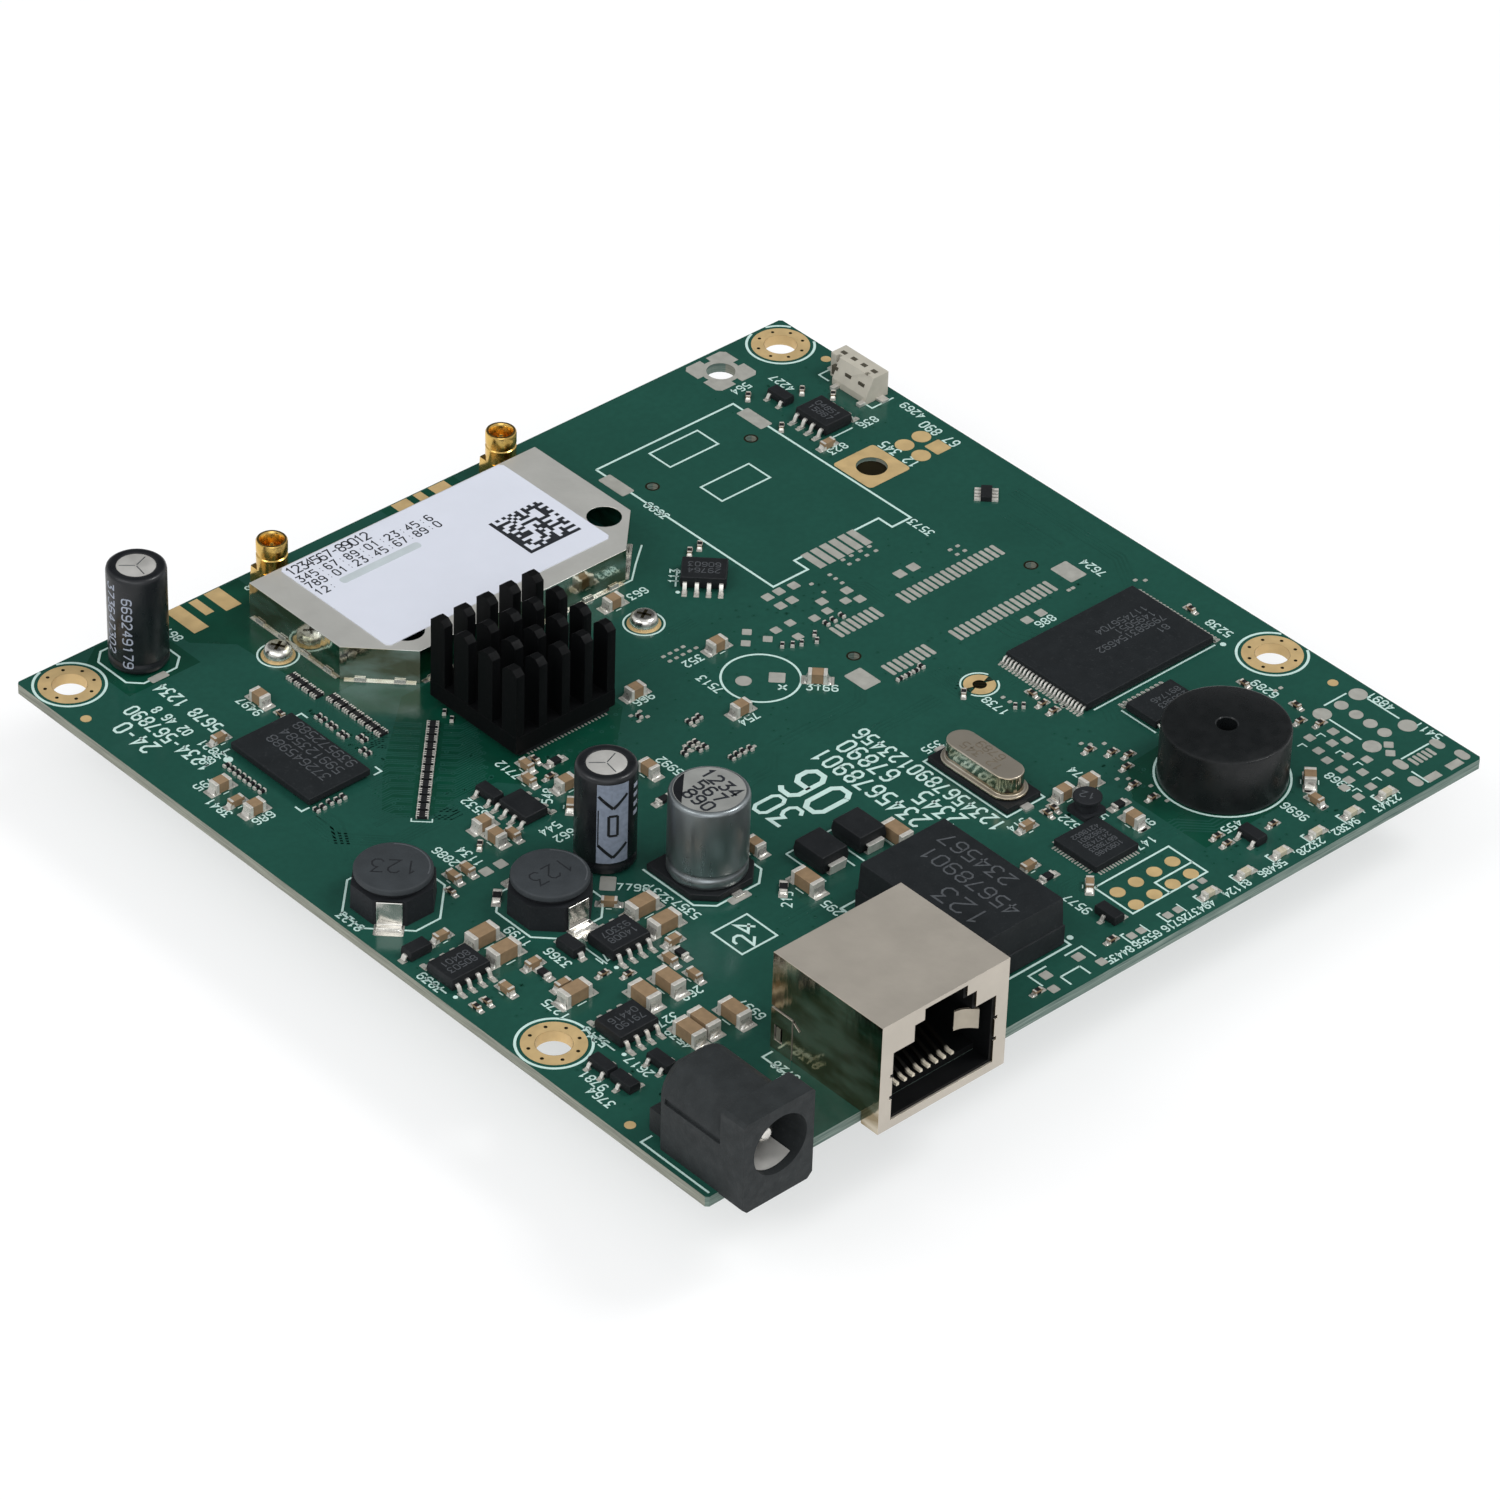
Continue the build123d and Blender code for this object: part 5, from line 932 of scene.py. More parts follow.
# Areas with vias: left, right, front, rear and count
VIA_AREAS = [
    (-37, -24, 8, 16, 60), (-33.8, -32.4, 17, 30, 30), (-22, 6, 2, 10, 50), (12, 26, -35, -22, 40),
    (8, 24, 4, 15, 60), (-52, -30, -24, -4, 60), (36, 50, 28, 46, 40), (-3, 6, -6, 4, 20),
    (20, 36, -50, -44, 20), (14, 44, -8, 0, 30), (4, 20, -48, -40, 20), (-22, -10, -30, -22, 12),
    (-50, -44, -40, -30, 12), (25, 36, 5, 16, 24),
]
BARE_MASK_AND_SHADOW_HEIGHT = 0.007
TRACE_HEIGHT = 0.012
VIA_HEIGHT = 0.014
VIA_RADIUS = 0.26


def trace_bundle(batch, start, legs, count, spacing, width):
    """Parallel copper lines: one line from start along the legs, moved along its own normals."""
    line = [np.array(start, float)]
    for turn, length in legs:
        line.append(line[-1] + length * np.array((cos(radians(turn)), sin(radians(turn)))))
    line = np.array(line)
    ahead = np.gradient(line, axis=0)
    ahead /= np.linalg.norm(ahead, axis=1)[:, None]
    side = np.c_[-ahead[:, 1], ahead[:, 0]]
    for k in range(count):
        shift = (k - (count - 1) / 2) * spacing
        batch.ribbon(line + shift * side, width, 0, TRACE_HEIGHT)


class BOARD_OT_mask(bpy.types.Operator):
    """Board's finish, darker mask where no copper lies and where the shadow of tall parts is painted, copper
    lines and vias under the mask
    """
    bl_idname = "board.mask"
    bl_label = "Board and mask"

    def execute(self, context):
        coat("board", FINISHES["board"])
        zones = Batch()
        for outline in BARE_MASK_AND_PAINTED_SHADOW_ZONES:
            zones.plate(outline, 0.0, BARE_MASK_AND_SHADOW_HEIGHT)
        zones.build("mask_without_copper_and_painted_shadow", FINISHES["bare_mask"], "solder_mask_board")

        lines = Batch()
        row_x, row_y, turn, count = ARRAY_ROWS[0]
        for k in range(count):
            along = (k - (count - 1) / 2) * ARRAY_PITCH
            x, y = row_x + along * cos(radians(turn)), row_y + along * sin(radians(turn))
            left = [(turn + 90, 1.6 + 0.2 * k), (180, 2.6)]
            right = [(turn - 90, 1.8), (0, 2.0 + 0.25 * (count - 1 - k))]
            trace_bundle(lines, (x - 0.8, y + 0.8), left, 3, 0.3, 0.16)
            trace_bundle(lines, (x + 0.8, y - 0.8), right, 3, 0.3, 0.16)
        for bundle in TRACE_BUNDLES:
            trace_bundle(lines, *bundle)
        lines.build("traces_under_mask", FINISHES["trace"], "solder_mask_board")

        vias, drills = Batch(), Batch()
        draw = np.random.default_rng(7)
        ring = circle(VIA_RADIUS, 8, 22.5)
        for left, right, front, rear, count in VIA_AREAS:
            places = draw.uniform((left, front), (right, rear), (count, 2))
            stamp(vias, places, ring, VIA_HEIGHT)
            stamp(drills, places, ring * 0.45, VIA_HEIGHT + 0.002)
        vias.build("via_rings", FINISHES["trace"], "solder_mask_board")
        drills.build("via_holes", FINISHES["bare_mask"], "solder_mask_board")
        return {"FINISHED"}


# Larger tinned pads: x, y, width, depth and turn
LARGE_PADS = [
    (43.1, -2.6, 2.3, 3.2, 0), (13.57, -2.6, 2.3, 3.2, 0), (17.2, 39.8, 1.7, 4.0, 0),
    (37.05, 39.8, 1.7, 4.0, 0), (-28.8, -11.4, 1.6, 2.25, -45), (-41.3, 43.9, 2.2, 1.0, 0),
    (-20.4, -21.4, 2.6, 1.0, 0), (12.0, -38.3, 6.4, 0.3, 0),
]
ROUND_PADS = [
    (3.98, 4.98, 0.85), (45.4, -37.3, 1.0), (50.7, -37.3, 1.0), (45.3, -44.4, 1.0), (50.65, -44.3, 1.0),
    (48, -37.5, 0.75), (48, -39.6, 0.75), (48, -41.6, 0.75), (48, -43.6, 0.75),
]
CARD_ROWS = [(26.5, 5.08, 18), (17.1, 5.08, 8), (26.2, -3.22, 18), (16.7, -3.22, 8)]
CARD_PITCH = 0.8
PEG_HOLES = [(20.05, 37.2), (34.2, 37.2), (40.9, 0.8), (15.6, 0.9)]
HOLE_RADIUS = 1.83
HOLE_PAD_RADIUS = 3.25


def gold_pads(gold, high):
    """Hole rings and walls, alignment dots, insert square, antenna, header and test pads."""
    for x, y in HOLES:
        ring_plate(gold.place(x, y), HOLE_RADIUS + 0.03, HOLE_PAD_RADIUS, 0, high)
        gold.lathe([(HOLE_RADIUS, -BOARD_TOP), (HOLE_RADIUS, high)], 40, False, False)
    stamp(gold, [(-51.3, 43.0), (50.9, 43.4), (-51.45, -40.45), (50.15, -34.25)], circle(0.57, 20), high)
    count = 36
    square, hole = rounded(6.0, 6.0, 0.5, count // 4), circle(1.72, count, 5.0)
    rows = [np.c_[outline, np.full(count, high)] for outline in (square, hole)]
    gold.place(*INSERT).grid(rows, closed_across=True)
    for x, y, width, depth in ANTENNA_PADS:
        gold.place(x, y).plate(box_outline(width, depth), 0, high)
    for y in (-44.8, -47.38):
        stamp(gold, row_of(8.6, y, 2.547, 0, 4), circle(0.8, 24), high)
    stamp(gold, [(46.05, 25.67), (48.55, 25.67), (46.05, 23.07)], circle(1.07, 28), high)
    stamp(gold, [(48.55, 23.07)], rounded(2.1, 2.1, 0.15), high)
    gold.place(*PROBE_PAD)
    for start in (14, 194):
        ring_plate(gold, 0.75, 1.7, 0, high, 20, start, 152)


def tinned_pads(tin, high):
    """Pads of the parts that aren't fitted, in rows and one by one."""
    inner = [(1.62 * cos(radians(a)), 1.62 * sin(radians(a))) for a in (16, 30, 45, 60, 74)]
    corner = np.array([(0.45, 2.95), (2.45, 2.95), (2.95, 2.45), (2.95, 0.45), *inner])[::-1]
    stamp(tin, [(*CORNER_PAD, turn) for turn in (0, 90, 180, 270)], corner, high)
    ring_plate(tin.place(*CORNER_PAD), 1.6, 2.2, 0, high * 0.8)
    for x, y, side, turn in SQUARE_PADS:
        tin.place(x, y, turn=turn).plate(rounded(side, side, 0.08, 2), 0, high)
    stamp(tin, FINE_PADS, rounded(0.5, 0.4, 0.08, 2), high)
    stamp(tin, row_of(24.0, 16.1, 1.3, 0, 6), box_outline(0.95, 3.1), high)
    for x, y, count in CARD_ROWS:
        stamp(tin, row_of(x, y, CARD_PITCH, 0, count), rounded(0.5, 2.05, 0.1, 2), high)
    for x, y, width, depth, turn in LARGE_PADS:
        tin.place(x, y, turn=turn).plate(rounded(width, depth, 0.12, 2), 0, high)
    for x, y, radius in ROUND_PADS:
        tin.place(x, y).plate(circle(radius, 24), 0, high)
    stamp(tin, row_of(46.64, -48.9, 0.655, 0, 5), rounded(0.4, 1.4, 0.1, 2), high)
    stamp(tin, [(45.3, -48.4), (50.7, -48.4), (44.4, -51.3), (51.3, -51.3)], rounded(1.1, 1.8, 0.5, 5), high)
    stamp(tin, [(46.3, -51.9), (49.5, -51.9)], box_outline(1.9, 1.0), high)
    for x in (8.82, 15.2):
        stamp(tin, row_of(x, -35.6, 0, -0.4, 14), box_outline(0.55, 0.2), high)
    for y in (-41.5, -35.1):
        stamp(tin, row_of(9.4, y, 0.4, 0, 14), box_outline(0.2, 0.55), high)
    stamp(tin, row_of(-20.9, 9.9, 0.45, 0, 24), box_outline(0.2, 0.6), high)
    stamp(tin, row_of(-9.9, 10.9, 0, 0.45, 24), box_outline(0.6, 0.2), high)


def dark_dots(dark, high):
    """Small drilled holes as dark discs and rings, painted shade of the open holes: in the hole rings, round
    the pegs, in the insert and the test pad.
    """
    for hole in HOLES:
        stamp(dark, circle(2.57, 8, 22.5) + hole, circle(0.2, 12), high + 0.006)
    for x, y in PEG_HOLES:
        ring_plate(dark.place(x, y), 0.6, 0.8, 0, 0.01, 24)
    # Painted shade: a dark disc sunk half a millimetre into the insert's hole.
    dark.place(*INSERT).plate(circle(1.67, 24), -0.5, -0.4)
    dark.place(*PROBE_PAD).plate(circle(0.78, 24), 0, 0.012)
    for side in (-1.2, 1.2):
        dark.plate(box_outline(0.95, 0.62) + (side, 0), 0, 0.01)


class BOARD_OT_pads(bpy.types.Operator):
    """Gold and tinned pads, rings and rows of contacts on the board's top"""
    bl_idname = "board.pads"
    bl_label = "Pads"

    def execute(self, context):
        high = context.scene.board_sizes.pad_height
        gold, tin, dark = Batch(), Batch(), Batch()
        gold_pads(gold, high)
        gold.build("gold_pads", FINISHES["gold_pad"], "solder_mask_board", 30)
        tinned_pads(tin, high)
        tin.build("tinned_pads", FINISHES["tinned_pad"], "solder_mask_board", 30)
        dark_dots(dark, high)
        dark.build("drilled_dots_painted_shade", FINISHES["dark_hole"], "solder_mask_board")
        return {"FINISHED"}


# Numbers beside the parts: x, y and turn
NUMBERS = [
    (-51.9, 0.3, 90), (-38.2, 2.2, 90), (-36.3, 0.7, 90), (-30.8, 6.5, 90), (-24.2, 9.0, 90),
    (-24.0, 3.2, 45), (-27.4, -1.0, 180), (-27.0, -2.8, 180), (-27.3, -13.5, -45), (-40.2, -17.0, 90),
    (-52.0, -12.0, 90), (-41.0, -12.0, 90), (-26.0, -15.8, 90), (-6.0, 9.2, 180), (2.3, 10.9, 180),
    (1.0, 6.8, 90), (0.0, -0.2, 180), (9.4, -1.1, -45), (-11.4, -0.9, 90), (5.8, 23.5, 180),
    (36.8, 13.3, 90), (45.6, -3.7, 90), (35.0, -7.4, 180), (20.8, -14.7, 90), (-37.4, 34.0, 90),
    (-50.3, 22.8, 90), (-48.0, 18.6, 180), (-49.0, 26.7, 180), (44.0, 43.0, 90), (46.0, 31.4, 180),
    (40.0, 29.8, 180), (39.8, 45.1, 180), (51.3, 30.0, 90), (-44.8, 31.0, 90), (4.6, 28.2, 180),
    (17.4, 33.6, 90), (48.0, -19.9, 90), (44.0, -30.4, 90), (31.4, -46.9, 90), (38.4, -46.3, 90),
    (51.6, -39.6, 90), (51.6, -46.2, 90), (-38.4, -31.0, 180), (-34.0, -29.5, 180), (-45.4, -28.4, 90),
    (-39.4, -33.8, 90), (-31.2, -35.0, 90), (-45.5, -22.9, 90), (-49.8, -33.3, 90), (-50.9, -35.6, 90),
    (-45.1, -34.5, 90), (-36.6, -20.0, 180), (-25.6, -19.4, 90), (-17.0, -24.6, 45), (-14.6, -28.9, 90),
    (4.2, -43.6, 90), (16.1, -33.8, 90), (12.9, -34.0, 90), (19.2, -28.9, 90), (18.2, -38.8, 180),
    (8.6, -30.6, 180), (16.3, -40.9, 180), (24.8, -44.6, 180), (10.9, 23.4, 45), (-32.0, -3.8, 45),
    (-35.6, 49.3, 90), (-24.3, 49.0, 90), (-35.0, -44.0, 90), (-45.9, 29.5, 0), (11.0, -15.7, 180),
]
FRONT_ROW = [1.7, 5.5, 9.5, 13.0, 18.0, 23.0, 28.5, 33.5, 39.5]
FRONT_ROW_Y = -51.95
# Larger rows of numbers: x, y, turn, marks, height and weight
LARGE_NUMBERS = [
    (-46.9, 35.2, 90, "1234-567890", 1.6, 0.24), (-49.4, 37.4, 90, "24-0", 1.9, 0.28),
    (-44.9, 37.2, 90, "02 46 8", 1.1, 0.2), (-42.2, 38.0, 90, "5678 1234", 1.45, 0.24),
    (1.6, -17.2, 90, "12345678901", 2.1, 0.3), (4.5, -17.8, 90, "2345  67890", 2.1, 0.3),
    (7.1, -19.2, 90, "1234567890123456", 1.75, 0.26), (44.4, 24.9, 90, "12 345", 1.25, 0.18),
    (50.4, 24.9, 90, "67 890", 1.25, 0.18), (-8.0, -13.1, 90, "30", 3.4, 0.42),
    (-3.1, -13.1, 90, "06", 4.8, 0.6),
]
# Arcs of the printed ring that each mounting hole has inside the board's edges: start, sweep
HOLE_ARCS = (((106, 328),), ((30, 44), (106, 224)), ((0, 360),), ((30, 300),))
EIGHT_SIDES = [(-1, 0.55), (-1, -0.55), (-0.55, -1), (0.55, -1), (1, -0.55), (1, 0.55), (0.55, 1), (-0.55, 1)]


class BOARD_OT_print(bpy.types.Operator):
    """Printed outlines, rings, brackets and plain numbers on the mask"""
    bl_idname = "board.ink"
    bl_label = "Print"

    def execute(self, context):
        low, high = 0.001, context.scene.board_sizes.ink_height
        ink = Batch()

        def line(points, width=0.22, closed=False):
            ink.place(0, 0).ribbon(points, width, low, high, closed)

        def box(left, right, front, rear, width=0.22):
            line([(left, front), (right, front), (right, rear), (left, rear)], width, True)

        def ring(x, y, radius, width=0.24, start=0.0, sweep=360.0):
            ink.place(x, y)
            ring_plate(ink, radius - width / 2, radius + width / 2, low, high, 56, start, sweep)

        def dot(x, y, radius, count=16):
            ink.place(x, y).plate(circle(radius, count), low, high)

        for (x, y), arcs in zip(HOLES, HOLE_ARCS):
            for start, sweep in arcs:
                ring(x, y, 3.75, 0.28, start, sweep)
        line([(-36.4, -44.4), (-35.2, -44.4), (-35.2, -41.05), (-33.9, -41.05)])
        line([(-50.9, -42.95), (-52.3, -42.95), (-52.3, -52.5)])
        line([(17.5, 43.4), (37.2, 43.4), (37.2, 15.3), (34.5, 15.3), (34.5, 17.4), (31.0, 17.4)], 0.26)
        line([(17.5, 43.4), (17.5, 15.3), (22.4, 15.3), (22.4, 17.4), (23.5, 17.4)], 0.26)
        box(23.9, 30.8, 38.7, 42.05)
        box(23.9, 30.8, 30.4, 33.8)
        ring(5.67, 4.2, 4.14, 0.24)
        line([(5.7, 1.6), (6.9, 1.6)], 0.2)
        line([(6.3, 1.0), (6.3, 2.2)], 0.2)
        for start in (20, 200):
            ring(*PROBE_PAD, 2.0, 0.2, start, 140)
        box(7.36, 17.7, -48.2, -42.8)
        line([(12.5, -48.2), (12.5, -46.1), (17.7, -46.1)])
        ring(*BUZZER, 6.95, 0.24)
        line([(-13.95, -47.7), (-0.74, -47.7), (-0.74, -29.1), (-13.95, -29.1)], 0.24, True)
        dot(0.0, -46.9, 0.35)
        box(8.7, 13.9, -29.0, -16.9)
        for x in (-12.2, -8.3, -7.05, -3.1):
            line([(x, -25.0), (x, -19.2)], 0.2)
        for x in (-10.2, -5.1):
            line([(x - 2.0, -19.2), (x + 2.0, -19.2)], 0.2)
        line([(-38.9, 44.0), (-43.1, 44.0), (-44.4, 45.3), (-44.4, 49.9), (-43.1, 51.2), (-38.9, 51.2),
              (-37.5, 49.9), (-37.5, 45.3)], 0.24, True)
        for x, y in SCREW_PLACES:
            ring(x, y, 2.15, 0.2)
        line([(-26.9, 34.0), (-26.9, 43.0)], 0.2)
        line([(12.0, 29.8), (9.2, 27.6), (7.0, 25.7), (4.6, 25.7)], 0.2)
        for x, y, across, up in ((-44.4, 17.0, 1, 1), (-34.1, 17.0, -1, 1), (-44.4, 29.7, 1, -1),
                                 (-34.1, 29.7, -1, -1)):
            line([(x + across, y), (x, y), (x, y + up)], 0.2)
        dot(-44.6, 28.4, 0.5, 20)
        line([(28.0, -21.75), (45.6, -21.75)], 0.2)
        dot(46.3, -22.2, 0.33)
        line([(30.1, -28.6), (30.1, -23.6)], 0.2)
        dot(36.9, -23.8, 0.28)
        for (x, y, turn), half in zip(COIL_PLACES, (4.8, 4.7)):
            c, s = (cos(radians(turn)), sin(radians(turn))) if turn < 90 else (1.0, 0.0)
            points = [(x + half * (a * c - b * s), y + half * (a * s + b * c)) for a, b in EIGHT_SIDES]
            line(points, 0.22, True)
        line([(-24.67, -11.9), (-24.67, -19.4), (-23.0, -20.95), (-17.4, -20.95), (-15.7, -19.4),
              (-15.7, -11.9)], 0.24)
        line([(48.2, 35.0), (48.2, 33.1), (51.4, 33.1)], 0.2)
        line([(48.2, 40.0), (48.2, 41.6), (51.4, 41.6)], 0.2)
        line([(46.6, -36.4), (49.9, -36.4)], 0.2)
        for x in (45.3, 50.9):
            line([(x, -38.4), (x, -42.9)], 0.2)
        line([(46.0, -47.8), (50.1, -47.8)], 0.2)
        line([(45.3, -49.9), (45.3, -52.3)], 0.2)
        for x, y in ((40.2, -39.5), (42.9, -39.5), (42.3, -42.8), (42.3, -45.3), (39.0, -48.3),
                     (41.9, -48.3)):
            line([(x - 0.7, y), (x, y), (x, y - 0.7)], 0.14)
        for x, y in LED_PLACES + [(5.45, -50.6), (10.5, -50.6)]:
            left, rear, front = x - 1.45, y + 0.75, y - 0.75
            line([(x - 1.0, rear), (left, rear), (left, front), (x - 1.0, front)], 0.18)
            line([(x + 1.2, rear), (x + 1.2, front)], 0.14)
        line([(-7.3, -50.6), (-7.3, -48.6), (-4.9, -48.6)], 0.2)
        line([(-2.4, -48.6), (-0.1, -48.6), (-0.1, -50.6)], 0.2)
        line([(-5.0, -50.7), (-2.4, -50.7)], 0.2)
        line([(-5.0, -50.7), (-5.0, -52.2)], 0.2)
        line([(-2.4, -50.7), (-2.4, -52.2)], 0.2)
        for x, y, turn in SO_PLACES:
            ink.place(x, y, turn=turn)
            ink.ribbon([(-2.9, -1.6), (-2.9, 1.6)], 0.18, low, high)
            ink.plate(circle(0.25, 12) + (-2.6, -2.6), low, high)
        x, y, turn, count = ARRAY_ROWS[0]
        end = -(ARRAY_PITCH * count / 2 + 0.25)
        ink.place(x, y, turn=turn)
        ink.ribbon([(end + 0.5, -1.05), (end, -1.05), (end, 1.05), (end + 0.5, 1.05)], 0.14, low, high)
        for places, (long, wide, _) in ((PLACES_1206, CHIP_1206), (PLACES_0805, CHIP_0805),
                                        (PLACES_0603, CHIP_0603)):
            for x, y, turn in places:
                ink.place(x, y, turn=turn)
                for side in (-1, 1):
                    off = side * (wide / 2 + 0.28)
                    ink.ribbon([(-0.18 * long, off), (0.18 * long, off)], 0.12, low, high)

        draw = np.random.default_rng(3)
        for x, y, turn in NUMBERS:
            words = "".join(str(n) for n in draw.integers(1, 10, 4 if turn in (90, -45) else 3))
            ink.place(x, y, turn=turn)
            write(ink, words, 1.0, 0.16, low, high, 0.88, True, 0.85)
        for x in FRONT_ROW:
            words = "".join(str(n) for n in draw.integers(1, 10, 5))
            ink.place(x, FRONT_ROW_Y, turn=180)
            write(ink, words, 0.9, 0.15, low, high, 0.8, True, 0.8)
        for x, y, turn, words, height, weight in LARGE_NUMBERS:
            ink.place(x, y, turn=turn)
            write(ink, words, height, weight, low, high, 0.76, True, 0.72)
        box(-26.2, -21.6, -28.2, -23.8)
        ink.place(-23.9, -26.0, turn=45)
        write(ink, "24", 2.0, 0.3, low, high)
        ink.build("print_on_mask", FINISHES["ink"], "solder_mask_board")
        return {"FINISHED"}


# Chips and small parts
def gull(batch, width, root, tip, leave, foot, thick=0.16):
    """Bent lead along +X of the batch's place: level, down, and level again on its foot."""
    rise = leave + 0.02
    spine = np.array([(root - 0.05, rise), (root + 0.3 * (tip - root - foot), rise),
                      (root + 0.52 * (tip - root - foot), rise * 0.86), (tip - foot - 0.02, 0.14),
                      (tip - foot + 0.1, 0.04), (tip, 0.03)])
    ahead = np.gradient(spine, axis=0)
    ahead /= np.linalg.norm(ahead, axis=1)[:, None]
    up = spine + np.c_[-ahead[:, 1], ahead[:, 0]] * thick
    ring = np.concatenate([spine, up[::-1]])
    rows = [np.c_[ring[:, 0], np.full(len(ring), side), ring[:, 1]] for side in (-width / 2, width / 2)]
    batch.tube(rows[::-1])


def fillet(batch, start, width, height, reach, low=0.0):
    """Solder that climbs the end of a part at x = start and runs out to x = start + reach.

    Its height falls as the square of the way left, and it widens a little as it falls.
    """
    t = np.linspace(0, 1, 5)
    tall = low + 0.03 + height * (1 - t) ** 2
    half = width / 2 * (0.96 + 0.14 * t)
    across = np.array([-1.0, -0.8, 0.8, 1.0])
    lift = np.array([0.0, 1.0, 1.0, 0.0])
    x = np.repeat((start - 0.02 + reach * t)[:, None], 4, 1)
    rows = np.stack([x, half[:, None] * across, low + (tall - low)[:, None] * lift], 2)
    batch.grid(rows[:, ::-1])


class BOARD_OT_chip_parts(bpy.types.Operator):
    """Ceramic capacitors, resistors and lamps with metal ends and solder at each end"""
    bl_idname = "board.chip_parts"
    bl_label = "Chip parts"

    def execute(self, context):
        reach = context.scene.board_sizes.fillet_reach
        solder, ends, pads = Batch(), Batch(), Batch()
        for places, (long, wide, high) in (
                (PLACES_1206, CHIP_1206), (PLACES_0805, CHIP_0805), (PLACES_0603, CHIP_0603),
                (RESISTOR_PLACES, RESISTOR), (LED_PLACES, LED), (TINY_PLACES, TINY)):
            pad = rounded(0.75 * reach + 0.45 * min(long, 2), wide * 1.16, 0.06, 2)
            pad = pad + (long / 2 + 0.2 * reach, 0)
            for x, y, *turned in places:
                turn = turned[0] if turned else 0
                for half in (0, 180):
                    solder.place(x, y, 0.02, turn + half)
                    fillet(solder, long / 2, wide * 1.02, high * 0.62, reach * min(1, 0.35 + high / 1.3))
                    pads.place(x, y, 0, turn + half).plate(pad, 0, 0.03)
        for places, (long, wide, high), cap in ((PLACES_0603, CHIP_0603, 0.32), (TINY_PLACES, TINY, 0.24)):
            outline = rounded(cap + 0.01, wide + 0.03, 0.03, 2) + (long / 2 - cap / 2 + 0.01, 0)
            for x, y, turn in places:
                for half in (0, 180):
                    ends.place(x, y, 0.01, turn + half).plate(outline, 0, high + 0.012, 0.03)
        for x, y, turn, count in ARRAY_ROWS:
            for k in range(count):
                along = (k - (count - 1) / 2) * ARRAY_PITCH
                for side in (-1, 1):
                    for step in (-0.33, 0.0, 0.33):
                        ends.place(x, y, 0.0, turn)
                        ends.plate(box_outline(0.2, 0.36) + (along + step, side * 0.46), 0, 0.37, 0.02)
        ends.place(46.2, 13.1, 0.0, 45)
        for side in (-1, 1):
            for step in (-0.9, -0.3, 0.3, 0.95):
                ends.plate(box_outline(0.36, 0.75) + (step, side * 0.92), 0, 0.25, 0.02)
        covers, specks = Batch(), Batch()
        for x, y, turn in TINY_PLACES:
            covers.place(x, y, 0.01, turn).plate(box_outline(0.52, 0.52), 0, 0.455, 0.02)
        for x, y, turn in SPECK_PLACES:
            specks.place(x, y, 0.01, turn).plate(box_outline(0.46, 0.4), 0, 0.3, 0.02)
            for side in (-0.32, 0.32):
                ends.place(x, y, 0.01, turn).plate(box_outline(0.22, 0.42) + (side, 0), 0, 0.31, 0.02)
        covers.build("tiny_part_covers", FINISHES["resistor"], "resistor_film", 30)
        specks.build("smallest_resistors", FINISHES["resistor"], "resistor_film", 30)
        solder.build("solder_fillets", FINISHES["solder"], "tinned_lead", 50)
        pads.build("chip_part_pads", FINISHES["tinned_pad"], "solder_mask_board", 30)
        ends.build("small_part_ends", FINISHES["chip_end"], "tinned_lead", 30)
        for node, finish, width in (
                ("chip_capacitor_bodies", "ceramic", 0.05), ("chip_capacitor_ends", "chip_end", 0.06),
                ("chip_resistor_bodies", "resistor", 0.03), ("chip_resistor_ends", "chip_end", 0.04),
                ("small_chip_parts", "ceramic", 0.03), ("resistor_arrays", "resistor", 0.03),
                ("led_bodies", "resin", 0.05), ("led_ends", "chip_end", 0.04)):
            dress(node, FINISHES[finish], width)
        return {"FINISHED"}


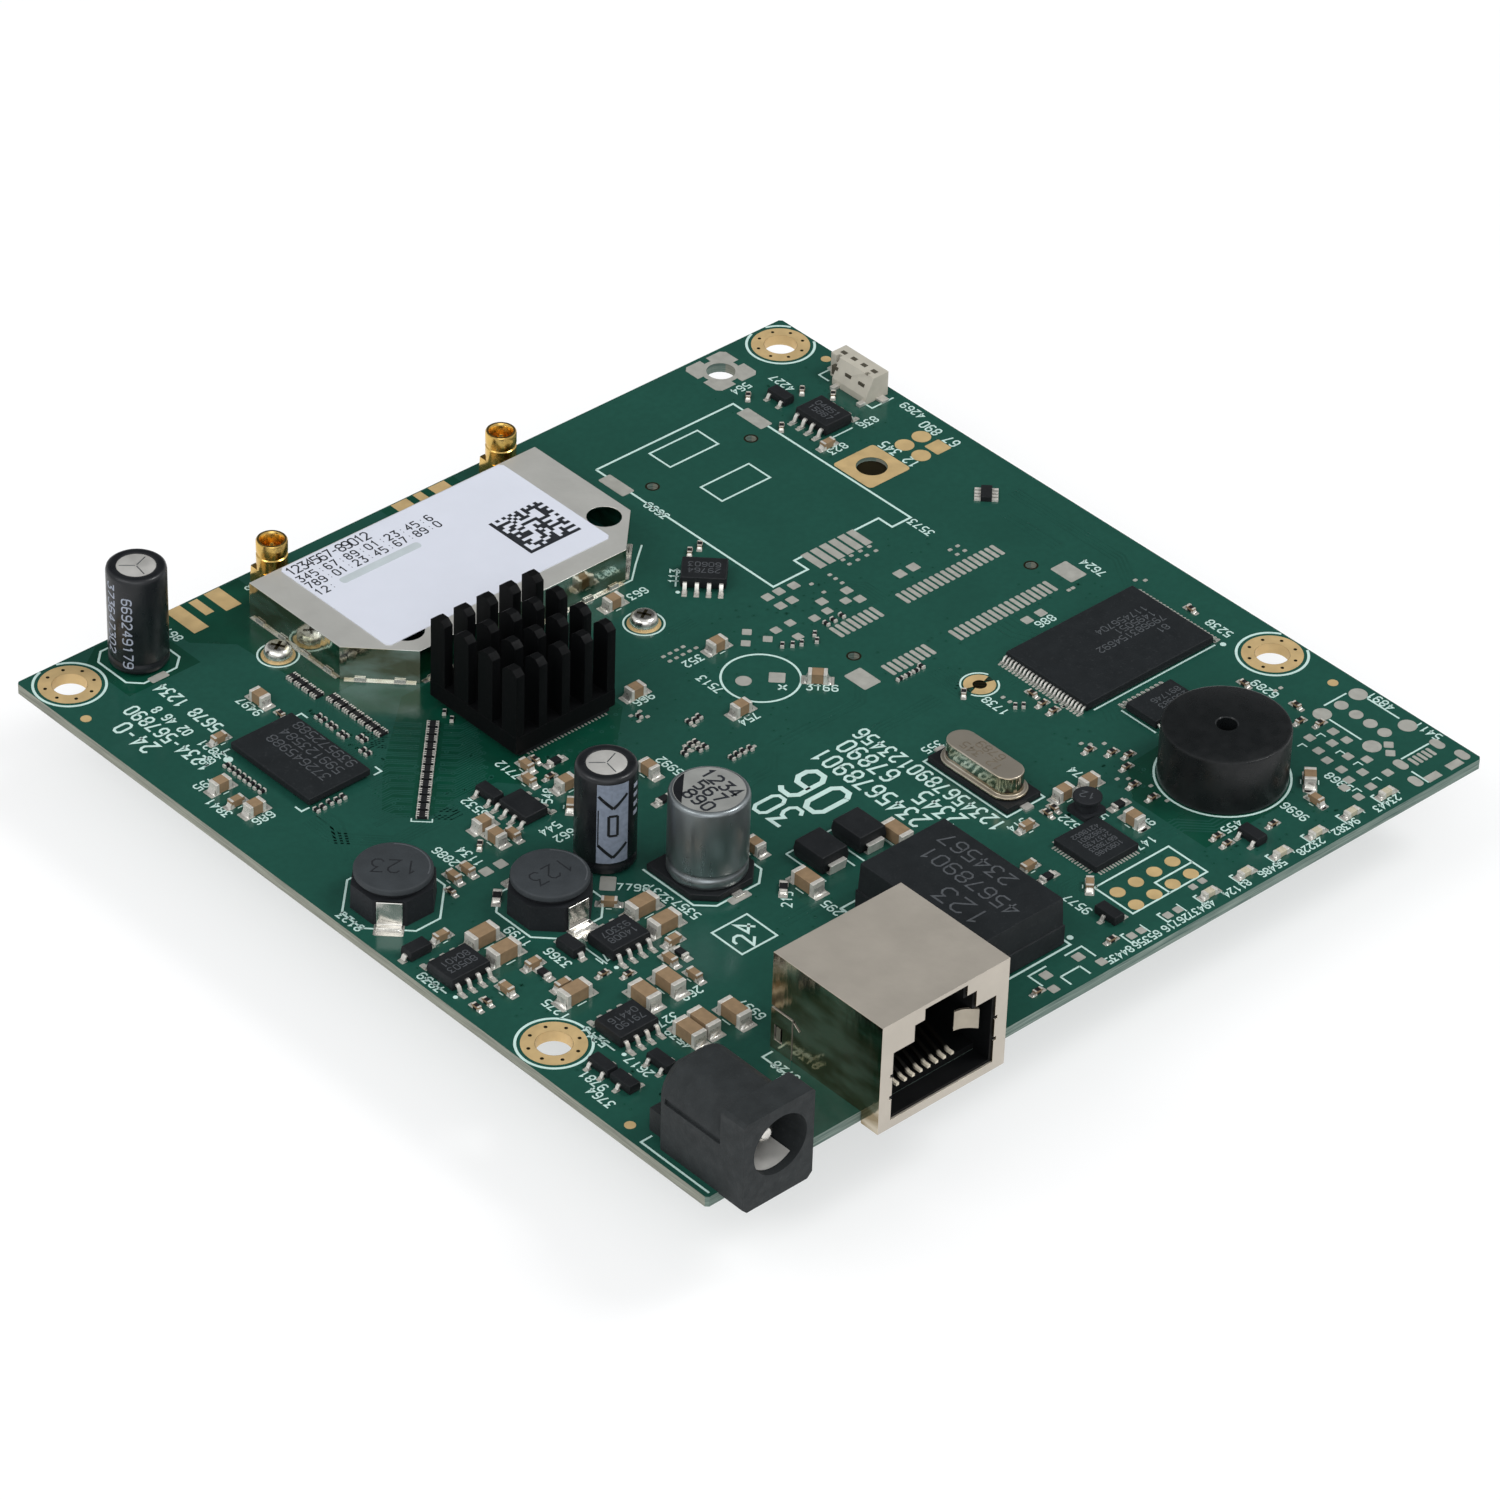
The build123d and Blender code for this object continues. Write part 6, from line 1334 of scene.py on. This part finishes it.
class BOARD_OT_chips(bpy.types.Operator):
    """Chip packages with bent leads, faint marks and a dot at their first lead"""
    bl_idname = "board.chips"
    bl_label = "Chips"

    def execute(self, context):
        width = context.scene.board_sizes.edge_round
        draw = np.random.default_rng(11)
        leads = {name: Batch() for name in ("flash_chip_leads", "serial_chip_leads", "small_outline_leads",
                                            "small_signal_leads", "magnetics_leads")}
        pads = Batch()

        def row(name, x, y, turn, count, pitch, lead):
            """Leads of one shape with their pads, along the side of the chip that turn faces."""
            broad, root, tip, leave, foot = lead
            pad = rounded(foot + 0.45, broad * 1.35, 0.06, 2) + (tip - foot / 2 + 0.05, 0)
            c, s = cos(radians(turn)), sin(radians(turn))
            for k in range(count):
                shift = (k - (count - 1) / 2) * pitch
                place = (x - shift * s, y + shift * c)
                gull(leads[name].place(*place, 0, turn), broad, root, tip, leave, foot)
                pads.place(*place, 0, turn).plate(pad, 0, 0.03)

        for turn in (0, 180):
            row("flash_chip_leads", *FLASH, turn, 24, 0.5, FLASH_LEAD)
            row("magnetics_leads", *MAGNETICS, turn, 12, 1.27, MAGNETICS_LEAD)
            row("serial_chip_leads", *SERIAL, turn + 90, 10, 0.65, SERIAL_LEAD)
            x, y, own = SLIM_PLACE
            row("small_outline_leads", x, y, own + turn + 90, 4, SO_PITCH, SLIM_LEAD)
            for x, y, own in SO_PLACES:
                row("small_outline_leads", x, y, own + turn + 90, 4, SO_PITCH, SO_LEAD)
            for x, y, own in SOD_PLACES:
                row("small_signal_leads", x, y, own + turn, 1, 0, SOD_LEAD)
        for x, y, own in SOT_PLACES:
            row("small_signal_leads", x, y, own, 1, 0, SOT_LEAD)
            row("small_signal_leads", x, y, own + 180, 2, 1.9, SOT_LEAD)
        for name, batch in leads.items():
            batch.build(name + "_bent", FINISHES["lead"], SLOT_OF[name], 40, (name,))
        pads.build("lead_pads", FINISHES["tinned_pad"], "solder_mask_board", 30)

        for node, finish, bevel in (
                ("flash_chip_body", "chip", width), ("serial_chip_body", "chip", width),
                ("small_outline_bodies", "chip_gloss", width), ("small_signal_bodies", "chip_gloss", 0.06),
                ("memory_chip", "chip", width), ("ethernet_chip", "chip", width),
                ("processor", "chip", width), ("radio_chip", "chip", width),
                ("magnetics_body", "chip", width), ("diode_bodies", "chip_gloss", width)):
            dress(node, FINISHES[finish], bevel)
        dress("diode_leads", FINISHES["lead"], 0.04)
        coat("thermal_tape", FINISHES["tape"])

        marks = Batch()

        def mark(node, x, y, turn, words, height, weight):
            marks.place(x, y, top_of(node), turn)
            write(marks, words, height, weight, 0.001, 0.012)

        def digits(count):
            return "".join(str(n) for n in draw.integers(0, 10, count))

        for x, y, count in ((40.1, -13.4, 9), (40.9, -14.6, 7), (39.2, -15.8, 12), (42.4, -17.2, 2)):
            mark("flash_chip_body", x, y, 180, digits(count), 0.85, 0.12)
        for k in range(3):
            mark("memory_chip", -39.9 + 1.7 * k, 23.0, 90, digits(9), 1.1, 0.13)
        for y in (-25.6, -26.7):
            mark("serial_chip_body", 34.4, y, 180, digits(6), 0.7, 0.1)
        for k in range(5):
            mark("ethernet_chip", 12.2, -36.5 - 0.85 * k, 180, digits(7), 0.55, 0.09)
        mark("magnetics_body", -9.9, -41.6, 90, "123", 2.3, 0.22)
        mark("magnetics_body", -6.6, -39.3, 90, "45678901", 1.75, 0.2)
        mark("magnetics_body", -3.7, -37.3, 90, "234567", 1.75, 0.2)
        for x, y, turn in SO_PLACES:
            c, s = cos(radians(turn)), sin(radians(turn))
            for shift in (0.55, -0.55):
                mark("small_outline_bodies", x - shift * s, y + shift * c, turn + 180, digits(5), 0.75, 0.1)
        marks.build("chip_marks", FINISHES["mark"], "chip_moulding", None)
        return {"FINISHED"}


# Jacks, sockets and shield can
class BOARD_OT_network_jack(bpy.types.Operator):
    """Network jack: folded sheet shell, moulding inside it and its eight contacts"""
    bl_idname = "board.network_jack"
    bl_label = "Network jack"

    def execute(self, context):
        dress("network_jack_shield", FINISHES["network_shield"], 0.09, 3, 40)
        coat("network_jack_housing", FINISHES["deep_black"])
        coat("network_jack_contacts", FINISHES["contact"])
        leaf = Batch()
        middle = NETWORK_JACK[0]
        leaf.place(middle + 5.0, -54.9, 5.45)
        across = np.linspace(0, 1, 7)[:, None]
        line = np.c_[-2.1 * across, 1.25 * across + 0.3 * np.sin(pi * across), 0 * across]
        leaf.grid([line + (0, 0, -1.15), line + (0, 0, 1.15)])
        leaf.grid([line + (0.15, 0.2, 1.15), line + (0.15, 0.2, -1.15)])
        for side in (-8.2, 8.2):
            leaf.place(middle + side, -41.35, 2.1).plate(box_outline(0.1, 0.6), -0.75, 0.75, 0.02)
        leaf.build("network_spring_leaf", FINISHES["leaf"], SLOT_OF["network_jack_shield"], 40)
        return {"FINISHED"}


class BOARD_OT_power_jack(bpy.types.Operator):
    """Power jack: moulding with a round bore, centre pin, spring and tabs"""
    bl_idname = "board.power_jack"
    bl_label = "Power jack"

    def execute(self, context):
        dress("power_jack_housing", FINISHES["jack_black"], 0.35, 3, 28)
        dress("power_jack_pin", FINISHES["nickel"], 0.25, 4, 20)
        dress("power_jack_spring", FINISHES["nickel"], 0.04)
        coat("power_jack_tabs", FINISHES["lead"])
        leaf = Batch()
        rows = []
        for depth, radius in ((0.9, 3.27), (1.6, 3.2), (2.6, 2.95), (4.4, 2.85), (6.5, 3.1)):
            arc = circle(radius, 12, 218, 92)
            rows.append(np.c_[arc[:, 0], np.full(12, depth), arc[:, 1]])
        leaf.place(POWER_PIN[0], -56.3, 5.45).grid(rows)
        leaf.build("power_spring_leaf", FINISHES["vent"], SLOT_OF["power_jack_spring"], 40)
        return {"FINISHED"}


class BOARD_OT_sockets(bpy.types.Operator):
    """Coaxial sockets and the side connector"""
    bl_idname = "board.sockets"
    bl_label = "Coaxial sockets and side connector"

    def execute(self, context):
        shells, inner, pins = Batch(), Batch(), Batch()
        for x, y in COAX_PLACES:
            shells.place(x, y).plate(rounded(3.4, 3.4, 0.15, 3), 0, 1.9, 0.08)
            shells.lathe([(1.68, 1.85), (1.68, 3.55), (1.56, 3.65), (1.56, 3.95), (1.68, 4.05), (1.68, 5.25),
                          (1.58, 5.4), (1.34, 5.4), (1.15, 5.12), (1.15, 2.2)], 40, top=False)
            inner.place(x, y).lathe([(1.14, 2.2), (1.14, 3.0), (0.9, 3.05)], 32)
            pins.place(x, y).lathe([(0.33, 3.0), (0.33, 4.55), (0.22, 4.75), (0.1, 4.79)], 20)
        shells.build("coax_shells_turned", FINISHES["brass"], SLOT_OF["coax_socket_shells"], 35,
                     ("coax_socket_shells",))
        inner.build("coax_insulators_turned", FINISHES["insulator"], SLOT_OF["coax_socket_insulators"], 35,
                    ("coax_socket_insulators",))
        pins.build("coax_pins_turned", FINISHES["brass"], SLOT_OF["coax_socket_pins"], 40,
                   ("coax_socket_pins",))
        dress("side_connector_housing", FINISHES["beige"], 0.1)
        dress("side_connector_feet", FINISHES["lead"], 0.03)
        # Painted shade: dark blocks set into the housing where its openings are.
        slots = Batch()
        for y in (35.0, 36.6, 38.2, 39.8):
            slots.place(50.15, y).plate(box_outline(0.55, 0.75), 2.4, 3.015)
        for y in (35.3, 37.4, 39.5):
            slots.place(48.75, y).plate(box_outline(0.5, 0.9), 0.9, 2.0)
        slots.build("side_connector_slots_painted_shade", FINISHES["slot"], SLOT_OF["side_connector_housing"])
        return {"FINISHED"}


CAN_CORNERS = [(-21.6, 25.9), (6.3, 25.9), (11.4, 31.0), (11.4, 46.4), (-27.4, 46.4), (-27.4, 31.7)]
# Lines of the label: marks, y, height, weight and advance
LABEL_LINES = [
    ("1234567-89012", 45.1, 1.3, 0.17, 0.64), ("345:67:89:01:23:45:6", 43.4, 1.05, 0.16, 0.86),
    ("789:01:23:45:67:89:0", 41.95, 1.05, 0.16, 0.86), ("12:", 40.4, 1.05, 0.16, 0.86),
]
LABEL_LEFT = -23.3
CELLS_CORNER = (-1.8, 31.6)
CELLS_SIDE = 6.9
CELLS_COUNT = 16


class BOARD_OT_can(bpy.types.Operator):
    """Shield can with its foot strips, its label and the label's print"""
    bl_idname = "board.can"
    bl_label = "Shield can"

    def execute(self, context):
        dress("shield_can", FINISHES["can"], 0.16, 3, 40)
        coat("can_label", FINISHES["label"])
        strips = Batch()
        for k, corner in enumerate(CAN_CORNERS):
            nearby = CAN_CORNERS[(k + 1) % len(CAN_CORNERS)]
            along = np.array(nearby) - corner
            length = np.hypot(*along)
            strips.place(*corner, 0, degrees(atan2(along[1], along[0])))
            strips.plate(box_outline(length - 0.8, 0.45) + (length / 2, -0.1), 0, 0.05)
            count = int(length / 3.2)
            for n in range(count):
                strips.plate(box_outline(1.3, 0.3) + (length * (n + 0.5) / count, -0.12), 0, 0.45, 0.08)
        strips.build("can_foot_strips", FINISHES["solder"], "tinned_lead", 30)

        ink = Batch()
        low, high = 0.001, 0.014
        top = top_of("can_label")
        for words, y, height, weight, advance in LABEL_LINES:
            ink.place(LABEL_LEFT, y, top)
            write(ink, words, height, weight, low, high, advance, False, 0.8)
        draw = np.random.default_rng(5)
        left, front = CELLS_CORNER
        cell = CELLS_SIDE / CELLS_COUNT
        last = CELLS_COUNT - 1
        for i in range(CELLS_COUNT):
            for j in range(CELLS_COUNT):
                edge = i == 0 or j == 0
                dashed = (i == last and j % 2 == 0) or (j == last and i % 2 == 0)
                if edge or dashed or (i < last and j < last and draw.random() < 0.5):
                    ink.place(left + cell * (i + 0.5), front + cell * (j + 0.5), top)
                    ink.plate(box_outline(cell, cell), low, high)
        ink.build("label_print", FINISHES["label_ink"], "paper_label")
        smear = Batch()
        smear.place(-14.8, 40.4, top).plate(rounded(10.6, 1.05, 0.4, 4), low, high)
        smear.build("label_grey_bar", FINISHES["label_smear"], "paper_label")
        return {"FINISHED"}


# Electrolytic capacitors, inductors and metal parts
def bent_line(batch, line, weight, radius, facing, thick=0.012):
    """Strokes of (across, up) in millimetres, laid on an upright cylinder about the place."""
    line = np.asarray(line, float)
    parts = [1 + int(abs(b[0] - a[0]) / 0.3) for a, b in zip(line[:-1], line[1:])]
    line = np.vstack([line[:1]] + [a + (b - a) * np.linspace(0, 1, n + 1)[1:, None]
                                   for a, b, n in zip(line[:-1], line[1:], parts)])
    for first, last in zip(line[:-1], line[1:]):
        along = last - first
        side = np.array((-along[1], along[0])) / max(np.hypot(*along), 1e-6) * weight / 2
        flat = np.array([first - side, last - side, last + side, first + side])
        angle = radians(facing) + flat[:, 0] / radius
        rows = [np.c_[(radius + extra) * np.cos(angle), (radius + extra) * np.sin(angle), flat[:, 1]]
                for extra in (0.0, thick)]
        batch.tube(rows)


def curved_band(batch, left, right, low, high, radius, facing, thick=0.02, count=9):
    """Rectangle bent round the cylinder, its corners at the angle facing + across / radius."""
    angle = radians(facing) + np.linspace(left, right, count) / radius
    outward = np.c_[np.cos(angle), np.sin(angle), 0 * angle]
    inner, outer = outward * radius, outward * (radius + thick)
    rows = np.stack([inner + (0, 0, low), outer + (0, 0, low), outer + (0, 0, high), inner + (0, 0, high)], 1)
    batch.tube(rows)


SLEEVE_RADIUS = 3.15
COIL_HALF = 4.1
STRIPE_FACING = -118.0
PRINT_FACING = -168.0


class BOARD_OT_capacitors(bpy.types.Operator):
    """Sleeved radial capacitors with stripe and vent, and the bare surface capacitor"""
    bl_idname = "board.capacitors"
    bl_label = "Electrolytic capacitors"

    def execute(self, context):
        sleeves, vents, scores = Batch(), Batch(), Batch()
        for x, y in RADIAL_PLACES:
            sleeves.place(x, y).lathe([(2.85, 0.3), (3.05, 0.32), (3.15, 0.5), (3.15, 1.15), (3.03, 1.3),
                                       (3.03, 1.5), (3.15, 1.65), (3.15, 11.35), (3.06, 11.7), (2.85, 11.86),
                                       (2.6, 11.9), (2.15, 11.88), (2.05, 11.82), (2.05, 11.7)], 64)
            vents.place(x, y).lathe([(2.06, 11.7), (2.06, 11.76), (2.0, 11.78)], 48)
            scores.place(x, y, 11.775, 20)
            for turn in (0, 120, 240):
                c, s = cos(radians(turn)), sin(radians(turn))
                scores.ribbon([(0.1 * c, 0.1 * s), (1.75 * c, 1.75 * s)], 0.13, 0.0, 0.008)
        sleeves.build("sleeves_shrunk", FINISHES["sleeve"], SLOT_OF["radial_capacitor_sleeves"], 40,
                      ("radial_capacitor_sleeves",))
        vents.build("radial_vents", FINISHES["vent"], SLOT_OF["radial_capacitor_cans"], 40,
                    ("radial_capacitor_cans",))
        scores.build("vent_score_lines", FINISHES["aluminium"], "bare_aluminium")
        coat("radial_capacitor_leads", FINISHES["lead"])

        stripe, dark, pale = Batch(), Batch(), Batch()
        stripe.place(*RADIAL_PLACES[1])
        curved_band(stripe, -1.65, 1.65, 1.7, 11.3, SLEEVE_RADIUS, STRIPE_FACING)
        stripe.build("sleeve_stripe", FINISHES["stripe"], SLOT_OF["radial_capacitor_sleeves"], 40)
        on_stripe = SLEEVE_RADIUS + 0.022
        dark.place(*RADIAL_PLACES[1])
        for base in (2.4, 8.4):
            arrow = [(-1.5, base + 1.5), (0, base), (1.5, base + 1.5)]
            bent_line(dark, arrow, 0.34, on_stripe, STRIPE_FACING)
        box = [(-0.45, 5.1), (-0.45, 7.5), (0.45, 7.5), (0.45, 5.1), (-0.45, 5.1)]
        bent_line(dark, box, 0.28, on_stripe, STRIPE_FACING)
        bent_line(dark, [(-1.5, 3.9), (-1.5, 8.2)], 0.12, on_stripe, STRIPE_FACING)
        dark.build("stripe_marks", FINISHES["sleeve"], SLOT_OF["radial_capacitor_sleeves"])
        on_sleeve = SLEEVE_RADIUS + 0.002
        pale.place(*RADIAL_PLACES[0])
        draw = np.random.default_rng(21)
        for centre, high in ((-0.9, 10.9), (1.1, 9.6)):
            words = "".join(str(n) for n in draw.integers(0, 10, 9))
            for k, mark in enumerate(words):
                for stroke in GLYPHS[mark]:
                    points = np.array(stroke) * 0.17
                    line = np.c_[points[:, 1] - 0.5 + centre, high - k * 0.98 - points[:, 0]]
                    bent_line(pale, line, 0.16, on_sleeve, PRINT_FACING)
        pale.place(*RADIAL_PLACES[1])
        for k in range(4):
            curved_band(pale, 2.5, 3.3, 9.9 - 1.1 * k, 10.4 - 1.1 * k, on_sleeve, STRIPE_FACING, 0.008, 4)
        pale.build("sleeve_print", FINISHES["sleeve_mark"], SLOT_OF["radial_capacitor_sleeves"])

        can, disc, wedge, words = Batch(), Batch(), Batch(), Batch()
        can_x, can_y = SURFACE_CAN
        top = top_of("surface_capacitor_can")
        can.place(can_x, can_y)
        can.lathe([(3.6, 0.8), (3.95, 0.85), (4.1, 1.1), (4.1, 1.75), (3.98, 1.95), (3.82, 2.15), (3.82, 2.3),
                   (3.98, 2.45), (4.1, 2.65), (4.1, 9.85), (4.02, 10.12), (3.85, 10.26), (3.6, 10.3)], 72)
        can.build("surface_can_drawn", FINISHES["aluminium"], SLOT_OF["surface_capacitor_can"], 40,
                  ("surface_capacitor_can",))
        disc.place(can_x, can_y, top).plate(circle(3.62, 56), 0, 0.006)
        disc.build("surface_can_top", FINISHES["can_top"], SLOT_OF["surface_capacitor_can"])
        wedge.place(can_x, can_y, top).plate(circle(3.55, 24, 92, 86), 0.004, 0.016)
        wedge.build("surface_can_wedge", FINISHES["sleeve"], SLOT_OF["surface_capacitor_can"])
        for k, text in enumerate(("1234", "567", "890")):
            words.place(can_x + 1.6 - 1.75 * k, can_y - 0.3 * k, top, -90)
            write(words, text, 1.4, 0.27, 0.004, 0.016, 0.95, True, 0.95)
        words.build("surface_can_number", FINISHES["label_ink"], SLOT_OF["surface_capacitor_can"])
        dress("surface_capacitor_base", FINISHES["chip_gloss"], 0.12)
        dress("surface_capacitor_feet", FINISHES["solder"], 0.05)
        return {"FINISHED"}


class BOARD_OT_coils(bpy.types.Operator):
    """Power inductors with engraved numbers, a painted highlight on the top's rim, straps and solder"""
    bl_idname = "board.coils"
    bl_label = "Inductors"

    def execute(self, context):
        tops, cores, marks, shine, solder = Batch(), Batch(), Batch(), Batch(), Batch()
        top = top_of("power_inductor_cores")
        for x, y, turn in COIL_PLACES:
            cores.place(x, y, 0, turn)
            cores.plate(circle(COIL_HALF / cos(radians(22.5)), 8, 22.5), 0, 2.9, 0.06)
            cores.lathe([(3.5, 2.85), (3.5, 3.4)], 48)
            tops.place(x, y, 0, turn)
            tops.lathe([(3.5, 3.3), (3.82, 3.35), (3.95, 3.5), (3.95, 3.92), (3.86, 4.05), (3.7, 4.1)], 72)
            # Painted highlight: a pale arc along one side of each inductor's top rim.
            shine.place(x, y, top)
            ring_plate(shine, 3.52, 3.66, 0.0, 0.008, 30, -60, 110)
            marks.place(x, y, top, 180 - turn if turn < 90 else 180)
            write(marks, "123", 2.0, 0.16, 0.0, 0.01, 0.82, True, 0.85)
            for half in (0, 180):
                solder.place(x, y, 0, turn + half)
                fillet(solder, COIL_HALF + 0.85, 2.5, 0.25, 0.5)
                solder.plate(rounded(1.9, 3.0, 0.15, 2) + (COIL_HALF + 0.8, 0), 0, 0.04)
        cores.build("inductor_lower", FINISHES["ferrite_dark"], SLOT_OF["power_inductor_cores"], 35,
                    ("power_inductor_cores",))
        tops.build("inductor_upper", FINISHES["ferrite"], SLOT_OF["power_inductor_cores"], 40)
        shine.build("inductor_rim_painted_highlight", FINISHES["mark"], SLOT_OF["power_inductor_cores"])
        marks.build("inductor_numbers", FINISHES["ferrite_dark"], SLOT_OF["power_inductor_cores"])
        solder.build("strap_solder", FINISHES["solder"], "tinned_lead", 40)
        dress("power_inductor_straps", FINISHES["nickel"], 0.08)
        small = Batch()
        small.place(*SMALL_COIL).plate(rounded(3.0, 3.0, 0.35, 4), 0, 0.5, 0.05)
        small.lathe([(1.15, 0.5), (1.15, 1.6)], 32)
        small.lathe([(1.1, 1.55), (1.45, 1.6), (1.5, 1.7), (1.5, 1.95), (1.42, 2.05)], 40)
        small.build("small_inductor_wound", FINISHES["ferrite_dark"], SLOT_OF["small_inductor"], 35,
                    ("small_inductor",))
        number = Batch()
        number.place(*SMALL_COIL, top_of("small_inductor"), 120)
        write(number, "12", 0.9, 0.12, 0.0, 0.01)
        number.build("small_inductor_number", FINISHES["mark"], SLOT_OF["small_inductor"])
        return {"FINISHED"}


class BOARD_OT_metal(bpy.types.Operator):
    """Heatsink, crystal, buzzer, screws and nuts"""
    bl_idname = "board.metal"
    bl_label = "Heatsink, crystal, buzzer, screws"

    def execute(self, context):
        dress("heatsink", FINISHES["anodised"], 0.1, 2, 25)
        dress("crystal_can", FINISHES["crystal"], 0.2, 3, 30)
        dress("crystal_base", FINISHES["chip_gloss"], 0.06)
        coat("crystal_tabs", FINISHES["lead"])
        number = Batch()
        for shift, words in ((-0.55, "12.345"), (0.75, "6789")):
            number.place(CRYSTAL[0] + shift, CRYSTAL[1], top_of("crystal_can"), 90)
            write(number, words, 1.0, 0.16, 0.002, 0.012)
        number.build("crystal_number", FINISHES["dust_mark"], SLOT_OF["crystal_can"])
        buzzer = Batch()
        buzzer.place(*BUZZER)
        buzzer.lathe([(6.6, 0), (6.7, 0.12), (6.66, 6.15), (6.55, 6.38), (6.3, 6.5), (1.2, 6.5), (1.08, 6.4),
                      (1.05, 4.0)], 96, top=False)
        buzzer.plate(circle(1.06, 32), 3.9, 4.02)
        buzzer.build("buzzer_case", FINISHES["buzzer"], SLOT_OF["buzzer"], 30, ("buzzer",))
        coat("buzzer_pins", FINISHES["lead"])
        screws, cross, rings = Batch(), Batch(), Batch()
        for x, y in SCREW_PLACES:
            screws.place(x, y).lathe([(1.5, 0.0), (1.52, 0.4), (1.46, 0.85), (1.25, 1.12), (0.95, 1.24)], 40)
            screws.lathe([(1.0, -BOARD_TOP - TAIL), (1.0, 0.0)], 24)
            # Painted shade: each screw's cross recess drawn as a flat dark cross.
            cross.place(x, y, 1.24, 30)
            for turn in (0, 90):
                c, s = cos(radians(turn)), sin(radians(turn))
                cross.ribbon([(-0.8 * c, -0.8 * s), (0.8 * c, 0.8 * s)], 0.36, -0.01, 0.008)
            ring_plate(rings.place(x, y), 1.45, 1.8, 0, 0.03)
        screws.build("screws_turned", FINISHES["screw"], SLOT_OF["screws"], 45, ("screws",))
        cross.build("screw_crosses_painted_shade", FINISHES["dark_hole"], SLOT_OF["screws"])
        rings.build("screw_pads", FINISHES["gold_pad"], "solder_mask_board")
        dress("nuts", FINISHES["screw"], 0.12)
        return {"FINISHED"}


class BOARD_PT_panel(bpy.types.Panel):
    """Lists every step of the board's looks"""
    bl_label = "Router board"
    bl_idname = "BOARD_PT_panel"
    bl_space_type = "VIEW_3D"
    bl_region_type = "UI"
    bl_category = "Router board"

    def draw(self, context):
        layout = self.layout
        for group in (context.scene.board_colours, context.scene.board_sizes, context.scene.board_stage):
            column = layout.column(align=True)
            for key in group.__annotations__:
                column.prop(group, key)
        for step in STEPS:
            layout.operator(step.bl_idname)


GROUPS = [("board_colours", BoardColours), ("board_sizes", BoardSizes), ("board_stage", BoardStage)]
STEPS = [
    BOARD_OT_mask, BOARD_OT_pads, BOARD_OT_print, BOARD_OT_chip_parts, BOARD_OT_chips,
    BOARD_OT_network_jack, BOARD_OT_power_jack, BOARD_OT_sockets, BOARD_OT_can,
    BOARD_OT_capacitors, BOARD_OT_coils, BOARD_OT_metal, STAGE_OT_room,
]


def register():
    for name, group in GROUPS:
        bpy.utils.register_class(group)
        setattr(bpy.types.Scene, name, PointerProperty(type=group))
    for made in STEPS + [BOARD_PT_panel]:
        bpy.utils.register_class(made)


def unregister():
    for made in reversed(STEPS + [BOARD_PT_panel]):
        bpy.utils.unregister_class(made)
    for name, group in reversed(GROUPS):
        delattr(bpy.types.Scene, name)
        bpy.utils.unregister_class(group)


def main():
    register()
    make_finishes()
    for step in STEPS:
        family, name = step.bl_idname.split(".")
        getattr(getattr(bpy.ops, family), name)()
    bpy.context.view_layer.update()


if __name__ == "__main__":
    main()
